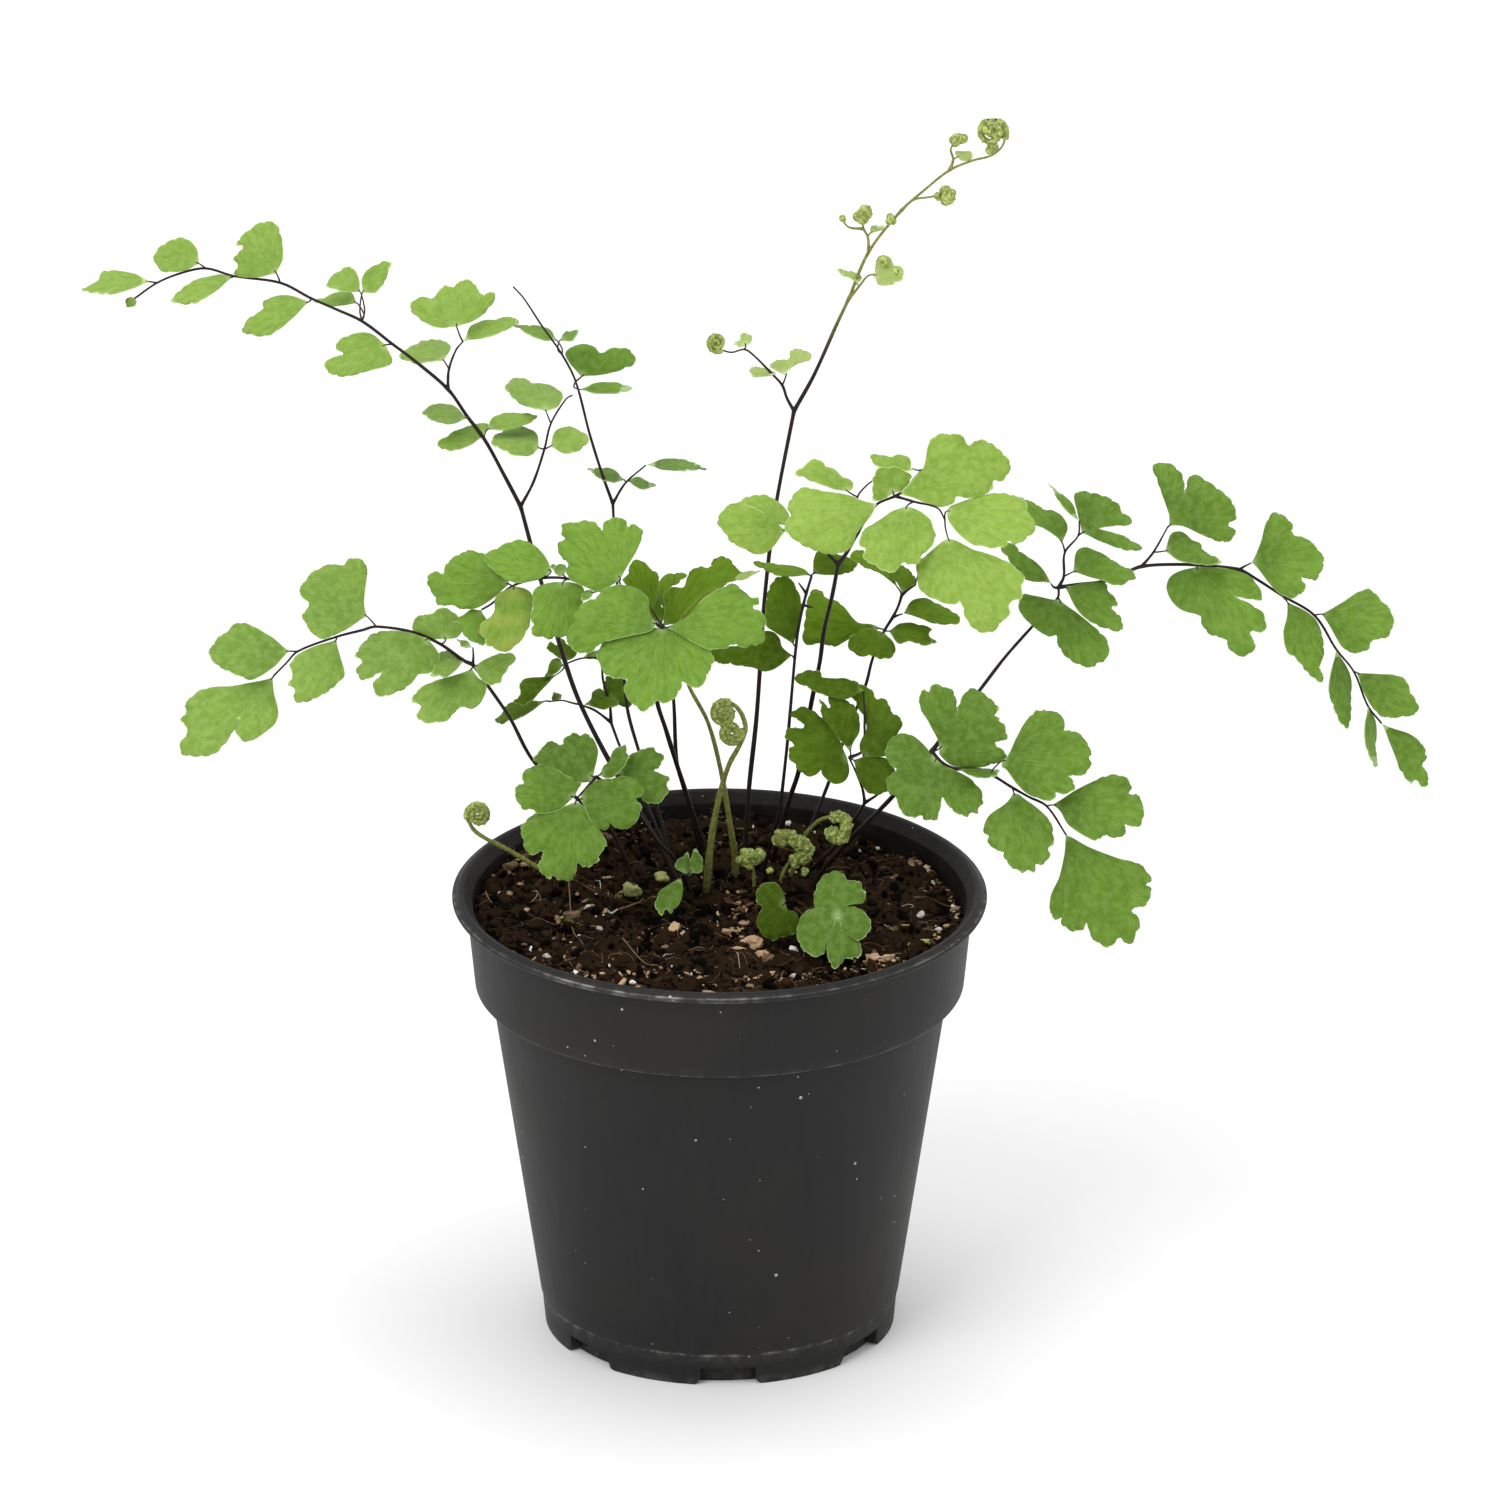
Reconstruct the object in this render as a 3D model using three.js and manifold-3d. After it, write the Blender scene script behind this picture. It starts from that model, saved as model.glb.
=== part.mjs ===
// Potted maidenhair fern in a round nursery pot.
// Millimetres, +Z up. The origin is the centre of the pot's foot, on the surface that it stands on.
//
// The plant is laid out as it is seen from the front and a little above. A plant point is
// [across, up, depth]: across is X, depth is Y, and up is the height seen along a line of sight
// that falls VIEW_ANGLE degrees below the horizontal, counted from SIGHT_HEIGHT on the pot's axis.

import * as THREE from 'three';
import { mergeVertices } from 'three/addons/utils/BufferGeometryUtils.js';
import Module from 'manifold-3d';

const wasm = await Module();
wasm.setup();

// Pot
const POT_HEIGHT = 91.1;
const RIM_RADIUS = 52.5;
const CROWN_RADIUS = 51.1;
const MOUTH_RADIUS = 50;
const COLLAR_RADIUS = 49.8;
const COLLAR_FOOT_RADIUS = 48;
const COLLAR_HEIGHT = 19.5;
const LIP_HEIGHT = 1.8;
const LIP_SLOPE = 0.8;
const MOUTH_DROP = 0.4;
const SHOULDER_RADIUS = 44.9;
const FOOT_RADIUS = 34.3;
const FOOT_HEIGHT = 6.7;
const FOOT_FLARE = 0.9;
const FOOT_STEP = 0.25;
const WALL = 1.3;
const POT_SEGMENTS = 48;
const FLOOR_UNDERSIDE = 3.7;
const FLOOR_THICKNESS = 1.6;
const FOOT_DISC_RADIUS = 12;
const FOOT_RING_WIDTH = 4.4;
const NOTCH_COUNT = 7;
const NOTCH_WIDTH = 10.8;
const NOTCH_HEIGHT = 3.7;
const NOTCH_DEPTH = 2.4;
const NOTCH_TURN = 2.8;
const DRAIN_RADIUS = 3.4;
const DRAIN_CIRCLE = 25;
const DRAIN_SIDES = 8;

// Soil
const SOIL_DROP = 4.6;
const SOIL_TILT = 0.02;
const SOIL_RELIEF = 1.3;
const SOIL_RINGS = 5;
const SOIL_SEGMENTS = 22;
const SOIL_GAP = 0.6;
const GAP = 0.3;
const HOLE_DEPTH = 9;
const HOLE_SIDES = 6;

// Plant
const VIEW_ANGLE = 23.07;
const SIGHT_HEIGHT = 92.1;
const STEM_SIDES = 4;
const STEM_CUTS = 1;
const STEM_RISE = 1.2;
const BRANCH_SINK = 0.3;
const STALK_WIDTH = 0.6;
const STALK_MIN = 2;
const ROOT_LIFTS = [0.5, 1.1, 1.7];
const MARGIN = 0.5;
const BLADE_THICKNESS = 0.6;
const BLADE_ARCH = 0.006;
const BUD_SEGMENTS = [6, 4];
const COIL_CUTS = 9;
const COIL_TURN = 360;
const COIL_SHRINK = 0.55;
const MERGE_DISTANCE = 1e-4;

const VIEW_SIN = Math.sin(THREE.MathUtils.degToRad(VIEW_ANGLE));
const VIEW_COS = Math.cos(THREE.MathUtils.degToRad(VIEW_ANGLE));

// Fronds. base is where the stem leaves the soil, as X and Y.
// A stem is [radius, points]. A leaflet is [root, slopes, outline]: slopes say how fast its depth
// grows along across and along up, and its stalk springs from the nearest stem point.

const UPPER_LEFT = {
  name: 'frond_upper_left',
  colour: 0x7faa3a,
  base: [-8, 14],
  stems: [
    [0.6, [[-10.5, 5.5, 15.5], [-15, 13.2, 17], [-21.8, 24.6, 19], [-27.3, 35.5, 21], [-30, 42.8, 22],
      [-35, 59.5, 24], [-39, 74.3, 25]]],
    [0.45, [[-39, 74.3, 25], [-42, 80, 25.5], [-46, 87.3, 26], [-49.5, 92, 26.5], [-53.2, 97.2, 27],
      [-60, 103, 28], [-64, 106, 28.5], [-70, 110.5, 29], [-75, 112.8, 30], [-80, 115, 30.5], [-86, 118, 31],
      [-95, 119.3, 31], [-100.5, 120.8, 30.5], [-105, 120, 30], [-110, 118, 29], [-114.5, 114.9, 28]]],
    [0.35, [[-53.2, 97.2, 27], [-53, 101, 26.5], [-51.5, 105, 26], [-50.2, 106.5, 25.5]]],
    [0.35, [[-39, 74.3, 25], [-36.5, 79, 24], [-34.3, 85.5, 23], [-33, 90.5, 22.5], [-30, 95.3, 22],
      [-28.8, 96, 22]]],
  ],
  leaflets: [
    [[-114.4, 115.1], [0.4, 0.6], [[-115.8, 114.8], [-116, 113.2], [-114.3, 113.8]]],
    [[-111.5, 118.2], [0.3, 2.2], [[-114.5, 119.6], [-120.5, 120.8], [-122, 119.2], [-124.6, 118.1],
      [-122.5, 117], [-118, 116.6], [-114.5, 117.2]]],
    [[-101.8, 121.7], [0.2, 0.5], [[-102.6, 124.8], [-105, 126.8], [-108.3, 126], [-110.6, 123.6],
      [-110, 121.2], [-108.5, 120.1], [-104.5, 120.6]]],
    [[-95.3, 119.1], [0.3, 1.4], [[-97.5, 119.6], [-99.5, 119.2], [-103.2, 118.4], [-106, 116.6],
      [-107.2, 114.7], [-103.5, 114.2], [-99.5, 116]]],
    [[-86.7, 119.8], [0.1, 0.4], [[-85.6, 123], [-86.2, 129.2], [-88, 130.2], [-90.5, 129.6], [-92, 128.6],
      [-94.2, 126.6], [-94.6, 125.3], [-93.3, 124.9], [-95.2, 122.8], [-94.2, 121.2], [-95.2, 119.6],
      [-91, 119.2]]],
    [[-80.3, 114.3], [0.2, 0.9], [[-83.5, 115.3], [-86.5, 115.4], [-89, 114.6], [-89.3, 113], [-92, 111.5],
      [-93.3, 109], [-90, 108], [-87.5, 108.4], [-84, 111]]],
    [[-70.3, 116.2], [0.4, 1.2], [[-71.2, 119.8], [-72, 121.6], [-74.5, 121], [-77, 118], [-74, 116.8]]],
    [[-70, 116], [-0.6, 0.8], [[-67.3, 116.5], [-64.5, 121], [-64.6, 122.4], [-66.8, 122.2], [-69.6, 120]]],
    [[-71, 114.1], [0.2, 2.6], [[-72.5, 116.2], [-76, 116.3], [-79.5, 115.2], [-76, 113.9]]],
    [[-65.3, 105.9], [0.1, 0.6], [[-68.5, 108], [-72, 107.9], [-74.8, 106.7], [-75, 105.4], [-73.5, 104.2],
      [-76.5, 103.6], [-77.3, 102.2], [-76.5, 100.8], [-73.5, 99.9], [-69, 101], [-64.3, 102.5]]],
    [[-54, 102.8], [0.3, 3.4], [[-53, 106], [-57, 107.3], [-60.5, 106.6], [-63, 105], [-60, 103.3]]],
    [[-51.4, 109.3], [-0.1, 0.4], [[-56, 109.6], [-60.5, 112.2], [-60.6, 114], [-58.8, 115.3], [-56, 115.2],
      [-54.2, 117.6], [-52.5, 117.3], [-50, 118.8], [-48, 118], [-46.7, 116], [-44.5, 116.3], [-43.7, 115],
      [-47, 111.5]]],
    [[-50, 106.6], [-0.3, 1.6], [[-48.5, 109.6], [-44, 111.6], [-40.5, 112.2], [-39.4, 111], [-42, 109.2],
      [-45.5, 107.6]]],
    [[-49.5, 91.5], [0.2, 3.2], [[-52.5, 94.2], [-56, 95.2], [-58.4, 93.4], [-56, 91.4], [-52.5, 90.6]]],
    [[-46.2, 88], [0.2, 1.4], [[-45.5, 90.6], [-51, 89.4], [-55.5, 86.8], [-53.5, 85.4], [-49.5, 86.2]]],
    [[-45.6, 89.3], [-0.3, 1.6], [[-44.5, 91.5], [-40, 93.2], [-36, 93.2], [-37.5, 91.2], [-41.5, 89.6]]],
    [[-35.3, 85.7], [0.2, 3.2], [[-36, 88.6], [-38.5, 90.2], [-42.5, 89.6], [-44.9, 87.1], [-41, 84.9],
      [-37, 84.5]]],
    [[-33.2, 86], [-0.2, 1.3], [[-31.9, 89.2], [-30, 90.6], [-28.2, 90.2], [-25.4, 88], [-26.5, 86.3],
      [-30, 85]]],
    [[-34, 92.9], [0.2, 3], [[-38, 94.6], [-42.2, 98.3], [-41, 100], [-38.8, 100.1], [-36.2, 98.9],
      [-33.6, 99], [-31, 97], [-31.8, 94.2]]],
  ],
};

const THIN_LEFT = {
  name: 'frond_thin_left',
  colour: 0x78a038,
  base: [-6.3, 19.5],
  stems: [
    [0.42, [[-9.1, 4.6, 21], [-12.4, 15.6, 25], [-16, 26.7, 29], [-18.2, 35, 32], [-19.3, 48, 36],
      [-20.2, 60, 40], [-21, 75, 45]]],
    [0.35, [[-21, 75, 45], [-23, 80.5, 46], [-25.5, 88.5, 48], [-28.3, 99, 50], [-31, 104.3, 51], [-35, 110, 52],
      [-38.5, 115.3, 53], [-40.5, 117.5, 53]]],
    [0.32, [[-21, 75, 45], [-18.5, 79, 44], [-14.5, 82.5, 43]]],
  ],
  leaflets: [
    [[-31.9, 107], [0.3, 2.6], [[-33.5, 109.2], [-37, 110.6], [-41, 110.6], [-37.5, 108.6], [-34.5, 107.2]]],
    [[-31.5, 107], [-0.4, 2.8], [[-30, 108.8], [-27.5, 109.2], [-29, 107.4]]],
    [[-27.2, 99.8], [0.1, 0.5], [[-29.2, 102.6], [-30, 104.7], [-27.5, 106.2], [-24.8, 105.8], [-23.5, 104.4],
      [-20.5, 105.8], [-17.3, 105.3], [-16.2, 102.8], [-20, 101.2]]],
    [[-27.3, 97.3], [-0.2, 3.6], [[-24, 98.6], [-20, 99.4], [-17, 98.8], [-20, 97.6], [-24, 96.8]]],
    [[-18.7, 79.6], [0.3, 3], [[-21, 81.6], [-24, 82.8], [-26, 82.8], [-24, 81], [-21, 79.4]]],
    [[-18.2, 79.4], [-0.3, 3], [[-15.5, 80.2], [-12.5, 79.3], [-15, 78.2]]],
    [[-14.2, 82.6], [-0.2, 4], [[-11, 83.6], [-6.5, 83.9], [-2.5, 82.9], [-6, 82.3], [-11, 81.9]]],
  ],
};

const UNFURLING = {
  name: 'frond_unfurling',
  colour: 0x9aa648,
  base: [4.8, 25],
  stems: [
    [0.55, [[5.2, 9.9, 25.5], [5.8, 19.3, 26], [7.2, 32.4, 27], [7.9, 42.2, 28], [8.6, 53.5, 29], [9.8, 65.5, 30],
      [11.3, 76, 30.5], [14.6, 93, 31]]],
    [0.45, [[14.6, 93, 31], [18.5, 100, 31], [23, 110, 31], [25.2, 114.7, 31], [29.2, 124, 31], [35.5, 132, 31],
      [40, 136, 31], [45, 139.9, 31], [49.5, 141.8, 31], [53, 142.7, 31], [54.9, 144.2, 31], [55.4, 146.2, 31]]],
    [0.35, [[14.6, 93, 31], [13.2, 95.5, 30.5], [12.3, 98, 30], [10.3, 100.2, 29.5], [6.5, 104, 28.5],
      [4.8, 105, 28], [2.4, 104.4, 28], [0.6, 104.8, 28]]],
    [0.35, [[25.2, 114.7, 31], [27.5, 117.5, 30], [29, 119.3, 29.5], [30.5, 119.7, 29]]],
    [0.35, [[29.2, 124, 31], [29, 127, 31.5], [28.2, 128.5, 32], [28, 130, 32]]],
    [0.32, [[28.2, 128.5, 32], [25.4, 128.8, 32], [24, 130.2, 32]]],
    [0.35, [[35.5, 132, 31], [38, 134.2, 30], [40.5, 134.6, 30], [43.2, 135, 30]]],
    [0.35, [[45, 139.9, 31], [45.7, 142, 32], [45.2, 144, 32], [46, 145.2, 32]]],
  ],
  coils: [
    [[53.1, 147.3, 31], 2.6, -25, 1, 0.45],
    [[-0.3, 106.2, 28], 1.6, -60, -1, 0.35],
  ],
  buds: [
    [[53.1, 147.3, 31], 1.1], [[-0.3, 106.2, 28], 0.8], [[44.3, 135.1, 30], 1.6], [[33.6, 130.8, 30.6], 1],
    [[27.7, 131.2, 32], 1.7], [[46.7, 145.6, 32], 1.7], [[24, 130.3, 32], 0.7],
  ],
  leaflets: [
    [[30.2, 119.3], [-0.2, 0.8], [[30, 121], [32, 123.4], [34.2, 122.9], [36, 120.5], [33.5, 118.6]]],
    [[11, 100.4], [0.2, 2.4], [[8.5, 101.9], [5.7, 101.4], [8, 99.7]]],
    [[13, 99.8], [-0.2, 1.6], [[10.5, 101.2], [10, 102.6], [12, 103.4], [15, 105.6], [17, 105.4],
      [18.3, 104.4], [16, 102.2]]],
    [[5.2, 105.6], [-0.2, 1], [[3.5, 106.8], [4.6, 108.3], [6.2, 108.2], [6.6, 106.4]]],
    [[27, 117.6], [0.2, 1], [[25, 119.4], [23, 120.6], [24, 118.4]]],
    [[46.3, 142.4], [-0.2, 1], [[47.8, 143.9], [49.4, 143.4], [48.2, 142.1]]],
    [[29.4, 127.6], [-0.2, 1], [[30.8, 128.9], [32.6, 129.3], [32.2, 128.1]]],
  ],
};

const LEFT = {
  name: 'frond_left',
  colour: 0x82b04a,
  base: [-15.3, 12.5],
  stems: [
    [0.5, [[-17.6, 3, 12], [-21.5, 11, 11], [-28.5, 17.5, 9], [-36.2, 24, 7], [-41.2, 33, 6], [-45.5, 39.3, 5],
      [-48.3, 43.3, 5]]],
    [0.4, [[-48.3, 43.3, 5], [-50, 44, 5], [-54.7, 47.3, 6], [-60, 49.6, 6], [-67.2, 50.7, 6], [-70, 50, 6],
      [-75, 48.7, 5.5], [-82.5, 45.9, 5], [-85, 43.4, 4.5], [-87.3, 41.1, 4]]],
    [0.32, [[-48.3, 43.3, 5], [-48.2, 45, 5], [-48.3, 46.6, 5]]],
  ],
  leaflets: [
    [[-69, 52.7], [0.1, 0.4], [[-74.5, 49.6], [-78, 48.3], [-80, 49.7], [-81.7, 53], [-80.3, 54.9], [-82.2, 57.5],
      [-81, 60], [-79.8, 61.3], [-76, 63.1], [-73.9, 62.8], [-72.3, 64.2], [-69.9, 63.9], [-69, 62.5],
      [-69.7, 56]]],
    [[-84.2, 45.9], [0.2, 0.5], [[-88.5, 49], [-93.8, 51.7], [-96.5, 49.8], [-98.3, 48.4], [-99.6, 45.5],
      [-97.7, 43], [-94, 41.2], [-91.5, 40.5], [-87.5, 42.8]]],
    [[-87.5, 40.7], [0.2, 0.7], [[-90, 40.1], [-95, 39.1], [-101, 38.8], [-104.2, 36.4], [-103.8, 35.1],
      [-105, 33.4], [-103.6, 31.5], [-104.9, 29], [-104.5, 26.8], [-100.5, 26], [-98, 26.6], [-95.2, 30.3],
      [-93.8, 33.2], [-94.5, 31], [-92.5, 28.5], [-90, 29.5], [-87.5, 31.5], [-86.5, 33.6], [-87.2, 37.5]]],
    [[-75, 48.2], [0.1, 0.7], [[-79, 46.8], [-82.5, 45.3], [-84, 43.5], [-83.5, 41.7], [-84.5, 39.5],
      [-83, 38.6], [-83.5, 37], [-82.2, 35.9], [-78, 37.2], [-74.5, 40.2], [-73.5, 41.6], [-74.3, 44.5]]],
    [[-57, 48.4], [0.1, 0.6], [[-62, 49.6], [-67.5, 49.7], [-69.8, 47.8], [-71.3, 45.6], [-70, 44.5],
      [-71, 42.6], [-69.8, 40.7], [-68, 41], [-65.8, 42.2], [-67.7, 40], [-67.3, 38], [-65.5, 37.2],
      [-61.5, 38.8], [-59.7, 40.6], [-59, 41.6], [-56.5, 42], [-55, 45]]],
    [[-53.6, 48.1], [-0.1, 0.6], [[-59, 49.3], [-60.5, 50.9], [-59.6, 52.7], [-58.3, 53.4], [-56.4, 53.3],
      [-55.2, 54.5], [-53.2, 54.4], [-51.5, 53], [-50.5, 50.5], [-51.5, 48.8]]],
    [[-50, 44], [0.3, 2.8], [[-52.5, 45.8], [-54.8, 45.9], [-55.6, 44], [-56.5, 41.9], [-53, 41.6]]],
    [[-48.5, 42.5], [0.2, 0.8], [[-52, 41], [-57, 39.8], [-59.5, 38.3], [-59.9, 36.5], [-58.1, 35.7],
      [-59.1, 34.3], [-57.4, 32.5], [-55.5, 32.2], [-53, 32.7], [-50.8, 35.2], [-48, 35], [-46.3, 37],
      [-45.8, 39.3], [-47.2, 40.6]]],
    [[-48.1, 43], [-0.2, 0.9], [[-45.5, 44.3], [-43, 45.6], [-41, 45.9], [-39.7, 44.8], [-40.8, 43.2],
      [-42.3, 41.5], [-43, 40.2], [-45, 39.7], [-47, 41.2]]],
    [[-48.5, 46.6], [0.3, 3], [[-50, 48.2], [-51.6, 48.7], [-50, 47]]],
  ],
};

const CENTRE = {
  name: 'frond_centre',
  colour: 0x6fa24c,
  base: [-1.5, 16.5],
  stems: [
    [0.6, [[-2, 4, 16.5], [-3.4, 8.3, 15.5], [-7.9, 22.2, 8], [-10.5, 30.5, 2], [-12.3, 36.5, -3],
      [-12.5, 44, -8], [-11.2, 50.5, -12]]],
    [0.42, [[-11.2, 50.5, -12], [-17, 54, -7], [-23.5, 57.8, -3], [-29.5, 60, -1], [-35, 60.1, 0], [-40.7, 58.5, 0],
      [-44.5, 55.2, 0], [-46.5, 54, 0]]],
    [0.35, [[-17, 54, -7], [-18.6, 57, -6], [-19.6, 59.6, -5]]],
  ],
  leaflets: [
    [[-19.5, 59.6], [0, 0.4], [[-24, 58.4], [-28, 60], [-30, 62.3], [-31.7, 66], [-30.7, 68.2], [-31, 70.6],
      [-28, 71.5], [-25.5, 71.7], [-23.2, 69.5], [-22.4, 71.6], [-20.5, 72.3], [-18, 70.3], [-16.6, 70.7],
      [-15.2, 69.6], [-16.6, 65], [-18.3, 61.5]]],
    [[-12.2, 51.2], [0.1, 0.6], [[-13.8, 53.5], [-15.5, 57], [-17.5, 58.6], [-20, 59], [-23.4, 57.6],
      [-24.2, 56.2], [-26, 56], [-28.4, 52.9], [-28.1, 51], [-29.6, 49.8], [-29, 47.5], [-27, 46],
      [-24.6, 45.8], [-22.5, 47.8], [-18, 50]]],
    [[-11.2, 50.4], [0, 0.7], [[-18, 50], [-22, 48.5], [-24.1, 46.2], [-23.6, 44], [-22, 42], [-18.5, 40.8],
      [-18.9, 38.8], [-17.9, 36.8], [-14.8, 35], [-11.5, 36.8], [-9.5, 36.3], [-7.5, 38.8], [-7.3, 40.3],
      [-4.5, 39], [-2.9, 39.6], [-1, 44.2], [-2.5, 46.6], [-6.5, 48.3]]],
    [[-9.4, 50.8], [-0.1, 0.6], [[-5.5, 54], [-3, 56.8], [-0.5, 58.1], [3, 58.8], [5.3, 57], [7.6, 56.8],
      [7.6, 55.2], [9, 53], [9.4, 51.8], [8.3, 50.7], [8.6, 48.7], [6, 47.4], [3, 47], [-1.5, 46.8],
      [-5.5, 48.3]]],
    [[-32.8, 61.6], [0.1, 0.6], [[-34, 64], [-37, 67], [-39.5, 67.8], [-43, 66.6], [-46, 65.2], [-46.2, 63.4],
      [-43, 61.2], [-39.5, 60], [-36, 59.9]]],
    [[-41, 59], [0.1, 0.3], [[-42.2, 61.5], [-44.3, 63.4], [-47.3, 65], [-48.8, 65.4], [-52, 64.5],
      [-53.7, 63], [-54.2, 61.2], [-55.8, 61.4], [-57.1, 59.4], [-55.5, 56.4], [-54.8, 54.7], [-52, 54.2],
      [-48.5, 53.6], [-44.5, 55.6]]],
    [[-46.6, 53.9], [0.1, 0.8], [[-49.5, 53.6], [-51.6, 52.6], [-51.2, 49.4], [-49.4, 48.4], [-47.4, 47.4],
      [-45.8, 49.5]]],
    [[-40.2, 58.4], [0.1, 0.7], [[-43.5, 56.2], [-44.3, 53], [-47, 49], [-46, 47.3], [-44.8, 48], [-43, 46.3],
      [-41, 47], [-38.3, 49.5], [-37.2, 52.5], [-36.8, 57.5]]],
    [[-30.6, 59.4], [0, 0.6], [[-33.5, 58.3], [-36.6, 57.6], [-36.9, 55], [-36.6, 51.3], [-37.2, 50],
      [-35.5, 49], [-33.5, 48.4], [-30.5, 48.6], [-28, 51], [-27, 55], [-27.2, 58]]],
    [[-30.4, 60.6], [0.3, 2.4], [[-31.5, 60.9], [-33.1, 62.8], [-31.8, 63.3], [-30.2, 62.5]]],
    [[-24.4, 57.4], [0.3, 2], [[-26.6, 57.9], [-26.9, 56], [-25.4, 56.6]]],
  ],
};

const BACK_CENTRE = {
  name: 'frond_back_centre',
  colour: 0x557f2c,
  base: [-3.2, 24],
  stems: [
    [0.5, [[-4.6, 10, 21], [-6, 16.4, 18], [-8.3, 23.8, 15], [-9, 36.1, 12], [-10, 45, 10], [-11, 50.8, 9]]],
  ],
  leaflets: [
    [[-8.8, 51.6], [-0.1, 0.5], [[-10.6, 54.3], [-10.8, 57], [-9.5, 58.3], [-7, 58.4], [-6, 61.5], [-4, 62.8],
      [-2.6, 62.4], [-1.3, 64.4], [0.5, 64.9], [2, 64.1], [3.2, 62.5], [5, 61], [0, 58.4], [-4, 54.6]]],
    [[-10.5, 53.3], [0.2, 1.6], [[-11.8, 56.5], [-12.3, 59.6], [-9.5, 61.8], [-6, 62.1], [-7.5, 60.3],
      [-9.9, 58.6]]],
    [[-11.3, 51.2], [0.3, 1.2], [[-13.2, 52.6], [-14, 55.5], [-13.6, 58], [-12.3, 60.4], [-11.7, 57.5],
      [-11.6, 54.5], [-10.6, 53.8]]],
    [[-12.9, 53.5], [0.2, 0.6], [[-15.2, 57.3], [-17.5, 58.8], [-18.8, 59.8], [-17.8, 61.4], [-17, 63.8],
      [-15, 64.1], [-13.4, 62.4], [-12.1, 61.3], [-12, 59.5]]],
  ],
};

const YOUNG_STEM = {
  name: 'young_stem',
  colour: 0x6e7446,
  base: [3.2, 19],
  stems: [
    [0.5, [[2.9, 6, 18], [2.2, 11, 16], [0.3, 22.2, 13], [-2.3, 32, 9], [-6, 39.1, 5], [-8.2, 46, 1.5],
      [-7.6, 52, -1], [-3.5, 56.6, -2], [0.5, 58.8, -2], [4, 60.2, -2], [8, 61.2, -2]]],
  ],
  leaflets: [],
};

const BACK_LEFT = {
  name: 'frond_back_left',
  colour: 0x54762b,
  base: [-9.8, 24.5],
  stems: [
    [0.4, [[-11, 8, 26], [-14.5, 16, 30], [-18, 23, 34], [-19.9, 27.9, 36], [-21.4, 32, 38]]],
    [0.35, [[-21.4, 32, 38], [-21.6, 35.2, 39], [-22.9, 40, 40], [-23.8, 44.3, 41], [-27, 44.6, 41],
      [-30.3, 43.5, 41]]],
    [0.32, [[-21.4, 32, 38], [-24.5, 34.3, 37.5], [-27, 35.3, 37.5], [-29, 35.8, 38], [-31, 36.3, 38.5],
      [-33.3, 36.1, 39]]],
  ],
  leaflets: [
    [[-30.4, 43.8], [0.2, 0.8], [[-32.3, 45.4], [-34.2, 46.8], [-33.2, 48.1], [-32, 47.5], [-31.5, 48.9],
      [-30.4, 48.4], [-29.2, 46.8], [-28.2, 45.6]]],
    [[-30.7, 43.2], [0.4, 2], [[-32.4, 44.9], [-33.6, 43.2], [-34.4, 41.3], [-32.5, 41.9]]],
    [[-24.2, 44.6], [0.3, 2.2], [[-26.8, 45.1], [-25.5, 46.2], [-23.8, 46], [-23.4, 44.4]]],
    [[-32, 41.4], [0.2, 1.4], [[-35, 40.6], [-38, 40.8], [-39.4, 40], [-39.1, 38.2], [-40.5, 36.7],
      [-38.2, 36], [-35, 38.8]]],
    [[-34.2, 36.2], [0.3, 2.5], [[-38, 36], [-42, 35.9], [-42.6, 34.7], [-44.1, 33.6], [-43, 32.5], [-41.5, 33],
      [-38, 34.1]]],
    [[-31.2, 36.6], [0.3, 2], [[-32.9, 36.8], [-32.8, 38.4], [-31.4, 37.6]]],
    [[-26.6, 35.5], [-0.2, 1.6], [[-25.1, 36.6], [-24.9, 38.1], [-23.5, 38.9], [-21.8, 38], [-20, 36.4],
      [-19.8, 35.5], [-23, 35]]],
    [[-21.4, 36.4], [-0.2, 0.7], [[-22.9, 39], [-22.4, 41.3], [-20.5, 41], [-18.5, 40.9], [-17.6, 38],
      [-16.9, 36.1], [-18.5, 35.3]]],
  ],
};

const INNER_RIGHT = {
  name: 'frond_inner_right',
  colour: 0x4f7a22,
  base: [8.3, 20.5],
  stems: [
    [0.42, [[9.3, 5.4, 20], [10.5, 10, 18.5], [11.7, 14.4, 17], [13, 25, 16], [13.9, 34.6, 16], [14.7, 44, 16],
      [15, 46.9, 16], [15.4, 50, 16], [16.2, 54, 16], [17, 57.2, 16], [18, 60.5, 16]]],
    [0.32, [[17, 57.2, 16], [16.3, 58.2, 15.8], [15.5, 59.3, 15.5]]],
    [0.32, [[16.4, 55, 16], [17.3, 54.7, 15.8], [18.2, 54.5, 15.5]]],
  ],
  leaflets: [
    [[14.2, 45.1], [0.2, 0.8], [[12.2, 46.8], [11.6, 48.4], [10.4, 49.6], [8.6, 49.6], [7, 47.8], [2, 47.4],
      [-2, 46.9], [-0.6, 44.6], [3, 44], [6.5, 43.3], [9.2, 42.3], [11.8, 43.2]]],
    [[14.5, 47.2], [0.2, 0.3], [[12.8, 48.4], [11, 49.8], [9.4, 51], [9.2, 54.5], [9.7, 58], [11, 60.1],
      [12.6, 60.7], [14.2, 60.2], [15.2, 58.8], [16, 56], [15.6, 51.5]]],
    [[17.8, 60.8], [0.3, 2.4], [[16.5, 62], [13, 62.7], [9.5, 63.8], [7.5, 64.2], [6.4, 63.6], [9, 62],
      [13, 60.9]]],
    [[18.2, 61], [-0.2, 0.9], [[18.4, 63.5], [19, 65.2], [20.2, 66], [24.5, 64.9], [27, 63.3], [26, 61.8],
      [22, 61.1]]],
  ],
};

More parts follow.
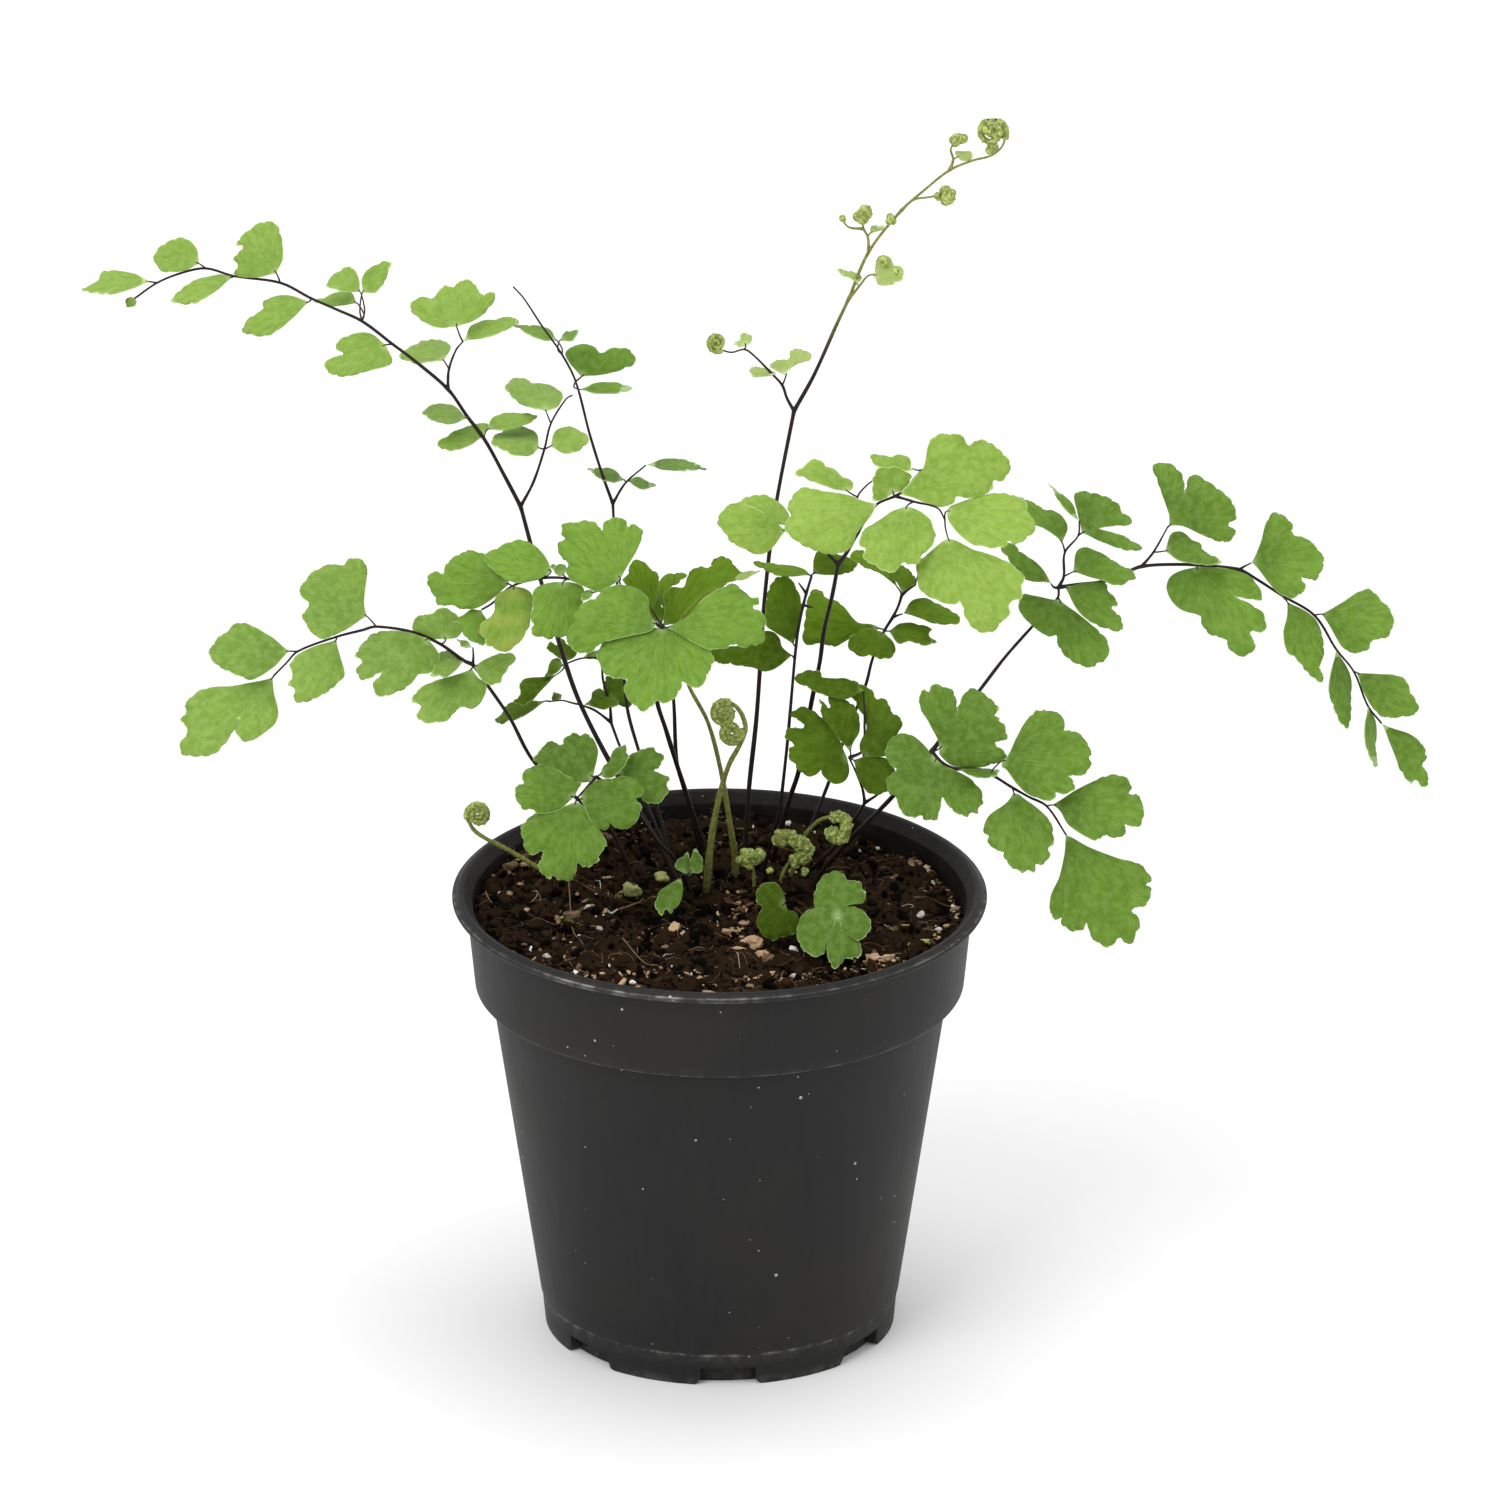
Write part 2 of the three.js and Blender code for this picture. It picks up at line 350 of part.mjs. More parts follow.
const BACK_RIGHT = {
  name: 'frond_back_right',
  colour: 0x587f3a,
  base: [13.5, 24],
  stems: [
    [0.42, [[15.3, 7.5, 24], [17.5, 10.7, 24.5], [21.5, 20.3, 26], [25, 30, 28], [28.7, 39.3, 30], [30.1, 44.6, 31],
      [32.4, 50, 32], [34, 52.6, 32.5], [35.1, 54.8, 33], [35.8, 57, 33]]],
    [0.35, [[35.8, 57, 33], [37, 58, 32.5], [38.4, 58.9, 32]]],
    [0.3, [[34, 52.6, 32.5], [35, 53, 32.2], [36, 53.3, 32]]],
  ],
  leaflets: [
    [[33.2, 49.9], [-0.2, 1.5], [[35.5, 51.2], [40, 51.6], [41.8, 51.1], [41, 50], [42.5, 48.8], [40, 47.8],
      [37.2, 48.5], [35.2, 47.8]]],
    [[32.3, 49.7], [0, 1.1], [[28.5, 50.2], [25.4, 49], [25.2, 47.2], [26.2, 46], [28.2, 45.3], [30, 45.4],
      [32, 44.6], [34, 45.3], [34.3, 47]]],
    [[31.8, 50.4], [-0.3, 0.6], [[30, 51.2], [27, 51.5], [25.5, 53], [24, 54.9], [22.5, 56], [20.4, 56.9],
      [20, 58.1], [18.2, 58.4], [17, 57], [16.4, 53.5], [15.7, 48], [20, 47.7], [22.2, 47.3], [25.5, 48.8]]],
    [[35.8, 57.4], [0, 0.9], [[35, 59.6], [33.2, 61.2], [34.8, 62.3], [36.1, 63.1], [37.7, 61.8],
      [38.6, 60.2], [37.5, 58.7]]],
    [[35.2, 58.2], [-0.2, 1.5], [[33.6, 61.2], [31, 63.4], [28.3, 66.2], [26.8, 66.4], [25.2, 64.5],
      [28, 63], [32, 61.2]]],
    [[36.2, 53.4], [-0.2, 1.4], [[37.3, 55.2], [38.8, 56.1], [40.8, 56.3], [43.5, 55.6], [46, 54.6],
      [47.3, 53.2], [46.2, 51.8], [42, 51.8], [39.3, 52.7]]],
    [[38.8, 60.4], [-0.2, 1.8], [[38.9, 63.2], [41, 65.8], [43, 67.2], [41.6, 64]]],
  ],
};

const BRIGHT = {
  name: 'frond_bright',
  colour: 0x93bf45,
  base: [10.5, 26],
  stems: [
    [0.6, [[11.5, 9, 24], [13.8, 17.1, 21.5], [15.5, 22.3, 19.5], [18.1, 36.3, 13], [19.6, 43.5, 9], [20.5, 50, 5],
      [22, 56.5, 1], [23.2, 62.8, -3]]],
    [0.45, [[23.2, 62.8, -3], [25, 65.3, -4], [27, 69, -5], [29.5, 73, -6], [31, 74.7, -7], [34.3, 76.1, -7],
      [36.5, 77.5, -6], [38, 79.5, -5], [39.7, 81.3, -4]]],
    [0.38, [[23.2, 62.8, -3], [20.8, 65.2, -4], [18, 67, -5], [15, 68.6, -6]]],
    [0.32, [[34.3, 76.1, -7], [38, 75, -8], [42.5, 73.8, -9], [44, 71.5, -9.5]]],
    [0.32, [[27, 69, -5], [27, 73, -1], [27, 76, 1], [28.5, 78, 2], [30.5, 79.6, 2]]],
  ],
  leaflets: [
    [[13.4, 70.2], [0.1, 0.9], [[13.4, 72.6], [12, 74.6], [10, 76.3], [7.5, 77], [5, 76.4], [3.6, 75],
      [6, 72.5]]],
    [[13, 69.4], [0.1, 0.4], [[9, 72.4], [3.6, 75], [0.8, 73.6], [-0.3, 71], [1, 69], [2.4, 67], [4.6, 66],
      [7.5, 64.9], [9.6, 65.6], [11.4, 67.3]]],
    [[30.6, 74.2], [0.1, 0.6], [[26, 76], [20, 77.8], [16.5, 78.2], [14.5, 76.9], [13.2, 74.6], [13.5, 72.6],
      [12.8, 71], [15.5, 68.4], [18.5, 66.3], [22, 64.9], [24.3, 65.2], [26.5, 67.3], [28, 70.2]]],
    [[36.6, 74.2], [0, 0.8], [[33, 72.4], [28.5, 70], [27.3, 68.2], [28.4, 64.6], [30.5, 62], [33, 61.4],
      [35.2, 62], [36, 63.4], [37.8, 62.7], [39.3, 63.4], [39.4, 65.8], [41.6, 66.6], [42.4, 68.4],
      [41, 71.6], [39.4, 73]]],
    [[34, 76.5], [0.2, 0.3], [[32, 75], [30.2, 75.2], [30, 78], [30.1, 80.6], [31.3, 82.2], [34, 82],
      [36.5, 81.3], [38, 80.4], [37.3, 79]]],
    [[37.4, 80.9], [0.1, 1.4], [[37.3, 82.5], [36.5, 83.8], [34, 84.3], [30.5, 85], [29.2, 84.3], [31, 83],
      [34, 82]]],
    [[26.8, 77], [0.2, 1.2], [[26.4, 78.8], [24, 79.4], [23, 81.2], [21, 82.3], [19.3, 83.8], [17.8, 83.6],
      [16.4, 82.1], [14.8, 81.5], [18, 80], [22.5, 77.8]]],
    [[36.2, 76.8], [-0.1, 0.5], [[38, 79.8], [39.8, 81.6], [40.6, 85], [41.8, 87.6], [43.5, 88.6], [47, 88.1],
      [48.3, 86.7], [50.5, 87.6], [54, 86], [56.4, 83], [56, 80.5], [54, 79.3], [53.2, 77.4], [50.5, 76.3],
      [46, 76.3], [42.8, 74.4], [39, 75]]],
    [[44.3, 73.2], [-0.1, 0.9], [[47.5, 74.8], [52, 76.4], [56, 77.1], [58.5, 76.8], [60.2, 75], [61.6, 72.4],
      [61, 70.3], [58, 68.3], [54, 67], [50.5, 66.9], [48, 68.4], [45.6, 70.5]]],
    [[44.9, 68.1], [-0.1, 0.6], [[42.3, 66.8], [40.5, 64.4], [38.8, 61], [38.6, 58.4], [41, 56.6], [44, 55.2],
      [46.6, 55.6], [47.4, 55], [47.5, 52.6], [49.3, 50.7], [52.3, 49.9], [54.5, 51.6], [56.6, 53.8],
      [56.6, 55.6], [58.5, 56.6], [59.4, 59.4], [58.4, 61.8], [55.5, 63.7], [50.8, 65.3], [47.8, 67.3]]],
  ],
};

const DARK_FRONT = {
  name: 'frond_dark_front',
  colour: 0x4c7434,
  base: [16.4, 18.4],
  stems: [
    [0.45, [[18.5, 3.5, 16.5], [23.8, 8.9, 11], [28.5, 16.2, 4]]],
    [0.35, [[28.5, 16.2, 4], [28, 19, 2.5], [26.7, 22.3, 0.5], [25.4, 25, -1]]],
    [0.35, [[28.5, 16.2, 4], [31, 17.8, 3], [32.5, 19, 2]]],
    [0.35, [[25.4, 25, -1], [28, 26.4, 0], [28.4, 32, 2], [28.2, 38, 4]]],
  ],
  leaflets: [
    [[25, 25], [0.1, 0.5], [[22, 30.5], [20, 33.5], [18, 34.8], [16.4, 35.4], [15, 35], [14, 33.7],
      [16.6, 31.2], [13.5, 31.3], [12.8, 29.8], [13.3, 28.4], [14.8, 27.3], [13.4, 26.5], [13.6, 25.2],
      [15.3, 23], [17.5, 21.6], [20, 22.9], [21, 21], [22.6, 20.2], [24.5, 20.7], [25.4, 22.6]]],
    [[25.7, 26], [0.3, 0.4], [[23.5, 28.8], [21.2, 31.2], [20.1, 33.2], [19.8, 36.9], [22, 35], [21.7, 36.6],
      [23, 37.3], [25.5, 36.5], [27.2, 34.2], [27.2, 31], [26.5, 28]]],
    [[28.2, 25.2], [-0.2, 0.5], [[27.6, 33.5], [25, 40.6], [28.6, 39.2], [30.2, 38.2], [30.3, 36.8],
      [33, 35.8], [33.4, 34], [35.3, 32.8], [35.5, 31], [34, 28.5], [32.5, 25.6]]],
    [[28.2, 38.2], [0.1, 0.9], [[24, 40.8], [20.2, 41.2], [19.4, 42.4], [17.4, 42.8], [15.2, 42], [14.7, 40.9],
      [18, 39.2], [21, 37.8], [24.5, 36.8]]],
    [[26.2, 24.6], [0, 0.6], [[29, 25.2], [32.8, 24.8], [34.6, 22.5], [34.3, 20], [33, 18.6], [31, 17.9],
      [29.4, 18.2], [27.8, 20.2], [26.8, 22.6]]],
  ],
};

const RIGHT = {
  name: 'frond_right',
  colour: 0x6f9c38,
  base: [18.4, 13.6],
  stems: [
    [0.6, [[20.3, 3, 12], [23.8, 7, 8.5], [27.3, 10.7, 5], [33.6, 17.1, -1], [41.5, 26.2, -6]]],
    [0.5, [[41.5, 26.2, -6], [46, 32, -1], [51, 38.3, 4], [56, 44.8, 7], [61.5, 51, 9], [66.2, 56.3, 10],
      [66.4, 58.4, 10]]],
    [0.32, [[66.4, 58.4, 10], [65.6, 58.3, 10], [64.9, 59.1, 10]]],
    [0.34, [[66.4, 58.4, 10], [67.4, 60.5, 10], [67.6, 65.2, 10], [70.2, 68.5, 10], [70.4, 71.4, 10]]],
    [0.42, [[66.4, 58.4, 10], [70, 58.9, 11], [75, 59.5, 12], [79, 61, 13], [82.7, 62.5, 14], [90, 62.9, 15],
      [96, 62.6, 16], [101.8, 61.9, 17], [105, 60.2, 17.5], [110, 57, 18], [116.6, 53, 19], [121, 46.3, 20],
      [124.5, 41.9, 20.5], [127.3, 35.2, 21], [130, 31.8, 21]]],
    [0.32, [[82.7, 62.5, 14], [85, 65.3, 14], [87.7, 70.1, 14]]],
    [0.3, [[101.8, 61.9, 17], [103, 62.6, 16.8], [104.2, 63.2, 16.5]]],
    [0.42, [[41.5, 26.2, -6], [43.5, 24.1, -7], [46, 22.9, -8], [50, 22.7, -8], [53, 21.8, -8], [57.3, 19.2, -8],
      [60.5, 17.4, -8], [64, 15.6, -8], [67.9, 9.9, -8]]],
  ],
  leaflets: [
    [[66.7, 55.9], [-0.1, 0.6], [[64, 56.2], [61, 56.8], [59.4, 57.1], [58.6, 55.5], [59, 53.6], [62.3, 50.3],
      [64.5, 49], [66.1, 49.2], [66.4, 47], [68.3, 44.4], [71, 43.2], [73.2, 43.1], [73.8, 44], [75.2, 44.2],
      [76.2, 46.4], [75.8, 48.5], [72, 51.6], [69, 54]]],
    [[67.6, 58.5], [-0.1, 0.7], [[71, 59.1], [75.3, 59.4], [76, 57.8], [77.6, 56.5], [77.8, 55.2], [76.6, 54.6],
      [78.3, 53.3], [79, 50.8], [78.3, 50], [76.3, 50.2], [72.8, 51.8], [70.3, 54]]],
    [[69.2, 61.4], [-0.1, 0.9], [[69.6, 63.6], [70.1, 65.3], [71.6, 66.2], [73.6, 65.8], [76.5, 64.5],
      [78.3, 63.3], [80.3, 62.8], [81.6, 61], [80.2, 60], [78.2, 59], [75, 60]]],
    [[70.9, 69], [-0.2, 0.5], [[70.3, 72.5], [69.5, 77], [71.5, 77.2], [74.5, 76.5], [77.8, 74.9], [78.4, 73.5],
      [80.2, 72.2], [80.5, 70.8], [77, 70.6], [73.9, 69.9], [78.3, 68.6], [80.8, 67.6], [82.8, 66],
      [80, 65.5], [76, 67]]],
    [[70.2, 71.6], [0.8, 1], [[69, 74.4], [67, 76.8], [64.4, 79], [66.5, 75.6], [68.8, 72.6]]],
    [[64.9, 59.2], [0.3, 0.9], [[61.5, 59.7], [59.9, 60.3], [58, 62.6], [56.2, 64.4], [55.2, 66.2], [56.2, 67.4],
      [57.6, 67.4], [59.5, 65.2], [62, 63], [64, 60.8]]],
    [[67.1, 67.1], [0.2, 0.8], [[65.5, 68.8], [63.5, 70.3], [61, 71.6], [59.6, 74], [58.8, 76.8], [60.6, 76.2],
      [62.6, 74.9], [63.5, 73.8], [65.4, 73.4], [67.3, 71.8], [68, 69.8]]],
    [[88, 70.4], [-0.2, 0.4], [[88, 73], [87, 76], [85.4, 79.5], [84.2, 82.2], [86.5, 83], [88.3, 82.5],
      [90.3, 80.5], [91, 76.7], [91.8, 80.3], [93.2, 80.5], [97, 78.2], [100, 75.6], [101.1, 73.2],
      [101, 72], [99.5, 70.8], [100.7, 69.5], [100, 67.7], [98.2, 67.1], [94, 69], [91, 70.4]]],
    [[87.2, 65.5], [-0.2, 1.2], [[88.5, 68.6], [89.8, 69.4], [91.2, 69], [92.2, 68], [93.9, 67.5], [94.7, 66],
      [96.5, 65.2], [98.3, 64], [97.2, 63.1], [93, 63.3], [90, 63.8]]],
    [[93.4, 62.4], [-0.2, 0.6], [[90.5, 61.8], [88.2, 60.4], [87.6, 58.4], [88.6, 56], [90.5, 54.3], [94.2, 53],
      [94.4, 51.4], [96, 49.4], [98.7, 48.4], [99.7, 46.2], [102.2, 45.1], [104.2, 46.2], [104.8, 47.6],
      [103.8, 49.8], [106.3, 50], [106.8, 51.8], [105.9, 54.1], [100.6, 56.8], [105.8, 56.4], [105.2, 58.8],
      [103, 61], [98, 62.2]]],
    [[104.3, 63.3], [-0.2, 0.4], [[106.2, 67.2], [107.3, 71.6], [108.6, 73.2], [110.8, 72.3], [112.2, 70.6],
      [112.4, 68.6], [114.6, 68.3], [116.9, 66.2], [118.1, 64], [117.6, 61.2], [116.6, 59.7], [113.8, 60.4],
      [114.8, 59], [114.2, 57.3], [112, 56.2], [109.5, 57.5], [106.5, 61]]],
    [[111.3, 55.6], [0.3, 0.6], [[111.3, 52.5], [110.8, 49.5], [111.7, 46], [113.2, 45], [116.2, 41.8],
      [118.2, 40.3], [119.1, 40.2], [119, 42.5], [118.3, 43.2], [119, 45], [118.7, 48], [117, 51.8],
      [114.5, 53.9]]],
    [[118, 53.2], [-0.2, 0.5], [[122, 55.2], [125, 57.4], [127, 58.2], [129, 57], [130.2, 55.6], [131.6, 54],
      [132.1, 51.8], [131, 49], [129, 48.2], [128, 48.2], [127, 46.4], [124.6, 45.7], [122.4, 46.5],
      [120, 50.5]]],
    [[121, 46], [1, 0.5], [[120.2, 42], [120, 39], [120.6, 36.4], [122.8, 32.4], [124.8, 30.8], [125.4, 33],
      [124.9, 36.5], [124.2, 40.2], [122.6, 43.6]]],
    [[125, 41.8], [-0.2, 0.6], [[129, 41.3], [133, 41.1], [134.9, 40], [135.3, 38.5], [136.9, 35.6],
      [136.2, 34], [134.6, 33.3], [131.8, 33], [129.4, 33.6], [127, 37]]],
    [[127.3, 35], [1.6, 0.6], [[126.9, 31], [127.3, 28], [128.4, 25.2], [129.8, 23.3], [130.6, 23.8],
      [129.6, 27], [129.2, 30.5], [128.2, 33.8]]],
    [[130.1, 31.7], [0.1, 0.7], [[133, 30.4], [136, 29.3], [138.1, 27.5], [139, 25.4], [138.2, 24.1],
      [139.2, 22.2], [139.5, 20.2], [138, 19.8], [136.6, 21], [135.9, 20.1], [134, 22.8], [132.5, 26.5]]],
    [[42.4, 24.8], [0, 0.7], [[41, 27], [38.5, 29.2], [36.4, 30.1], [33.6, 29.2], [32.2, 26], [34.7, 23.2],
      [32.5, 20.8], [33, 19.2], [35, 17], [35.4, 15.4], [37, 14.1], [39.8, 13.9], [41, 13], [43, 13.8],
      [43.3, 16.8], [43.9, 17.2], [46, 14.6], [48.4, 13.7], [50.3, 15], [51.8, 17.6], [50.5, 20.2],
      [46.5, 22.6]]],
    [[43, 27], [-0.1, 0.3], [[41.5, 31], [39, 35.4], [38.7, 37], [39.6, 38.4], [40.8, 38.3], [42.4, 39.6],
      [45, 38.5], [46, 36.8], [46.3, 34.6], [47.3, 37.2], [48.4, 38.4], [50.2, 38.5], [53.4, 36.2],
      [54.7, 34], [54.6, 32.7], [56.3, 29.2], [54.2, 27.7], [56, 26.2], [55.2, 24.4], [51.5, 23.2],
      [47.5, 23.4], [44.5, 24.8]]],
    [[46.6, 22.7], [0, 3], [[50, 23.4], [54.8, 23.8], [54.2, 22.4], [50.5, 21.6]]],
    [[55.2, 23.6], [-0.1, 0.5], [[57.5, 27.4], [59.8, 31.5], [61.5, 34.1], [64.5, 34.7], [66.5, 33.7],
      [67.7, 32.4], [67.4, 30.9], [69.3, 30.8], [71.4, 29], [72.9, 25.6], [72, 22], [68.2, 21.8],
      [69.7, 20], [68.6, 18], [65.8, 18.3], [65, 17], [62.6, 16.8], [59.5, 18.8], [57, 21.6]]],
    [[65.3, 16], [-0.1, 0.6], [[69, 17.8], [73, 20.3], [76, 21.9], [78.3, 22.3], [80, 21.2], [80.4, 18.8],
      [82.3, 17.4], [83.2, 15.2], [82.2, 12.6], [79.5, 11.8], [79.2, 10.1], [75, 9.9], [73, 9.2],
      [70.2, 10.2], [67.4, 13]]],
    [[57.6, 18.2], [0.1, 0.6], [[56.4, 16.5], [53.4, 14.1], [51.9, 11.8], [52.6, 9.7], [53, 8.3], [55.2, 6.8],
      [56, 5.3], [58.4, 3.2], [61.6, 2.8], [62.4, 4.4], [64.2, 4.7], [65.1, 6.4], [66, 9.5], [65.4, 12],
      [62.5, 14.6]]],
    [[67.8, 9.6], [0, 0.5], [[67.6, 5], [65.9, 0], [65.1, -3], [65.5, -6], [66.8, -6.3], [68.8, -8.8],
      [72, -8.5], [72.6, -6.8], [73.3, -9.8], [76.2, -11.9], [78.7, -10.2], [80.8, -11.2], [82.8, -7.4],
      [80.6, -3.9], [83.6, -3.7], [84.8, -1], [83.9, 0.3], [84.5, 2], [82.6, 4.3], [77, 5.2], [72, 7.2]]],
  ],
};

const FRONT_LEFT = {
  name: 'frond_front_left',
  colour: 0x6a9a4a,
  base: [-6, 10.3],
  stems: [
    [0.45, [[-8, 4, 8], [-12.5, 9, 4], [-15.2, 13, 1], [-19, 18, -3], [-24.2, 21.3, -7]]],
    [0.38, [[-24.2, 21.3, -7], [-25.8, 19.4, -8], [-28, 17, -9]]],
  ],
  leaflets: [
    [[-24.7, 21.2], [0.1, 0.5], [[-28, 20.4], [-32, 22], [-35.6, 24], [-36.6, 25.4], [-35.6, 26.8],
      [-33.2, 28.5], [-31, 27.2], [-30.6, 28.9], [-29.2, 30], [-26.2, 30], [-24.7, 29], [-24, 26.5],
      [-24.2, 23.6]]],
    [[-28.4, 17.3], [0.1, 0.4], [[-29.5, 20.6], [-33.5, 23], [-36.5, 23.7], [-38, 22.8], [-38.6, 21],
      [-38, 20.1], [-40.2, 18.4], [-39.4, 17], [-39.8, 15.8], [-38.2, 14.7], [-35.5, 13.9], [-31.5, 15]]],
    [[-28.1, 16.5], [0, 0.5], [[-32, 14.7], [-36.2, 13.6], [-38.5, 12], [-38.9, 10.3], [-38.3, 9.2],
      [-38.7, 7.6], [-37, 6.1], [-34.9, 6.5], [-35.6, 4.4], [-34, 1.7], [-31.8, 1.6], [-30.2, 1], [-28.4, 2],
      [-27.7, 4.7], [-26.4, 3.7], [-24.3, 4.2], [-23.9, 6.2], [-22.5, 8.5], [-24.2, 11.8], [-26.2, 14.8]]],
    [[-27.4, 17], [-0.1, 0.5], [[-24.5, 20], [-21, 21.2], [-18, 21.7], [-16, 20.7], [-15.2, 18.6],
      [-16.3, 16.6], [-15.2, 15], [-16.4, 12.4], [-19.3, 11], [-21.4, 12.2], [-24, 11.2], [-25.6, 14]]],
    [[-20, 21.6], [-0.1, 0.6], [[-18.4, 24.3], [-16.2, 26.3], [-14.3, 27.3], [-12.6, 26.7], [-11, 25.4],
      [-10.9, 23.8], [-12.6, 22.5], [-10.6, 22], [-9.9, 20.6], [-10.4, 17.8], [-12, 16.2], [-14.4, 16.2],
      [-16.5, 19]]],
    [[-23.6, 21.6], [0.1, 0.7], [[-23.5, 23], [-21.5, 24.3], [-21, 26.2], [-19.9, 27.6], [-18.6, 28.1],
      [-17.4, 25.4], [-19, 23], [-21, 21.6]]],
  ],
};

// Young growth.

const LEFT_FIDDLEHEAD = {
  name: 'fiddlehead_left',
  colour: 0x8a8c40,
  base: [-33.5, 17],
  stems: [
    [0.6, [[-35, 3, 16], [-37, 4.2, 15.5], [-40, 6, 15], [-43, 7.7, 14.5], [-46, 9.2, 14], [-48.3, 10.9, 14],
      [-49.6, 13.2, 14]]],
  ],
  coils: [[[-47.4, 13.8, 14], 2.2, 195, -1, 0.5]],
  buds: [[[-47.4, 13.8, 14], 1.1]],
  leaflets: [],
};

const DOUBLE_FIDDLEHEAD = {
  name: 'fiddlehead_double',
  colour: 0x8b9340,
  base: [-0.5, 12.2],
  stems: [
    [0.65, [[-0.9, 3, 11.5], [-1.8, 8.5, 10], [-1, 13, 9], [0.5, 19.5, 7], [2, 24, 5], [4, 27.6, 4],
      [5.3, 30.5, 3.5], [4.9, 33, 3.5], [3.6, 35, 3.5], [1.9, 36, 3.5]]],
  ],
  coils: [[[0.9, 33.9, 3.5], 2.1, 65, 1, 0.55]],
  buds: [[[0.9, 33.9, 3.5], 1.1], [[2.5, 30, 3.5], 2.2]],
  leaflets: [],
};

const ARCHED_FIDDLEHEAD = {
  name: 'fiddlehead_arched',
  colour: 0xa9bc62,
  base: [14.2, 19.5],
  stems: [
    [0.55, [[15, 6, 18], [16.3, 9, 15.5], [18, 11.3, 12.5], [20, 12.9, 9.5], [22.4, 13.6, 7]]],
    [0.95, [[22.4, 13.6, 7], [24.3, 12.9, 5.5], [25, 11.4, 4.5], [24.2, 9.6, 4], [23, 8.8, 4], [21.9, 9.6, 4],
      [21.9, 10.9, 4.2]]],
  ],
  leaflets: [],
};

const FURLED_LEAF = {
  name: 'furled_leaf',
  colour: 0xb4c476,
  base: [11.7, 14.5],
  stems: [
    [0.5, [[12.3, 2, 14], [13.4, 4, 13.5], [14.2, 4.7, 13]]],
    [1, [[14.2, 4.7, 13], [16.3, 5.3, 12.6], [16.9, 7.2, 12.4], [15.3, 8.5, 12], [13.4, 9.8, 12], [11.7, 9.4, 12],
      [11.9, 8.2, 12]]],
  ],
  leaflets: [],
};

const BUD_CLUSTER = {
  name: 'bud_cluster',
  colour: 0xa4b85c,
  base: [6.8, 13.5],
  stems: [[0.5, [[6.7, 2, 13], [6.4, 4.4, 12.5]]]],
  buds: [[[6.4, 4.6, 12.5], 1.6], [[7.7, 5.9, 12], 1.3], [[5.4, 6.2, 12], 1.3], [[4.4, 4.8, 12], 1.3]],
  leaflets: [],
};

const LEFT_SEEDLING = {
  name: 'seedling_left',
  colour: 0x6c9a40,
  base: [-8.6, 5.5],
  stems: [[0.35, [[-8.2, 0, 4.6], [-7.4, 2, 4]]]],
  leaflets: [
    [[-7.7, 1.6], [0.2, 1.4], [[-9.2, 0.3], [-12, -1.6], [-12.7, -4], [-11.2, -5.5], [-10.3, -4.5],
      [-9.4, -5.1], [-7.7, -2.5], [-7.4, 0]]],
    [[-7.2, 2.4], [0.1, 0.5], [[-8.6, 3.8], [-7.6, 5.4], [-6.2, 6.6], [-5.6, 4.6], [-5.6, 2.2]]],
    [[-5.9, 2.4], [-0.2, 0.6], [[-5.2, 7], [-4.4, 7.2], [-3.4, 4.8], [-3.8, 2.8]]],
  ],
};

const CENTRE_SEEDLING = {
  name: 'seedling_centre',
  colour: 0x5a8434,
  base: [12.8, -7],
  stems: [[0.4, [[12.9, -5, -9.5], [12.8, -2.8, -12.6]]]],
  leaflets: [
    [[12.8, -2.6], [0, 0.5], [[12.6, 0], [11, 1], [9, 1], [7.4, 0], [7, -2], [8.4, -4.4], [7.3, -7], [8.7, -10],
      [12, -10.6], [14.7, -9.7], [15, -6.5], [13.6, -4.8]]],
  ],
};

const RIGHT_SEEDLING = {
  name: 'seedling_right',
  colour: 0x74a04a,
  base: [23.5, -13.5],
  stems: [[0.42, [[23.4, -8.6, -17.2], [23.2, -6.2, -19.6]]]],
  leaflets: [
    [[23.2, -5.6], [0, 0.9], [[21, -4.4], [18.8, -2.5], [19.2, 1], [20.5, 2.8], [22.6, 3.7], [24.4, 3.2],
      [25.4, 1.8], [27.2, 1.8], [28.8, -1], [28.2, -2.9], [25, -3.7]]],
    [[23.6, -6], [-0.1, 1], [[25.5, -4.1], [27.6, -4.1], [29.2, -5.6], [29.7, -7.4], [28.8, -9.6],
      [26.6, -9.8], [24.6, -8]]],
    [[23.4, -6.6], [0, 1], [[24.6, -8.4], [27.4, -10.2], [27.8, -12.2], [26.8, -13.6], [25.6, -14], [24.4, -15.3],
      [22.8, -15.9], [21.6, -15], [21.2, -12.4], [22, -9]]],
    [[22.8, -6.2], [0.1, 1], [[21.8, -9], [20.6, -13], [18.8, -13.6], [16.8, -12.6], [15.4, -10], [15.4, -7.4],
      [16.6, -5.2], [19.2, -4.2], [21.4, -5]]],
  ],
};

const PLANTS = [
  UPPER_LEFT, THIN_LEFT, UNFURLING, LEFT, CENTRE, BACK_CENTRE, YOUNG_STEM, BACK_LEFT, INNER_RIGHT, BACK_RIGHT,
  BRIGHT, DARK_FRONT, RIGHT, FRONT_LEFT, LEFT_FIDDLEHEAD, DOUBLE_FIDDLEHEAD, ARCHED_FIDDLEHEAD, FURLED_LEAF,
  BUD_CLUSTER, LEFT_SEEDLING, CENTRE_SEEDLING, RIGHT_SEEDLING,
];

// A curve that is cut at its own points when it is swept, so that joints stay joined.
class StemCurve extends THREE.CatmullRomCurve3 {
  getPointAt(fraction, target) {
    return this.getPoint(fraction, target);
  }

  getTangentAt(fraction, target) {
    return this.getTangent(fraction, target);
  }
}

function lift(across, up, depth) {
  return new THREE.Vector3(across, depth, (up - depth * VIEW_SIN) / VIEW_COS);
}

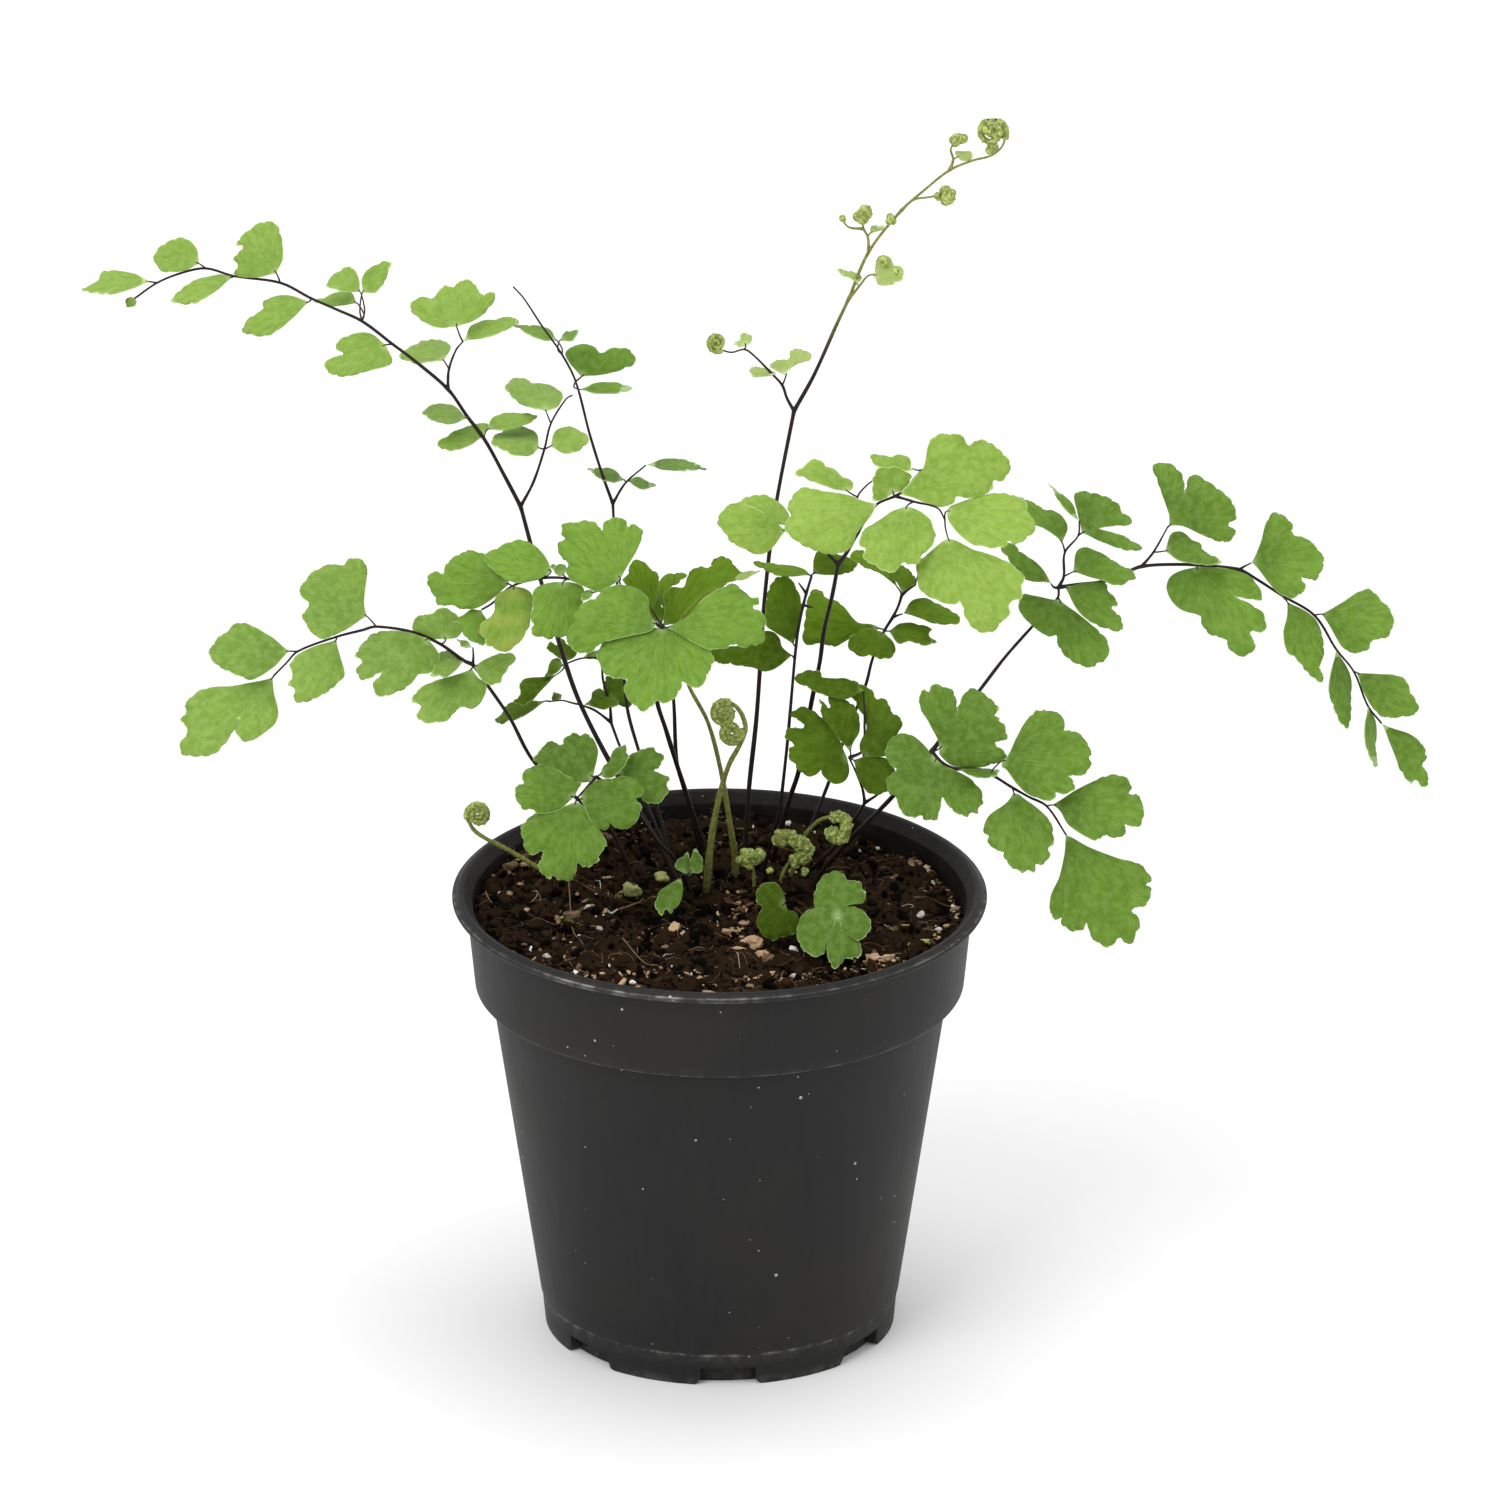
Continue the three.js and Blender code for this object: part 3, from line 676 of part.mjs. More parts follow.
function place([across, up, depth]) {
  return lift(across, up, depth).add(new THREE.Vector3(0, 0, SIGHT_HEIGHT));
}

function soilLevel(x) {
  return POT_HEIGHT - SOIL_DROP - SOIL_TILT * x;
}

// Manifold solid of a closed geometry; triangles that shrink to a line at an axis are dropped.
function toSolid(geometry) {
  geometry.deleteAttribute('normal');
  geometry.deleteAttribute('uv');
  const merged = mergeVertices(geometry, MERGE_DISTANCE);
  const corners = merged.index.array;
  const triangles = [];
  for (let first = 0; first < corners.length; first += 3) {
    const [a, b, c] = corners.subarray(first, first + 3);
    if (a !== b && b !== c && c !== a) {
      triangles.push(a, b, c);
    }
  }
  const mesh = new wasm.Mesh({
    numProp: 3,
    vertProperties: new Float32Array(merged.attributes.position.array),
    triVerts: new Uint32Array(triangles),
  });
  return new wasm.Manifold(mesh);
}

function toMesh(name, colour, roughness, solid) {
  const { vertProperties, triVerts } = solid.getMesh();
  const geometry = new THREE.BufferGeometry();
  geometry.setAttribute('position', new THREE.BufferAttribute(vertProperties, 3));
  geometry.setIndex(new THREE.BufferAttribute(triVerts, 1));
  const mesh = new THREE.Mesh(geometry, new THREE.MeshStandardMaterial({ color: colour, roughness }));
  mesh.name = name;
  return mesh;
}

function fuse(solids) {
  return solids.reduce((whole, solid) => whole.add(solid));
}

function drum(radius, bottom, top, sides, x, y) {
  const geometry = new THREE.CylinderGeometry(radius, radius, top - bottom, sides);
  geometry.rotateX(Math.PI / 2);
  geometry.translate(x, y, (bottom + top) / 2);
  return toSolid(geometry);
}

// Wire of one radius through points in space.
function wire(radius, points, cutsPerSpan = STEM_CUTS) {
  const section = [];
  for (let side = 0; side < STEM_SIDES; side += 1) {
    const turn = (side * 2 * Math.PI) / STEM_SIDES;
    section.push(new THREE.Vector2(Math.cos(turn) * radius, Math.sin(turn) * radius));
  }
  const geometry = new THREE.ExtrudeGeometry(new THREE.Shape(section), {
    steps: (points.length - 1) * cutsPerSpan,
    extrudePath: new StemCurve(points, false, 'centripetal'),
  });
  return toSolid(geometry);
}

// Side stem: it starts a little way back inside the stem that bears it.
function branch([radius, joints]) {
  const points = joints.map(place);
  const back = points[0].clone().sub(points[1]).setLength(BRANCH_SINK);
  points[0].add(back);
  return wire(radius, points);
}

function coil([centre, radius, startAngle, direction, tubeRadius]) {
  const points = [];
  for (let cut = 0; cut <= COIL_CUTS; cut += 1) {
    const part = cut / COIL_CUTS;
    const turn = THREE.MathUtils.degToRad(startAngle + direction * COIL_TURN * part);
    const reach = radius * (1 - COIL_SHRINK * part);
    points.push(place([
      centre[0] + reach * Math.cos(turn),
      centre[1] + reach * Math.sin(turn),
      centre[2],
    ]));
  }
  return wire(tubeRadius, points, 1);
}

function bud([centre, radius]) {
  const geometry = new THREE.SphereGeometry(radius, ...BUD_SEGMENTS);
  geometry.translate(...place(centre).toArray());
  return toSolid(geometry);
}

function nearestJoint(stems, [across, up]) {
  const joints = stems.flatMap(([, points]) => points);
  const distance = (joint) => Math.hypot(joint[0] - across, joint[1] - up);
  return joints.reduce((best, joint) => (distance(joint) < distance(best) ? joint : best));
}

// Outline without the corners that lie within MARGIN of a line between their neighbours.
function thin(outline) {
  const kept = [...outline];
  for (let index = kept.length - 2; index > 0; index -= 1) {
    const before = new THREE.Vector3(...kept[index - 1], 0);
    const after = new THREE.Vector3(...kept[index + 1], 0);
    const corner = new THREE.Vector3(...kept[index], 0);
    const nearest = new THREE.Line3(before, after).closestPointToPoint(corner, true, new THREE.Vector3());
    if (nearest.distanceTo(corner) < MARGIN) {
      kept.splice(index, 1);
    }
  }
  return kept;
}

// Leaflet: a flat outline that runs on to the stem point it springs from, by a narrow stalk if that
// is further than STALK_MIN. It is tilted by its slopes and arched back away from its root, and its
// plane lies a little in front of that stem point.
function leaflet(stems, [root, slopes, outline], order) {
  const joint = nearestJoint(stems, root);
  const corners = thin(outline).map(([across, up]) => new THREE.Vector2(across - root[0], up - root[1]));
  const start = new THREE.Vector2(joint[0] - root[0], joint[1] - root[1]);
  const rise = Math.min(ROOT_LIFTS[order % ROOT_LIFTS.length], start.length() / 2);
  const origin = place([...root, joint[2] - slopes[0] * start.x - slopes[1] * start.y - rise]);
  if (start.length() < STALK_WIDTH) {
    corners.forEach((corner) => start.sub(corner));
    start.setLength(STALK_WIDTH);
  }
  const edge = [start, ...corners];
  if (start.length() > STALK_MIN) {
    const half = THREE.ShapeUtils.isClockWise(edge) ? -STALK_WIDTH / 2 : STALK_WIDTH / 2;
    const side = new THREE.Vector2(start.y, -start.x).setLength(half);
    edge.splice(0, 1, side, start.clone().add(side), start.clone().sub(side), side.clone().negate());
  }
  const options = { depth: BLADE_THICKNESS, bevelEnabled: false };
  const geometry = new THREE.ExtrudeGeometry(new THREE.Shape(edge), options);
  const position = geometry.attributes.position;
  const sideways = lift(1, 0, slopes[0]);
  const upward = lift(0, 1, slopes[1]);
  const outward = new THREE.Vector3().crossVectors(sideways, upward).normalize();
  const point = new THREE.Vector3();
  for (let index = 0; index < position.count; index += 1) {
    point.fromBufferAttribute(position, index);
    const { x, y, z } = point;
    const atStem = Math.hypot(x - start.x, y - start.y) < STALK_WIDTH;
    point.copy(origin).addScaledVector(sideways, x).addScaledVector(upward, y);
    point.addScaledVector(outward, z - BLADE_THICKNESS / 2 - BLADE_ARCH * (x * x + y * y));
    point.add(lift(0, 0, atStem ? rise : 0));
    position.setXYZ(index, point.x, point.y, point.z);
  }
  return toSolid(geometry);
}

function plant({ name, colour, base: [x, y], stems, coils = [], buds = [], leaflets }) {
  const [[firstRadius, firstPoints], ...branches] = stems;
  const level = soilLevel(x);
  const foot = new THREE.Vector3(x, y, level + STEM_RISE / 2);
  const solid = fuse([
    drum(firstRadius, level - HOLE_DEPTH, level + STEM_RISE, STEM_SIDES, x, y),
    wire(firstRadius, [foot, ...firstPoints.map(place)]),
    ...branches.map(branch),
    ...coils.map(coil),
    ...buds.map(bud),
    ...leaflets.map((item, order) => leaflet(stems, item, order)),
  ]);
  return toMesh(name, colour, 0.6, solid);
}

function rootHole({ base: [x, y], stems }) {
  const radius = (stems[0][0] + GAP) / Math.cos(Math.PI / HOLE_SIDES);
  const level = soilLevel(x);
  return drum(radius, level - HOLE_DEPTH - GAP, level + STEM_RISE, HOLE_SIDES, x, y);
}

function lathe(profile, segments) {
  const geometry = new THREE.LatheGeometry(profile.map(([radius, z]) => new THREE.Vector2(radius, z)), segments);
  geometry.rotateX(Math.PI / 2);
  return toSolid(geometry);
}

// Pot. The inner wall follows the outer wall at WALL.
const shoulderZ = POT_HEIGHT - COLLAR_HEIGHT;
const floorTop = FLOOR_UNDERSIDE + FLOOR_THICKNESS;
const innerFoot = FOOT_RADIUS + FOOT_FLARE - WALL;
const innerShoulder = SHOULDER_RADIUS - WALL;
const innerCollar = COLLAR_FOOT_RADIUS - WALL;
const innerTop = COLLAR_RADIUS - WALL;
const lipZ = POT_HEIGHT - LIP_HEIGHT;
const ringInside = FOOT_RADIUS - FOOT_RING_WIDTH;

function potSolid() {
  let solid = lathe([
    [0, 0],
    [FOOT_DISC_RADIUS, 0],
    [FOOT_DISC_RADIUS, FLOOR_UNDERSIDE],
    [ringInside, FLOOR_UNDERSIDE],
    [ringInside, 0],
    [FOOT_RADIUS, 0],
    [FOOT_RADIUS + FOOT_FLARE - FOOT_STEP, FOOT_HEIGHT],
    [FOOT_RADIUS + FOOT_FLARE, FOOT_HEIGHT],
    [SHOULDER_RADIUS, shoulderZ],
    [COLLAR_FOOT_RADIUS, shoulderZ],
    [COLLAR_RADIUS, lipZ],
    [RIM_RADIUS, lipZ],
    [RIM_RADIUS, POT_HEIGHT - LIP_SLOPE],
    [CROWN_RADIUS, POT_HEIGHT],
    [MOUTH_RADIUS, POT_HEIGHT - MOUTH_DROP],
    [innerTop, lipZ],
    [innerCollar, shoulderZ + WALL],
    [innerShoulder, shoulderZ + WALL],
    [innerFoot, floorTop],
    [0, floorTop],
  ], POT_SEGMENTS);
  for (let index = 0; index < NOTCH_COUNT; index += 1) {
    const turn = THREE.MathUtils.degToRad(NOTCH_TURN + (index * 360) / NOTCH_COUNT - 90);
    const notch = new THREE.BoxGeometry(FOOT_RING_WIDTH * 2, NOTCH_WIDTH, NOTCH_HEIGHT * 2);
    notch.translate(FOOT_RADIUS - NOTCH_DEPTH + FOOT_RING_WIDTH, 0, 0);
    notch.rotateZ(turn);
    const drainTurn = turn + Math.PI / NOTCH_COUNT;
    const drainX = DRAIN_CIRCLE * Math.cos(drainTurn);
    const drainY = DRAIN_CIRCLE * Math.sin(drainTurn);
    const drain = drum(DRAIN_RADIUS, 0, floorTop + 1, DRAIN_SIDES, drainX, drainY);
    solid = solid.subtract(toSolid(notch)).subtract(drain);
  }
  return solid;
}

// Soil: a plug that fills the pot, with an uneven top.
function soilSolid() {
  const bottom = floorTop + SOIL_GAP;
  const ledge = shoulderZ + WALL + SOIL_GAP;
  const surface = POT_HEIGHT - SOIL_DROP;
  const sink = (surface - ledge) / (lipZ - ledge);
  const edge = innerCollar + (innerTop - innerCollar) * sink - SOIL_GAP;
  const profile = [
    [0, bottom],
    [innerFoot - SOIL_GAP, bottom],
    [innerShoulder - SOIL_GAP, shoulderZ],
    [innerShoulder - SOIL_GAP, ledge],
    [innerCollar - SOIL_GAP, ledge],
  ];
  for (let ring = SOIL_RINGS; ring >= 0; ring -= 1) {
    profile.push([(edge * ring) / SOIL_RINGS, surface]);
  }
  const geometry = new THREE.LatheGeometry(profile.map(([radius, z]) => new THREE.Vector2(radius, z)), SOIL_SEGMENTS);
  geometry.rotateX(Math.PI / 2);
  const position = geometry.attributes.position;
  for (let index = 0; index < position.count; index += 1) {
    if (position.getZ(index) > surface - MERGE_DISTANCE) {
      const x = position.getX(index);
      const y = position.getY(index);
      const wave = 2 + Math.sin(x * 0.31 + y * 0.11) + Math.cos(y * 0.37 - x * 0.17);
      position.setZ(index, soilLevel(x) - (SOIL_RELIEF * wave) / 4);
    }
  }
  return PLANTS.reduce((soil, item) => soil.subtract(rootHole(item)), toSolid(geometry));
}

const group = new THREE.Group();
group.name = 'potted_fern';
group.add(toMesh('pot', 0x383735, 0.75, potSolid()));
group.add(toMesh('soil', 0x2c2118, 0.95, soilSolid()));
for (const item of PLANTS) {
  group.add(plant(item));
}

export default group;
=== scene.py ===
"""Potted maidenhair fern: looks, light and camera.

The plant is laid out as it is seen from the front and a little above, in millimetres. A plant point
is (across, up, depth): across is X, depth is Y, and up is the height seen along a line of sight that
falls VIEW_ANGLE degrees below the horizontal, counted from SIGHT_HEIGHT on the pot's axis. Blender's
own lengths are metres, with the origin at the centre of the pot's foot.
"""

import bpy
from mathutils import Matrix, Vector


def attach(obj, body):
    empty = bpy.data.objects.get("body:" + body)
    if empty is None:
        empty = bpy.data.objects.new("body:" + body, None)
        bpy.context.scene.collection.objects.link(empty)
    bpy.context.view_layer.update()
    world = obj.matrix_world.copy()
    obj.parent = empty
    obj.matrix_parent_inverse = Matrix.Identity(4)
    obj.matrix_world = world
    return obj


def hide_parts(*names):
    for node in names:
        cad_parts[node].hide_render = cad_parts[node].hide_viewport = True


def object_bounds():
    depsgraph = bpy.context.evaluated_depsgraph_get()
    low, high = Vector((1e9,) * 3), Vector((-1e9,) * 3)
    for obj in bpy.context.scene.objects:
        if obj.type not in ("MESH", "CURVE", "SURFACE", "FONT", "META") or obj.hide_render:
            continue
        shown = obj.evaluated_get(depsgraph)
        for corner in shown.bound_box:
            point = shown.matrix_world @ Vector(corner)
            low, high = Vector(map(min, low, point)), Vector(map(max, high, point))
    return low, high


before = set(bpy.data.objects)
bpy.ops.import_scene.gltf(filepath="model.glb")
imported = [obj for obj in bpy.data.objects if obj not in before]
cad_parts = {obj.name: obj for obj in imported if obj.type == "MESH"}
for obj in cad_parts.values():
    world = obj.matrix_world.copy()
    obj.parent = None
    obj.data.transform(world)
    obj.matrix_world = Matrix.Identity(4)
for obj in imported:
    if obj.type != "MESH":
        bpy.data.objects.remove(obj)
CAD_BOX = [list(corner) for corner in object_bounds()]

import logging
import math
import re
from dataclasses import dataclass, field
from enum import Enum
from itertools import combinations

import bpy
import numpy as np
from mathutils import Vector
from mathutils.geometry import delaunay_2d_cdt

Triple = tuple[float, float, float]
Random = np.random.Generator
LOG = logging.getLogger("potted_fern")
BODY = "root"
MM = 0.001
SEED = 41

VIEW_ANGLE = 23.07
VIEW_SIN = math.sin(math.radians(VIEW_ANGLE))
VIEW_COS = math.cos(math.radians(VIEW_ANGLE))

SIGHT_HEIGHT = 92.1
POT_HEIGHT = 91.1
SOIL_DROP = 4.6
SOIL_TILT = 0.02
BOX_ROOM = 0.02
LATTICE = 1024
COIL_POINTS = 70
COIL_SWEEP = 690
FURLED_RADIUS = 0.8
TENTHS = 10


class Growth(Enum):
    """Kinds of foliage: the material slot of the leaflets and the name of their finish."""

    YELLOW = "leaf_yellow_green"
    LIME = "leaf_lime_green"
    MID = "leaf_mid_green"
    # Darker green for leaflets at the back and low in the plant: partly their own colour, partly painted shade.
    DARK = "leaf_dark_green"
    YOUNG = "young_growth"


# Points, noise and meshes


def place(points: np.ndarray) -> np.ndarray:
    """Moves plant points into the part's frame.

    Args:
        points: N rows of across, up and depth, in millimetres.

    Returns:
        N rows of X, Y and Z in millimetres. Z is SIGHT_HEIGHT plus what remains of up once the
        drop of the line of sight over the depth is taken off, divided by the cosine of the view.
    """
    points = np.atleast_2d(np.asarray(points, float))
    across, up, depth = points.T
    height = SIGHT_HEIGHT + (up - depth * VIEW_SIN) / VIEW_COS
    return np.column_stack([across, depth, height])


def lift(across: float, up: float, depth: float) -> np.ndarray:
    """Turns a step in plant directions into a step in the part's frame, in millimetres."""
    return np.array([across, depth, (up - depth * VIEW_SIN) / VIEW_COS])


def soil_level(x: np.ndarray | float) -> np.ndarray | float:
    """Height of the soil's mean surface in millimetres: it falls slightly to the right."""
    return POT_HEIGHT - SOIL_DROP - SOIL_TILT * x


def unit(vectors: np.ndarray) -> np.ndarray:
    """Scales each row to length one; rows of no length stay as they are."""
    length = np.linalg.norm(vectors, axis=-1, keepdims=True)
    return vectors / np.where(length > 0, length, 1.0)


def smoothstep(low: float, high: float, value: np.ndarray) -> np.ndarray:
    """Smooth ramp from 0 at low to 1 at high, by the cubic 3 t squared less 2 t cubed."""
    part = np.clip((value - low) / (high - low), 0.0, 1.0)
    return part * part * (3 - 2 * part)


def bell(gap: np.ndarray, width: float) -> np.ndarray:
    """Bell curve of a distance: 1 at none, and e to the power of less one at the width."""
    return np.exp(-((gap / width) ** 2))


class Noise:
    """Smooth lattice noise in three dimensions, the same on every run."""

    def __init__(self, seed: int) -> None:
        """Draws the lattice's values and the order in which cells take them."""
        rng = np.random.default_rng(seed)
        self.values = rng.uniform(-1, 1, LATTICE)
        self.order = rng.permutation(LATTICE)

    def _corner(self, cell: np.ndarray) -> np.ndarray:
        """Value at each lattice point, found by stepping through the order once for each axis."""
        x, y, z = cell.T % LATTICE
        return self.values[(self.order[(self.order[x] + y) % LATTICE] + z) % LATTICE]

    def __call__(self, points: np.ndarray, scale: float, octaves: int = 1) -> np.ndarray:
        """Noise at points.

        Args:
            points: N rows of coordinates.
            scale: size of the largest features, in the unit of the points.
            octaves: number of layers; each one is half the size and half the strength of the last.

        Returns:
            N values, the first layer of which lies between -1 and 1. Each layer mixes the eight
            lattice values round a point by the smoothed fractions along the three axes.
        """
        total = np.zeros(len(points))
        for octave in range(octaves):
            grid = points / scale * 2.0**octave + 17.3 * octave
            cell = np.floor(grid).astype(int)
            part = grid - cell
            part = smoothstep(0, 1, part)
            layer = np.zeros(len(points))
            for corner in np.ndindex(2, 2, 2):
                weight = np.prod(np.where(corner, part, 1 - part), axis=1)
                layer += weight * self._corner(cell + np.array(corner))
            total += layer * 0.5**octave
        return total


def spline(points: np.ndarray, spacing: float) -> np.ndarray:
    """Smooth curve through points, cut into even steps.

    Args:
        points: N rows of coordinates, of any dimension.
        spacing: length of a step along the curve.

    Returns:
        M rows. Each span is the Catmull-Rom cubic of its two ends and their neighbours; the curve is
        then measured and cut again at equal lengths.
    """
    points = np.asarray(points, float)
    ends = np.vstack([2 * points[0] - points[1], points, 2 * points[-1] - points[-2]])
    t = np.linspace(0, 1, 12, endpoint=False)[:, None]
    spans = []
    for a, b, c, d in zip(ends, ends[1:], ends[2:], ends[3:]):
        reach = np.linalg.norm(c - b)
        before = (c - a) * reach / max(reach + np.linalg.norm(b - a), 1e-9)
        after = (d - b) * reach / max(np.linalg.norm(d - c) + reach, 1e-9)
        spans.append(
            (2 * t**3 - 3 * t**2 + 1) * b + (t**3 - 2 * t**2 + t) * before
            + (3 * t**2 - 2 * t**3) * c + (t**3 - t**2) * after
        )
    return resample(np.vstack([*spans, points[-1:]]), spacing)


def resample(points: np.ndarray, spacing: float) -> np.ndarray:
    """Cuts a line of points into even steps of about the given length."""
    step = np.linalg.norm(np.diff(points, axis=0), axis=1)
    length = np.concatenate([[0.0], np.cumsum(step)])
    count = max(2, int(round(length[-1] / spacing)) + 1)
    wanted = np.linspace(0, length[-1], count)
    return np.column_stack([np.interp(wanted, length, column) for column in points.T])


@dataclass
class Shell:
    """Triangles and quads with named values at their corners, in millimetres."""

    points: list[np.ndarray] = field(default_factory=list)
    triangles: list[np.ndarray] = field(default_factory=list)
    quads: list[np.ndarray] = field(default_factory=list)
    values: dict[str, list[np.ndarray]] = field(default_factory=dict)
    count: int = 0

    def add(
        self,
        points: np.ndarray,
        triangles: np.ndarray | None = None,
        quads: np.ndarray | None = None,
        **values: np.ndarray | float,
    ) -> None:
        """Adds one body.

        Args:
            points: N rows of X, Y and Z.
            triangles: rows of three point numbers, counted within this body.
            quads: rows of four point numbers, counted within this body.
            values: a number or N numbers for each named value.
        """
        for faces, kept in ((triangles, self.triangles), (quads, self.quads)):
            if faces is not None and len(faces):
                kept.append(np.asarray(faces, int) + self.count)
        self.points.append(points)
        for name, value in values.items():
            self.values.setdefault(name, []).append(np.broadcast_to(value, len(points)))
        self.count += len(points)

    def keep_inside(self) -> None:
        """Moves points that stray past the part's box by a hair back onto it."""
        low, high = (np.array(corner) / MM for corner in CAD_BOX)
        self.points = [np.clip(points, low + BOX_ROOM, high - BOX_ROOM) for points in self.points]

    def build(self, name: str, smooth: bool = True) -> bpy.types.Object:
        """Makes the mesh object, in metres, with one float attribute for each named value."""
        mesh = bpy.data.meshes.new(name)
        points = np.vstack(self.points) * MM
        corners, starts = [], []
        first = 0
        for faces, size in ((self.triangles, 3), (self.quads, 4)):
            if faces:
                rows = np.vstack(faces)
                corners.append(rows.ravel())
                starts.append(first + size * np.arange(len(rows)))
                first += rows.size
        corners, starts = np.concatenate(corners), np.concatenate(starts)
        mesh.vertices.add(len(points))
        mesh.vertices.foreach_set("co", points.ravel())
        mesh.loops.add(len(corners))
        mesh.loops.foreach_set("vertex_index", corners)
        mesh.polygons.add(len(starts))
        mesh.polygons.foreach_set("loop_start", starts)
        mesh.polygons.foreach_set("use_smooth", np.full(len(starts), smooth))
        for title, pieces in self.values.items():
            layer = mesh.attributes.new(title, "FLOAT", "POINT")
            layer.data.foreach_set("value", np.concatenate(pieces).astype(np.float32))
        mesh.update(calc_edges=True)
        mesh.validate()
        made = bpy.data.objects.new(name, mesh)
        bpy.context.scene.collection.objects.link(made)
        LOG.info("%s: %d faces", name, len(starts))
        return made


def sweep_grid(rows: int, columns: int, closed: bool = True) -> np.ndarray:
    """Quads of a grid of rows times columns; the last column joins the first if it is closed."""
    index = np.arange(rows * columns).reshape(rows, columns)
    here, ahead = index[:-1], index[1:]
    quads = np.stack([here, ahead, np.roll(ahead, -1, 1), np.roll(here, -1, 1)], axis=-1)
    return (quads if closed else quads[:, :-1]).reshape(-1, 4)


def tube(
    shell: Shell,
    path: np.ndarray,
    radii: np.ndarray,
    sides: int = 8,
    **values: np.ndarray | float,
) -> None:
    """Adds a round rod with domed ends along a path.

    Args:
        shell: body list that takes the rod.
        path: N rows of X, Y and Z.
        radii: N radii.
        sides: number of sides.
        values: a number for the whole rod, or N numbers along it, for each named value.

    Each ring lies square to the path: its first arm is the last ring's first arm with its part along
    the new direction taken off, so that the rod doesn't twist.
    """
    path = np.vstack([path[:1], path, path[-1:]])
    direction = unit(np.gradient(path[1:-1], axis=0))
    path[0] -= direction[0] * radii[0] * 0.6
    path[-1] += direction[-1] * radii[-1] * 0.6
    direction = np.vstack([direction[:1], direction, direction[-1:]])
    radii = np.concatenate([[radii[0] * 0.3], radii, [radii[-1] * 0.3]])
    arm = unit(np.cross(direction[0], [0.31, 0.17, 0.93]))
    arms = []
    for ahead in direction:
        arm = unit(arm - ahead * np.dot(arm, ahead))
        arms.append(arm)
    arms = np.array(arms)
    other = np.cross(direction, arms)
    turn = np.linspace(0, 2 * np.pi, sides, endpoint=False)[None, :, None]
    spread = arms[:, None] * np.cos(turn) + other[:, None] * np.sin(turn)
    points = (path[:, None] + spread * radii[:, None, None]).reshape(-1, 3)
    fan = np.arange(1, sides - 1)
    start = np.column_stack([np.zeros_like(fan), fan + 1, fan])
    end = (len(path) - 1) * sides + start[:, [0, 2, 1]]
    wide = {name: np.broadcast_to(value, len(path) - 2) for name, value in values.items()}
    wide = {name: np.repeat(np.concatenate([v[:1], v, v[-1:]]), sides) for name, v in wide.items()}
    shell.add(points, np.vstack([start, end]), sweep_grid(len(path), sides)[:, ::-1], **wide)


def fill(points: np.ndarray, edges: list[tuple], kind: int, gap: float) -> tuple[np.ndarray, np.ndarray]:
    """Joins flat points by Delaunay triangles that keep the given edges.

    Args:
        points: N rows of two coordinates.
        edges: pairs of point numbers.
        kind: 1 to keep only what lies inside the edges, 0 to keep all.
        gap: distance below which two points count as one.

    Returns:
        The points and the triangles.
    """
    found, _, faces, *_ = delaunay_2d_cdt([Vector(p) for p in points], edges, [], kind, gap)
    return np.array([tuple(p) for p in found]), np.array([tuple(f) for f in faces])


def loop(count: int, first: int = 0) -> list[tuple[int, int]]:
    """Edges that join points one after another, and the last to the first."""
    return [(first + i, first + (i + 1) % count) for i in range(count)]


def ball(detail: int) -> tuple[np.ndarray, np.ndarray]:
    """Points and triangles of a ball of radius one: an icosahedron whose sides are halved detail times."""
    corners = [(0, s, t * (1 + math.sqrt(5)) / 2) for s in (-1, 1) for t in (-1, 1)]
    points = np.array([np.roll(corner, turn) for turn in range(3) for corner in corners])
    near = np.linalg.norm(points[:, None] - points, axis=2) < 2.1
    triangles = np.array([t for t in combinations(range(12), 3) if near[np.ix_(t, t)].all()])
    a, b, c = points[triangles].transpose(1, 0, 2)
    inward = np.einsum("ij,ij->i", np.cross(b - a, c - a), a) < 0
    triangles[inward] = triangles[inward][:, ::-1]
    points = unit(points)
    for _ in range(detail):
        edges = np.sort(triangles[:, [0, 1, 1, 2, 2, 0]].reshape(-1, 2), axis=1)
        kept, back = np.unique(edges, axis=0, return_inverse=True)
        middle = back.reshape(-1, 3) + len(points)
        points = unit(np.vstack([points, points[kept].mean(axis=1)]))
        a, b, c = triangles.T
        ab, bc, ca = middle.T
        triangles = np.vstack(
            [np.column_stack(f) for f in ((a, ab, ca), (ab, b, bc), (ca, bc, c), (ab, bc, ca))]
        )
    return points, triangles


# Shader building


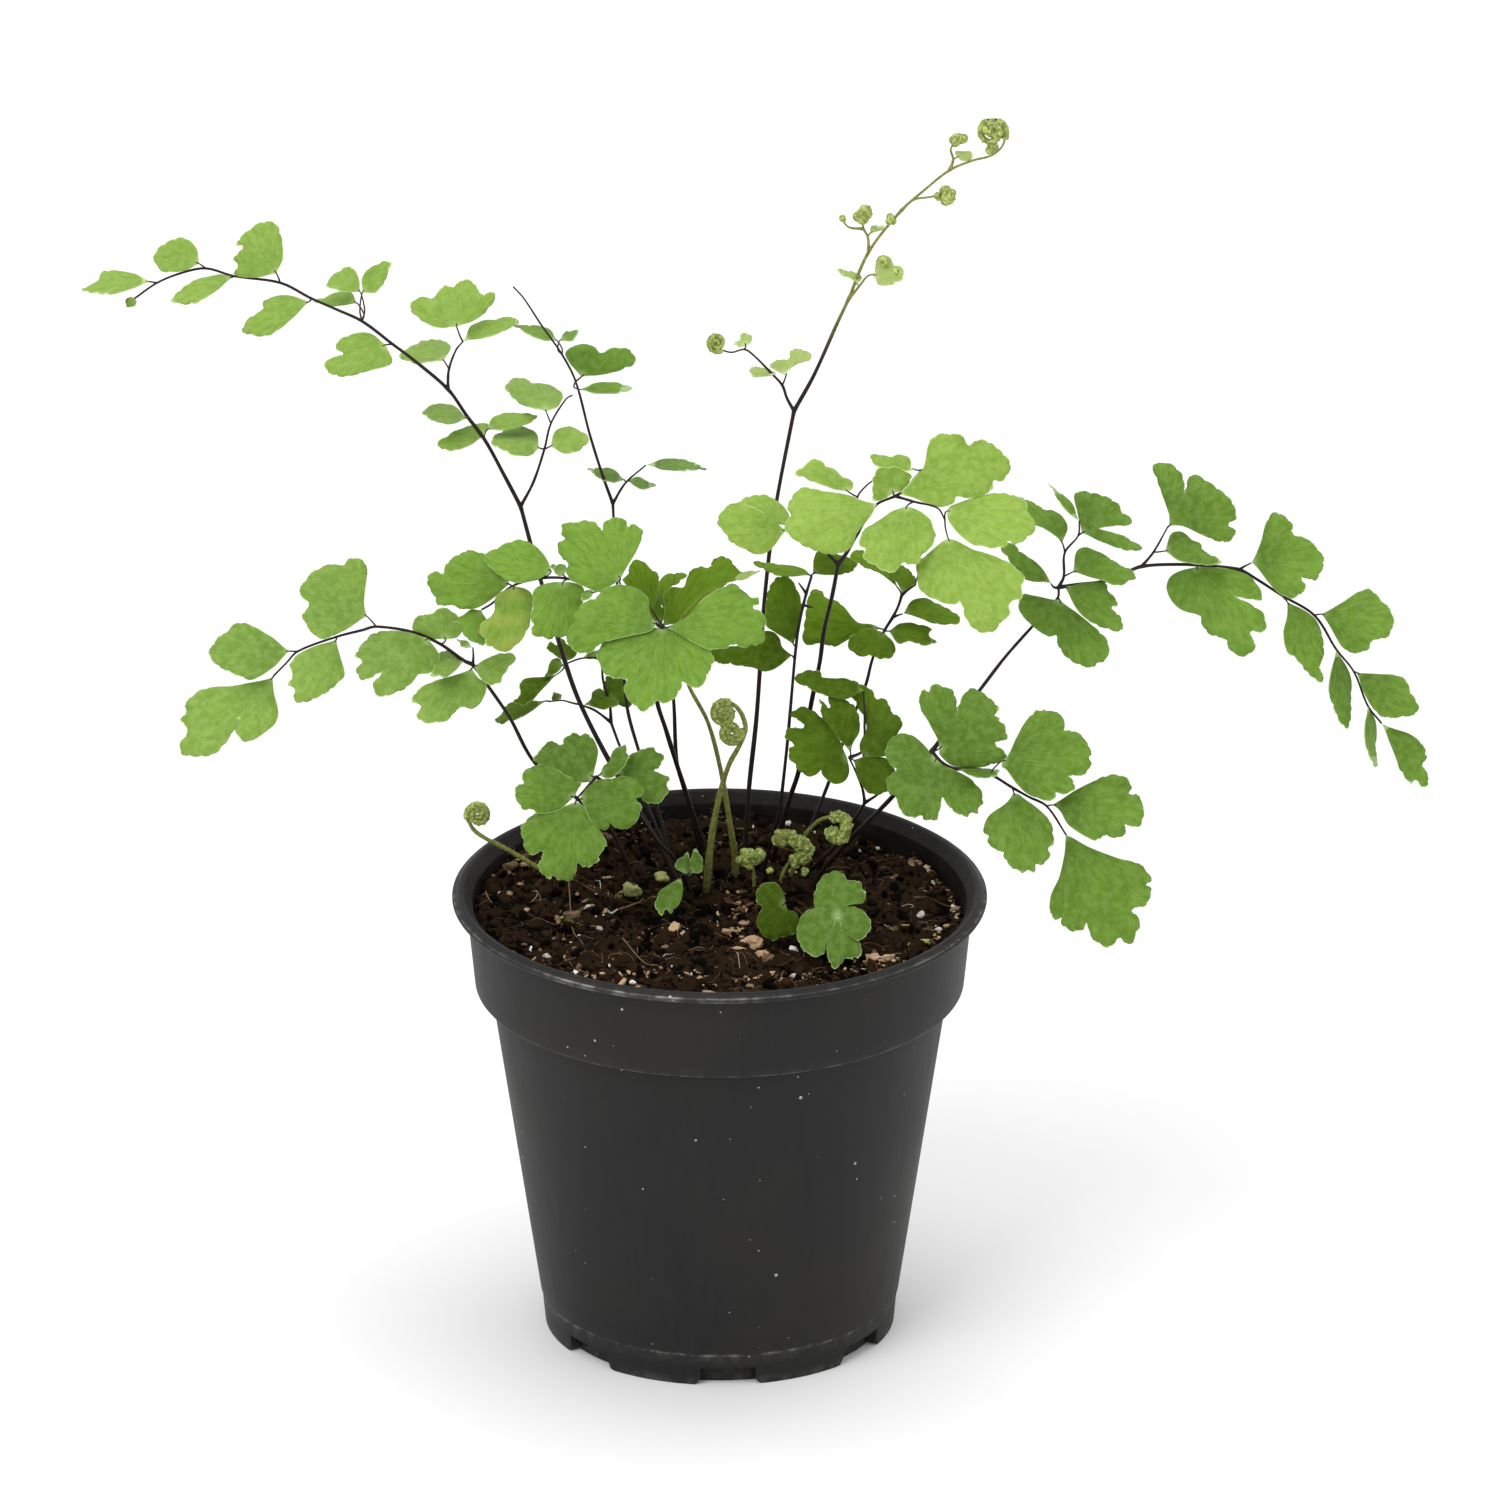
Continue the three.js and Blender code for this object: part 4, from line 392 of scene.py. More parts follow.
@dataclass
class Shader:
    """A node tree in the making: a material's own, or a group's."""

    tree: bpy.types.NodeTree

    def feed(self, node: bpy.types.Node, inputs: dict) -> bpy.types.Node:
        """Sets a node's inputs, by name or number, to constants or to other nodes' outputs."""
        for name, value in inputs.items():
            if isinstance(value, bpy.types.NodeSocket):
                self.tree.links.new(value, node.inputs[name])
            else:
                node.inputs[name].default_value = value
        return node

    def node(self, kind: str, inputs: dict | None = None, **settings: object) -> bpy.types.Node:
        """Adds a node.

        Args:
            kind: the node's type without its ShaderNode prefix.
            inputs: for each input's name or number, a constant or another node's output.
            settings: the node's own properties.
        """
        made = self.tree.nodes.new("ShaderNode" + kind)
        for name, value in settings.items():
            setattr(made, name, value)
        return self.feed(made, inputs or {})

    def math(self, operation: str, *values: object) -> bpy.types.NodeSocket:
        """Output of a Math node on up to three values."""
        return self.node("Math", dict(enumerate(values)), operation=operation).outputs[0]

    def ramp(self, value: object, low: float, high: float, start: float = 0.0, end: float = 1.0) -> object:
        """Output that goes smoothly from start to end while value goes from low to high."""
        given = {"Value": value, "From Min": low, "From Max": high, "To Min": start, "To Max": end}
        return self.node("MapRange", given, interpolation_type="SMOOTHSTEP").outputs["Result"]

    def mix(self, factor: object, first: object, second: object) -> object:
        """Colour between two colours."""
        first, second = ((*c, 1) if isinstance(c, tuple) else c for c in (first, second))
        return self.node("Mix", {0: factor, 6: first, 7: second}, data_type="RGBA").outputs[2]

    def bump(self, height: object, strength: float, distance: float) -> object:
        """Normal that is tilted by the slope of a height, whose full range is the distance in millimetres."""
        given = {"Height": height, "Strength": strength, "Distance": distance * MM}
        return self.node("Bump", given).outputs[0]

    def value(self, name: str) -> bpy.types.NodeSocket:
        """A named value of the mesh."""
        return self.node("Attribute", attribute_name=name).outputs["Fac"]

    def place(self, stretch: Triple = (1, 1, 1)) -> bpy.types.NodeSocket:
        """Object coordinates in millimetres, stretched along each axis."""
        where = self.node("TexCoord").outputs["Object"]
        scale = tuple(part / MM for part in stretch)
        return self.node("Mapping", {"Vector": where, "Scale": scale}).outputs[0]

    def noise(self, where: object, size: float, detail: float = 2, rough: float = 0.5) -> object:
        """Noise from 0 to 1 with features of a size in millimetres."""
        given = {"Vector": where, "Scale": 1 / size, "Detail": detail, "Roughness": rough}
        return self.node("TexNoise", given).outputs[0]

    def times(self, first: object, second: object) -> bpy.types.NodeSocket:
        """Product of two values."""
        return self.math("MULTIPLY", first, second)

    def plus(self, first: object, second: object) -> bpy.types.NodeSocket:
        """Sum of two values."""
        return self.math("ADD", first, second)

    def group(self, tree: bpy.types.NodeTree, **inputs: object) -> bpy.types.Node:
        """Adds a node group, with values for its named inputs."""
        made = self.tree.nodes.new("ShaderNodeGroup")
        made.node_tree = tree
        return self.feed(made, inputs)


def new_group(name: str, inputs: dict, outputs: dict) -> tuple[Shader, object, object]:
    """Starts a shader node group.

    Args:
        name: its name.
        inputs: for each named input, the socket type's last word and a value for it.
        outputs: for each named output, the socket type's last word.

    Returns:
        The group's shader, and the nodes that hold its inputs and outputs.
    """
    tree = bpy.data.node_groups.new(name, "ShaderNodeTree")
    for title, (kind, value) in inputs.items():
        socket = tree.interface.new_socket(title, in_out="INPUT", socket_type="NodeSocket" + kind)
        socket.default_value = value
    for title, kind in outputs.items():
        tree.interface.new_socket(title, in_out="OUTPUT", socket_type="NodeSocket" + kind)
    return Shader(tree), tree.nodes.new("NodeGroupInput"), tree.nodes.new("NodeGroupOutput")


def surface(name: str, **constants: object) -> tuple[bpy.types.Material, Shader, bpy.types.Node]:
    """Starts a material.

    Args:
        name: its name.
        constants: the shader's own sockets that are the same all over, by name with _ for a space.

    Returns:
        The material, its shader tree, and its principled node.
    """
    material = bpy.data.materials.new(name)
    material.use_nodes = True
    shader = Shader(material.node_tree)
    principled = material.node_tree.nodes["Principled BSDF"]
    for title, value in constants.items():
        principled.inputs[title.replace("_", " ")].default_value = value
    return material, shader, principled


def fan_veins() -> bpy.types.NodeTree:
    """Group for forking veins that fan out from a leaflet's root.

    Lines of equal angle double in number each time that the distance from the root doubles. The
    distance to the nearest line is the part of a turn to it times the distance from the root.
    """
    shader, given, made = new_group(
        "fan_veins",
        {"Angle": ("Float", 0.0), "Reach": ("Float", 1.0), "Lines": ("Float", 5.0), "Width": ("Float", 0.1)},
        {"Line": "Float"},
    )
    angle, reach = given.outputs["Angle"], given.outputs["Reach"]
    far = shader.math("MAXIMUM", reach, 0.6)
    level = shader.math("FLOOR", shader.math("LOGARITHM", shader.math("DIVIDE", far, 1.5), 2.0))
    count = shader.times(given.outputs["Lines"], shader.math("POWER", 2.0, level))
    part = shader.math("PINGPONG", shader.times(angle, count), 0.5)
    gap = shader.math("DIVIDE", shader.times(part, far), count)
    line = shader.math("SUBTRACT", 1.0, shader.math("DIVIDE", gap, given.outputs["Width"]))
    shader.tree.links.new(shader.math("MAXIMUM", line, 0.0), made.inputs["Line"])
    return shader.tree


def specks() -> bpy.types.NodeTree:
    """Group for scattered round specks, of which only the given share of cells holds one."""
    shader, given, made = new_group(
        "specks",
        {
            "Vector": ("Vector", (0, 0, 0)), "Spacing": ("Float", 3.0),
            "Radius": ("Float", 0.2), "Share": ("Float", 0.4),
        },
        {"Speck": "Float"},
    )
    scale = shader.math("DIVIDE", 1.0, given.outputs["Spacing"])
    cells = shader.node("TexVoronoi", {"Vector": given.outputs["Vector"], "Scale": scale})
    picked = shader.node("SeparateColor", {0: cells.outputs["Color"]})
    size = shader.times(picked.outputs[1], given.outputs["Radius"])
    size = shader.math("DIVIDE", size, given.outputs["Spacing"])
    inside = shader.math("LESS_THAN", cells.outputs["Distance"], size)
    chosen = shader.math("LESS_THAN", picked.outputs[0], given.outputs["Share"])
    shader.tree.links.new(shader.times(inside, chosen), made.inputs["Speck"])
    return shader.tree


@dataclass(frozen=True)
class LeafFinish:
    """Colours of one kind of leaflet, as linear red, green and blue, and the number of its veins."""

    base: Triple
    shade: Triple
    vein: Triple
    margin: Triple
    back: Triple
    gloss: float = 0.08
    roughness: float = 0.5
    spoilt: Triple = (0.38, 0.39, 0.09)
    lines: float = 26.0
    line_width: float = 0.11

    def make(self, name: str, veins: bpy.types.NodeTree) -> bpy.types.Material:
        """Builds the material from the mesh values angle, reach, edge, tone, side and stain."""
        material, shader, principled = surface(
            name,
            Subsurface_Weight=0.15,
            Subsurface_Radius=(0.5, 1.0, 0.15),
            Subsurface_Scale=0.4 * MM,
            Specular_IOR_Level=self.gloss,
        )
        where = shader.place()
        reach = shader.value("reach")
        far = shader.ramp(reach, 1.5, 12.0, -0.02, 0.27)
        patch = shader.math("MULTIPLY_ADD", shader.noise(where, 5.5, 3), 0.75, far)
        patch = shader.math("MULTIPLY_ADD", shader.value("tone"), 0.35, patch)
        colour = shader.mix(shader.ramp(patch, 0.0, 1.0), self.shade, self.base)
        bend = shader.times(shader.math("SUBTRACT", shader.noise(where, 2.5), 0.5), 0.012)
        angle = shader.plus(shader.value("angle"), bend)
        fan = shader.group(veins, Angle=angle, Reach=reach, Lines=self.lines, Width=self.line_width)
        line = fan.outputs["Line"]
        faint = shader.times(line, shader.ramp(shader.noise(where, 1.3), 0.35, 0.65, 0.1, 0.42))
        colour = shader.mix(faint, colour, self.vein)
        polar = {0: shader.times(angle, 90.0), 1: shader.times(reach, 0.35)}
        ray = shader.noise(shader.node("CombineXYZ", polar).outputs[0], 1.0, 3)
        colour = shader.mix(shader.ramp(ray, 0.4, 0.7, 0.0, 0.4), colour, self.shade)
        cell = shader.noise(where, 0.3, 2, 0.7)
        colour = shader.mix(shader.ramp(cell, 0.5, 0.72, 0.0, 0.3), colour, self.shade)
        rim = shader.ramp(shader.value("edge"), 0.02, 0.2, 0.7, 0.0)
        # Painted shadow: parts of the margin, picked by noise, darkened as by a curled edge; the rest stays
        # pale.
        margin_shadow = shader.ramp(shader.noise(where, 5.0, 2), 0.47, 0.56, 0.0, 0.75)
        edging = shader.mix(margin_shadow, self.margin, tuple(0.7 * c for c in self.shade))
        colour = shader.mix(rim, colour, edging)
        colour = shader.mix(shader.ramp(reach, 0.3, 1.8, 0.45, 0.0), colour, self.margin)
        under = shader.mix(0.75, colour, self.back)
        colour = shader.mix(shader.value("side"), under, colour)
        spread = shader.ramp(shader.noise(where, 4), 0.3, 0.75)
        stain = shader.times(shader.value("stain"), spread)
        colour = shader.mix(stain, colour, self.spoilt)
        rough = shader.ramp(cell, 0.2, 0.8, self.roughness - 0.1, self.roughness + 0.12)
        relief = shader.plus(shader.times(line, -0.5), shader.times(cell, 0.3))
        bump = shader.bump(relief, 0.3, 0.1)
        shader.feed(principled, {"Base Color": colour, "Roughness": rough, "Normal": bump})
        return material


@dataclass(frozen=True)
class StemFinish:
    """Wiry stem: dark where it is ripe, olive where it is young, and lime at its furled tips."""

    ripe: Triple
    young: Triple
    tip: Triple
    roughness: float = 0.38
    fuzz: Triple = (0.66, 0.72, 0.4)

    def make(self, name: str) -> bpy.types.Material:
        """Builds the material from the mesh value youth: 0 ripe, 0.5 young, 1 furled tip."""
        material, shader, principled = surface(name, Specular_IOR_Level=0.22)
        where = shader.place()
        fleck = shader.noise(where, 0.7, 3, 0.65)
        light = shader.ramp(fleck, 0.35, 0.75)
        youth = shader.value("youth")
        colour = shader.mix(light, self.ripe, tuple(2.4 * c for c in self.ripe))
        young = shader.mix(light, tuple(0.5 * c for c in self.young), self.young)
        tip = shader.mix(light, tuple(0.3 * c for c in self.tip), self.tip)
        fuzz = shader.ramp(shader.noise(where, 0.35, 2), 0.56, 0.7, 0.0, 0.4)
        tip = shader.mix(fuzz, tip, self.fuzz)
        colour = shader.mix(shader.ramp(youth, 0.0, 0.5), colour, young)
        colour = shader.mix(shader.ramp(youth, 0.5, 1.0), colour, tip)
        rough = shader.ramp(fleck, 0.2, 0.8, self.roughness - 0.08, self.roughness + 0.2)
        bump = shader.bump(fleck, 0.3, 0.08)
        shader.feed(principled, {"Base Color": colour, "Roughness": rough, "Normal": bump})
        return material


@dataclass(frozen=True)
class GrainFinish:
    """Rough natural matter such as peat, bark or perlite, in two tones that noise mixes."""

    dark: Triple
    light: Triple
    size: float
    roughness: float = 0.9
    stretch: Triple = (1, 1, 1)
    bump: float = 0.5
    fleck: Triple | None = None

    def make(self, name: str, speck_group: bpy.types.NodeTree) -> bpy.types.Material:
        """Builds the material; the mesh value tone, from -1 to 1, shifts each bit's own tone, and on the bed
        paints light and shade.
        """
        material, shader, principled = surface(name, Specular_IOR_Level=0.04)
        where = shader.place(self.stretch)
        grain = shader.noise(where, self.size, 4, 0.65)
        wide = shader.noise(where, self.size * 6, 2)
        level = shader.math("MULTIPLY_ADD", shader.value("tone"), 0.3, shader.times(wide, 0.5))
        level = shader.math("MULTIPLY_ADD", grain, 0.5, level)
        colour = shader.mix(shader.ramp(level, 0.25, 0.85), self.dark, self.light)
        if self.fleck:
            dots = shader.group(speck_group, Vector=where, Spacing=1.5, Radius=0.42, Share=0.16)
            colour = shader.mix(dots.outputs["Speck"], colour, self.fleck)
        rough = shader.ramp(grain, 0.2, 0.8, self.roughness - 0.15, min(1.0, self.roughness + 0.1))
        bump = shader.bump(grain, self.bump, self.size * 0.4)
        shader.feed(principled, {"Base Color": colour, "Roughness": rough, "Normal": bump})
        return material


@dataclass(frozen=True)
class PlasticFinish:
    """Matt moulded pot plastic: fine grain, faint streaks, pale scuffs, dust, a painted lip highlight and
    painted shade inside.
    """

    dark: Triple = (0.0105, 0.0105, 0.0108)
    light: Triple = (0.016, 0.016, 0.0155)
    warm: Triple = (0.022, 0.018, 0.013)
    # Pale colour of dust and scuffs, also used for the painted highlight along the lip.
    dust_and_highlight: Triple = (0.5, 0.48, 0.45)
    # Soil colour, darkened to near black so that it also stands as painted shade inside the pot.
    soil: Triple = (0.007, 0.005, 0.0035)
    roughness: float = 0.52

    def make(self, name: str, speck_group: bpy.types.NodeTree) -> bpy.types.Material:
        """Builds the material from wear (worn edges, painted lip highlight) and dirt (soil, painted shade)."""
        material, shader, principled = surface(name, Specular_IOR_Level=0.18)
        where = shader.place()
        cloud = shader.noise(where, 26.0, 3)
        streak = shader.noise(shader.place((1.0, 1.0, 0.06)), 1.6, 3, 0.6)
        level = shader.plus(shader.times(cloud, 0.6), shader.times(streak, 0.4))
        colour = shader.mix(shader.ramp(level, 0.3, 0.72), self.dark, self.light)
        tint = shader.ramp(shader.noise(where, 40.0, 2), 0.45, 0.8, 0.0, 0.4)
        colour = shader.mix(tint, colour, self.warm)
        # Soil smudges on the inner wall, darkened as painted shade, in noisy blotches.
        blotches = shader.ramp(shader.noise(where, 2.2, 4, 0.7), 0.36, 0.6, 0.3, 1.0)
        soil_and_shade = shader.times(shader.value("dirt"), blotches)
        colour = shader.mix(soil_and_shade, colour, self.soil)
        # Pale scuffs on worn edges and a painted highlight along the lip, both broken up by noise.
        broken_up = shader.ramp(shader.noise(where, 2.6, 4, 0.6), 0.4, 0.72, 0.04, 0.36)
        scuff_and_highlight = shader.times(shader.value("wear"), broken_up)
        colour = shader.mix(scuff_and_highlight, colour, self.dust_and_highlight)
        coarse = shader.group(speck_group, Vector=where, Spacing=5.0, Radius=0.42, Share=0.34).outputs["Speck"]
        fine = shader.group(speck_group, Vector=where, Spacing=1.9, Radius=0.17, Share=0.2).outputs["Speck"]
        dusty = shader.times(shader.math("MAXIMUM", coarse, fine), 0.75)
        colour = shader.mix(dusty, colour, self.dust_and_highlight)
        grain = shader.noise(where, 0.22, 3)
        rough = shader.plus(shader.ramp(level, 0.2, 0.8, -0.06, 0.1), self.roughness)
        rough = shader.plus(rough, shader.times(dusty, 0.3))
        relief = shader.plus(grain, shader.times(streak, 0.8))
        bump = shader.bump(relief, 0.22, 0.06)
        shader.feed(principled, {"Base Color": colour, "Roughness": rough, "Normal": bump})
        return material


# Foliage


def spring_depth(root: tuple, slopes: tuple, joint: tuple, rise: float) -> float:
    """Depth of a leaflet's root, so that its plane passes a little in front of its stem point."""
    return joint[2] - slopes[0] * (joint[0] - root[0]) - slopes[1] * (joint[1] - root[1]) - rise


def inside(points: np.ndarray, outline: np.ndarray) -> np.ndarray:
    """Whether each point is in a closed outline: its ray to the right crosses it an odd number of times."""
    x, y = points[:, :1], points[:, 1:]
    ax, ay = outline.T
    bx, by = np.roll(outline, -1, axis=0).T
    spans = (ay > y) != (by > y)
    rise = np.where(by == ay, 1.0, by - ay)
    return (spans & (x < ax + (y - ay) * (bx - ax) / rise)).sum(axis=1) % 2 == 1


@dataclass
class Leaflet:
    """One leaflet: where its stalk meets the blade, how its plane lies, and its outline."""

    root: tuple[float, float]
    slopes: tuple[float, float]
    tone: float
    outline: np.ndarray
    step: float = 0.3
    grid: float = 0.85
    thickness: float = 0.1
    arch: float = 0.006
    scallop: float = 0.32
    period: float = 1.6
    jitter: float = 0.16
    bare: float = 0.34

    @classmethod
    def read(cls, row: list[float]) -> "Leaflet":
        """The leaflet that a row of the table describes: root, slopes, tone and outline."""
        return cls(tuple(row[:2]), tuple(row[2:4]), row[4], np.reshape(row[5:], (-1, 2)))

    def edge_line(self, rng: Random) -> np.ndarray:
        """Margin as a closed line round the root's origin, with small rounded teeth far from the root.

        The traced corners are joined by a smooth curve. Each tooth is the size of the sine of half a
        turn, taken off along the margin's inward normal, so that only the notches bite in.
        """
        corners = np.vstack([self.root, self.outline, self.root]) - np.array(self.root)
        line = spline(corners, self.step)[:-1]
        ahead = unit(np.roll(line, -1, axis=0) - np.roll(line, 1, axis=0))
        area = np.sum(line[:, 0] * np.roll(line[:, 1], -1) - line[:, 1] * np.roll(line[:, 0], -1))
        inward = np.column_stack([-ahead[:, 1], ahead[:, 0]]) * np.sign(area)
        reach = np.linalg.norm(line, axis=1)
        part = reach / reach.max()
        along = np.arange(len(line)) * self.step
        bite = np.zeros(len(line))
        for period, depth in ((self.period * 1.6, self.scallop), (self.period * 0.55, self.scallop * 0.4)):
            swing = 0.6 * np.sin(along * 1.1 / period + rng.uniform(0, 6))
            wave = np.abs(np.sin(np.pi * along / period / rng.uniform(0.85, 1.15) + swing))
            bite += (1 - wave**0.6) * depth
        bite *= smoothstep(0.45, 0.68, part)
        bite -= 0.22 * smoothstep(0.08, 0.3, part) * (1 - smoothstep(0.6, 0.85, part))
        return line + inward * bite[:, None]

    def cut(self, edge: np.ndarray, rng: Random) -> tuple[np.ndarray, np.ndarray, np.ndarray]:
        """Fills the margin with triangles.

        Args:
            edge: the closed margin.
            rng: source of the jitter of the inner points.

        Returns:
            Points, triangles, and each point's distance to the margin. The inner points are a grid
            of staggered rows, each moved by up to the jitter. None lies nearer to the margin than the
            bare strip, and all are joined by a Delaunay cut that keeps the margin.
        """
        low, high = edge.min(axis=0), edge.max(axis=0)
        across = np.arange(low[0], high[0], self.grid)
        up = np.arange(low[1], high[1], self.grid * 0.87)
        rows = np.stack(np.meshgrid(across, up), axis=-1)
        rows[1::2, :, 0] += self.grid / 2
        inner = rows.reshape(-1, 2) + rng.uniform(-self.jitter, self.jitter, (rows[..., 0].size, 2))
        inner = inner[inside(inner, edge)]
        if len(inner):
            gap = np.linalg.norm(inner[:, None] - edge[None], axis=2).min(axis=1)
            inner = inner[gap > self.bare]
        found, faces = fill(np.vstack([edge, inner]), loop(len(edge)), 1, 1e-5)
        gap = np.linalg.norm(found[:, None] - edge[None], axis=2).min(axis=1)
        return found, faces, gap

    def grow(
        self, blades: Shell, wires: Shell, joint: tuple, order: int,
        seed: int, youth: float, tone: float, stain: float,
    ) -> None:
        """Adds the blade and its hair-thin stalk.

        Args:
            blades: takes the blade.
            wires: takes the stalk.
            joint: stem point that the leaflet springs from.
            order: the leaflet's number in its frond.
            seed: seed of its own small differences.
            youth: 0 for a dark stalk, 1 for a green one.
            tone: the frond's own tone, -1 for dark and 1 for light, which the leaflet's adds to.
            stain: strength of the brown stain.

        The plane is spanned by a sideways and an upward step, each with its own slope in depth. The
        height above it is the arch, which falls with the square of the reach, plus pleats that
        follow the angle round the root, a slow wave, and a margin that curls back.
        """
        rng = np.random.default_rng(seed)
        step = np.array(joint[:2]) - np.array(self.root)
        rise = min((0.5, 1.1, 1.7)[order % 3], float(np.linalg.norm(step)) / 2)
        depth = spring_depth(self.root, self.slopes, joint, rise)
        origin = place([*self.root, depth])[0]
        sideways, upward = lift(1, 0, self.slopes[0]), lift(0, 1, self.slopes[1])
        outward = unit(np.cross(sideways, upward))
        edge = self.edge_line(rng)
        flat, triangles, gap = self.cut(edge, rng)
        reach = np.linalg.norm(flat, axis=1)
        middle = math.atan2(*np.mean(self.outline - np.array(self.root), axis=0)[::-1])
        turn = (np.arctan2(flat[:, 1], flat[:, 0]) - middle + np.pi) % (2 * np.pi) - np.pi
        long = reach.max()
        pleat = 0.1 * np.sin(turn * rng.uniform(15, 21)) * smoothstep(0.1, 0.6, reach / long)
        wave = 0.05 * long * np.sin(turn * rng.uniform(2.2, 4.2) + rng.uniform(0, 6)) * (reach / long) ** 1.5
        curl = -rng.uniform(0.15, 0.5) * np.exp(-gap / 0.9) * smoothstep(0.3, 0.7, reach / long)
        cup = -rng.uniform(0.0, 0.06) * long * (turn / 1.2) ** 2 * (reach / long)
        height = pleat + wave + curl + cup - self.arch * reach**2
        half = self.thickness * np.clip(0.55 + gap, 0.55, 1.0)
        points = origin + flat[:, :1] * sideways + flat[:, 1:] * upward
        front = points + (height + half)[:, None] * outward
        back = points + (height - half)[:, None] * outward
        a, b, c = flat[triangles[:, 0]], flat[triangles[:, 1]], flat[triangles[:, 2]]
        area = (b[:, 0] - a[:, 0]) * (c[:, 1] - a[:, 1]) - (b[:, 1] - a[:, 1]) * (c[:, 0] - a[:, 0])
        triangles = np.where((area < 0)[:, None], triangles[:, ::-1], triangles)
        sides = np.vstack([triangles[:, [0, 1]], triangles[:, [1, 2]], triangles[:, [2, 0]]])
        size = len(flat)
        single = ~np.isin(sides[:, 0] * size + sides[:, 1], sides[:, 1] * size + sides[:, 0])
        rim = sides[single]
        quads = np.column_stack([rim[:, 1], rim[:, 0], rim[:, 0] + size, rim[:, 1] + size])
        blades.add(
            np.vstack([front, back]),
            np.vstack([triangles, triangles[:, ::-1] + size]),
            quads,
            angle=np.tile(turn, 2) / (2 * np.pi),
            reach=np.tile(reach, 2),
            edge=np.tile(gap, 2),
            side=np.repeat([1.0, 0.0], size),
            tone=tone + self.tone + 0.45 * rng.uniform(-1, 1),
            stain=stain,
        )
        start = place(joint)[0]
        ahead = unit(np.mean(points, axis=0) - origin)
        away = np.linalg.norm(origin - start)
        if away > 0.5:
            bend = (start + origin) / 2 - 0.12 * away * ahead + np.array([0, 0, -0.03 * away])
            path = spline(np.vstack([start, bend, origin, origin + 0.8 * ahead]), 0.5)
            tube(wires, path, np.linspace(0.2, 0.13, len(path)), 6, youth=youth)


def folded(axis: np.ndarray, detail: int, folds: float, depth: float) -> tuple[np.ndarray, np.ndarray]:
    """Ball with folds that wind round an axis: a rolled leaflet of radius one.

    Args:
        axis: the direction that the folds run along.
        detail: fineness of the ball.
        folds: half the number of folds.
        depth: how far a fold sinks in.

    Returns:
        Its points and triangles. The radius falls with the root of the sine of the angle round the axis.
    """
    points, triangles = ball(detail)
    arm = unit(np.cross(axis, [0.3, 0.9, 0.1]))
    around = np.arctan2(points @ np.cross(axis, arm), points @ arm)
    sink = depth * np.abs(np.sin(around * folds + points @ axis * 2.3)) ** 0.6
    return points * (1 - sink)[:, None], triangles


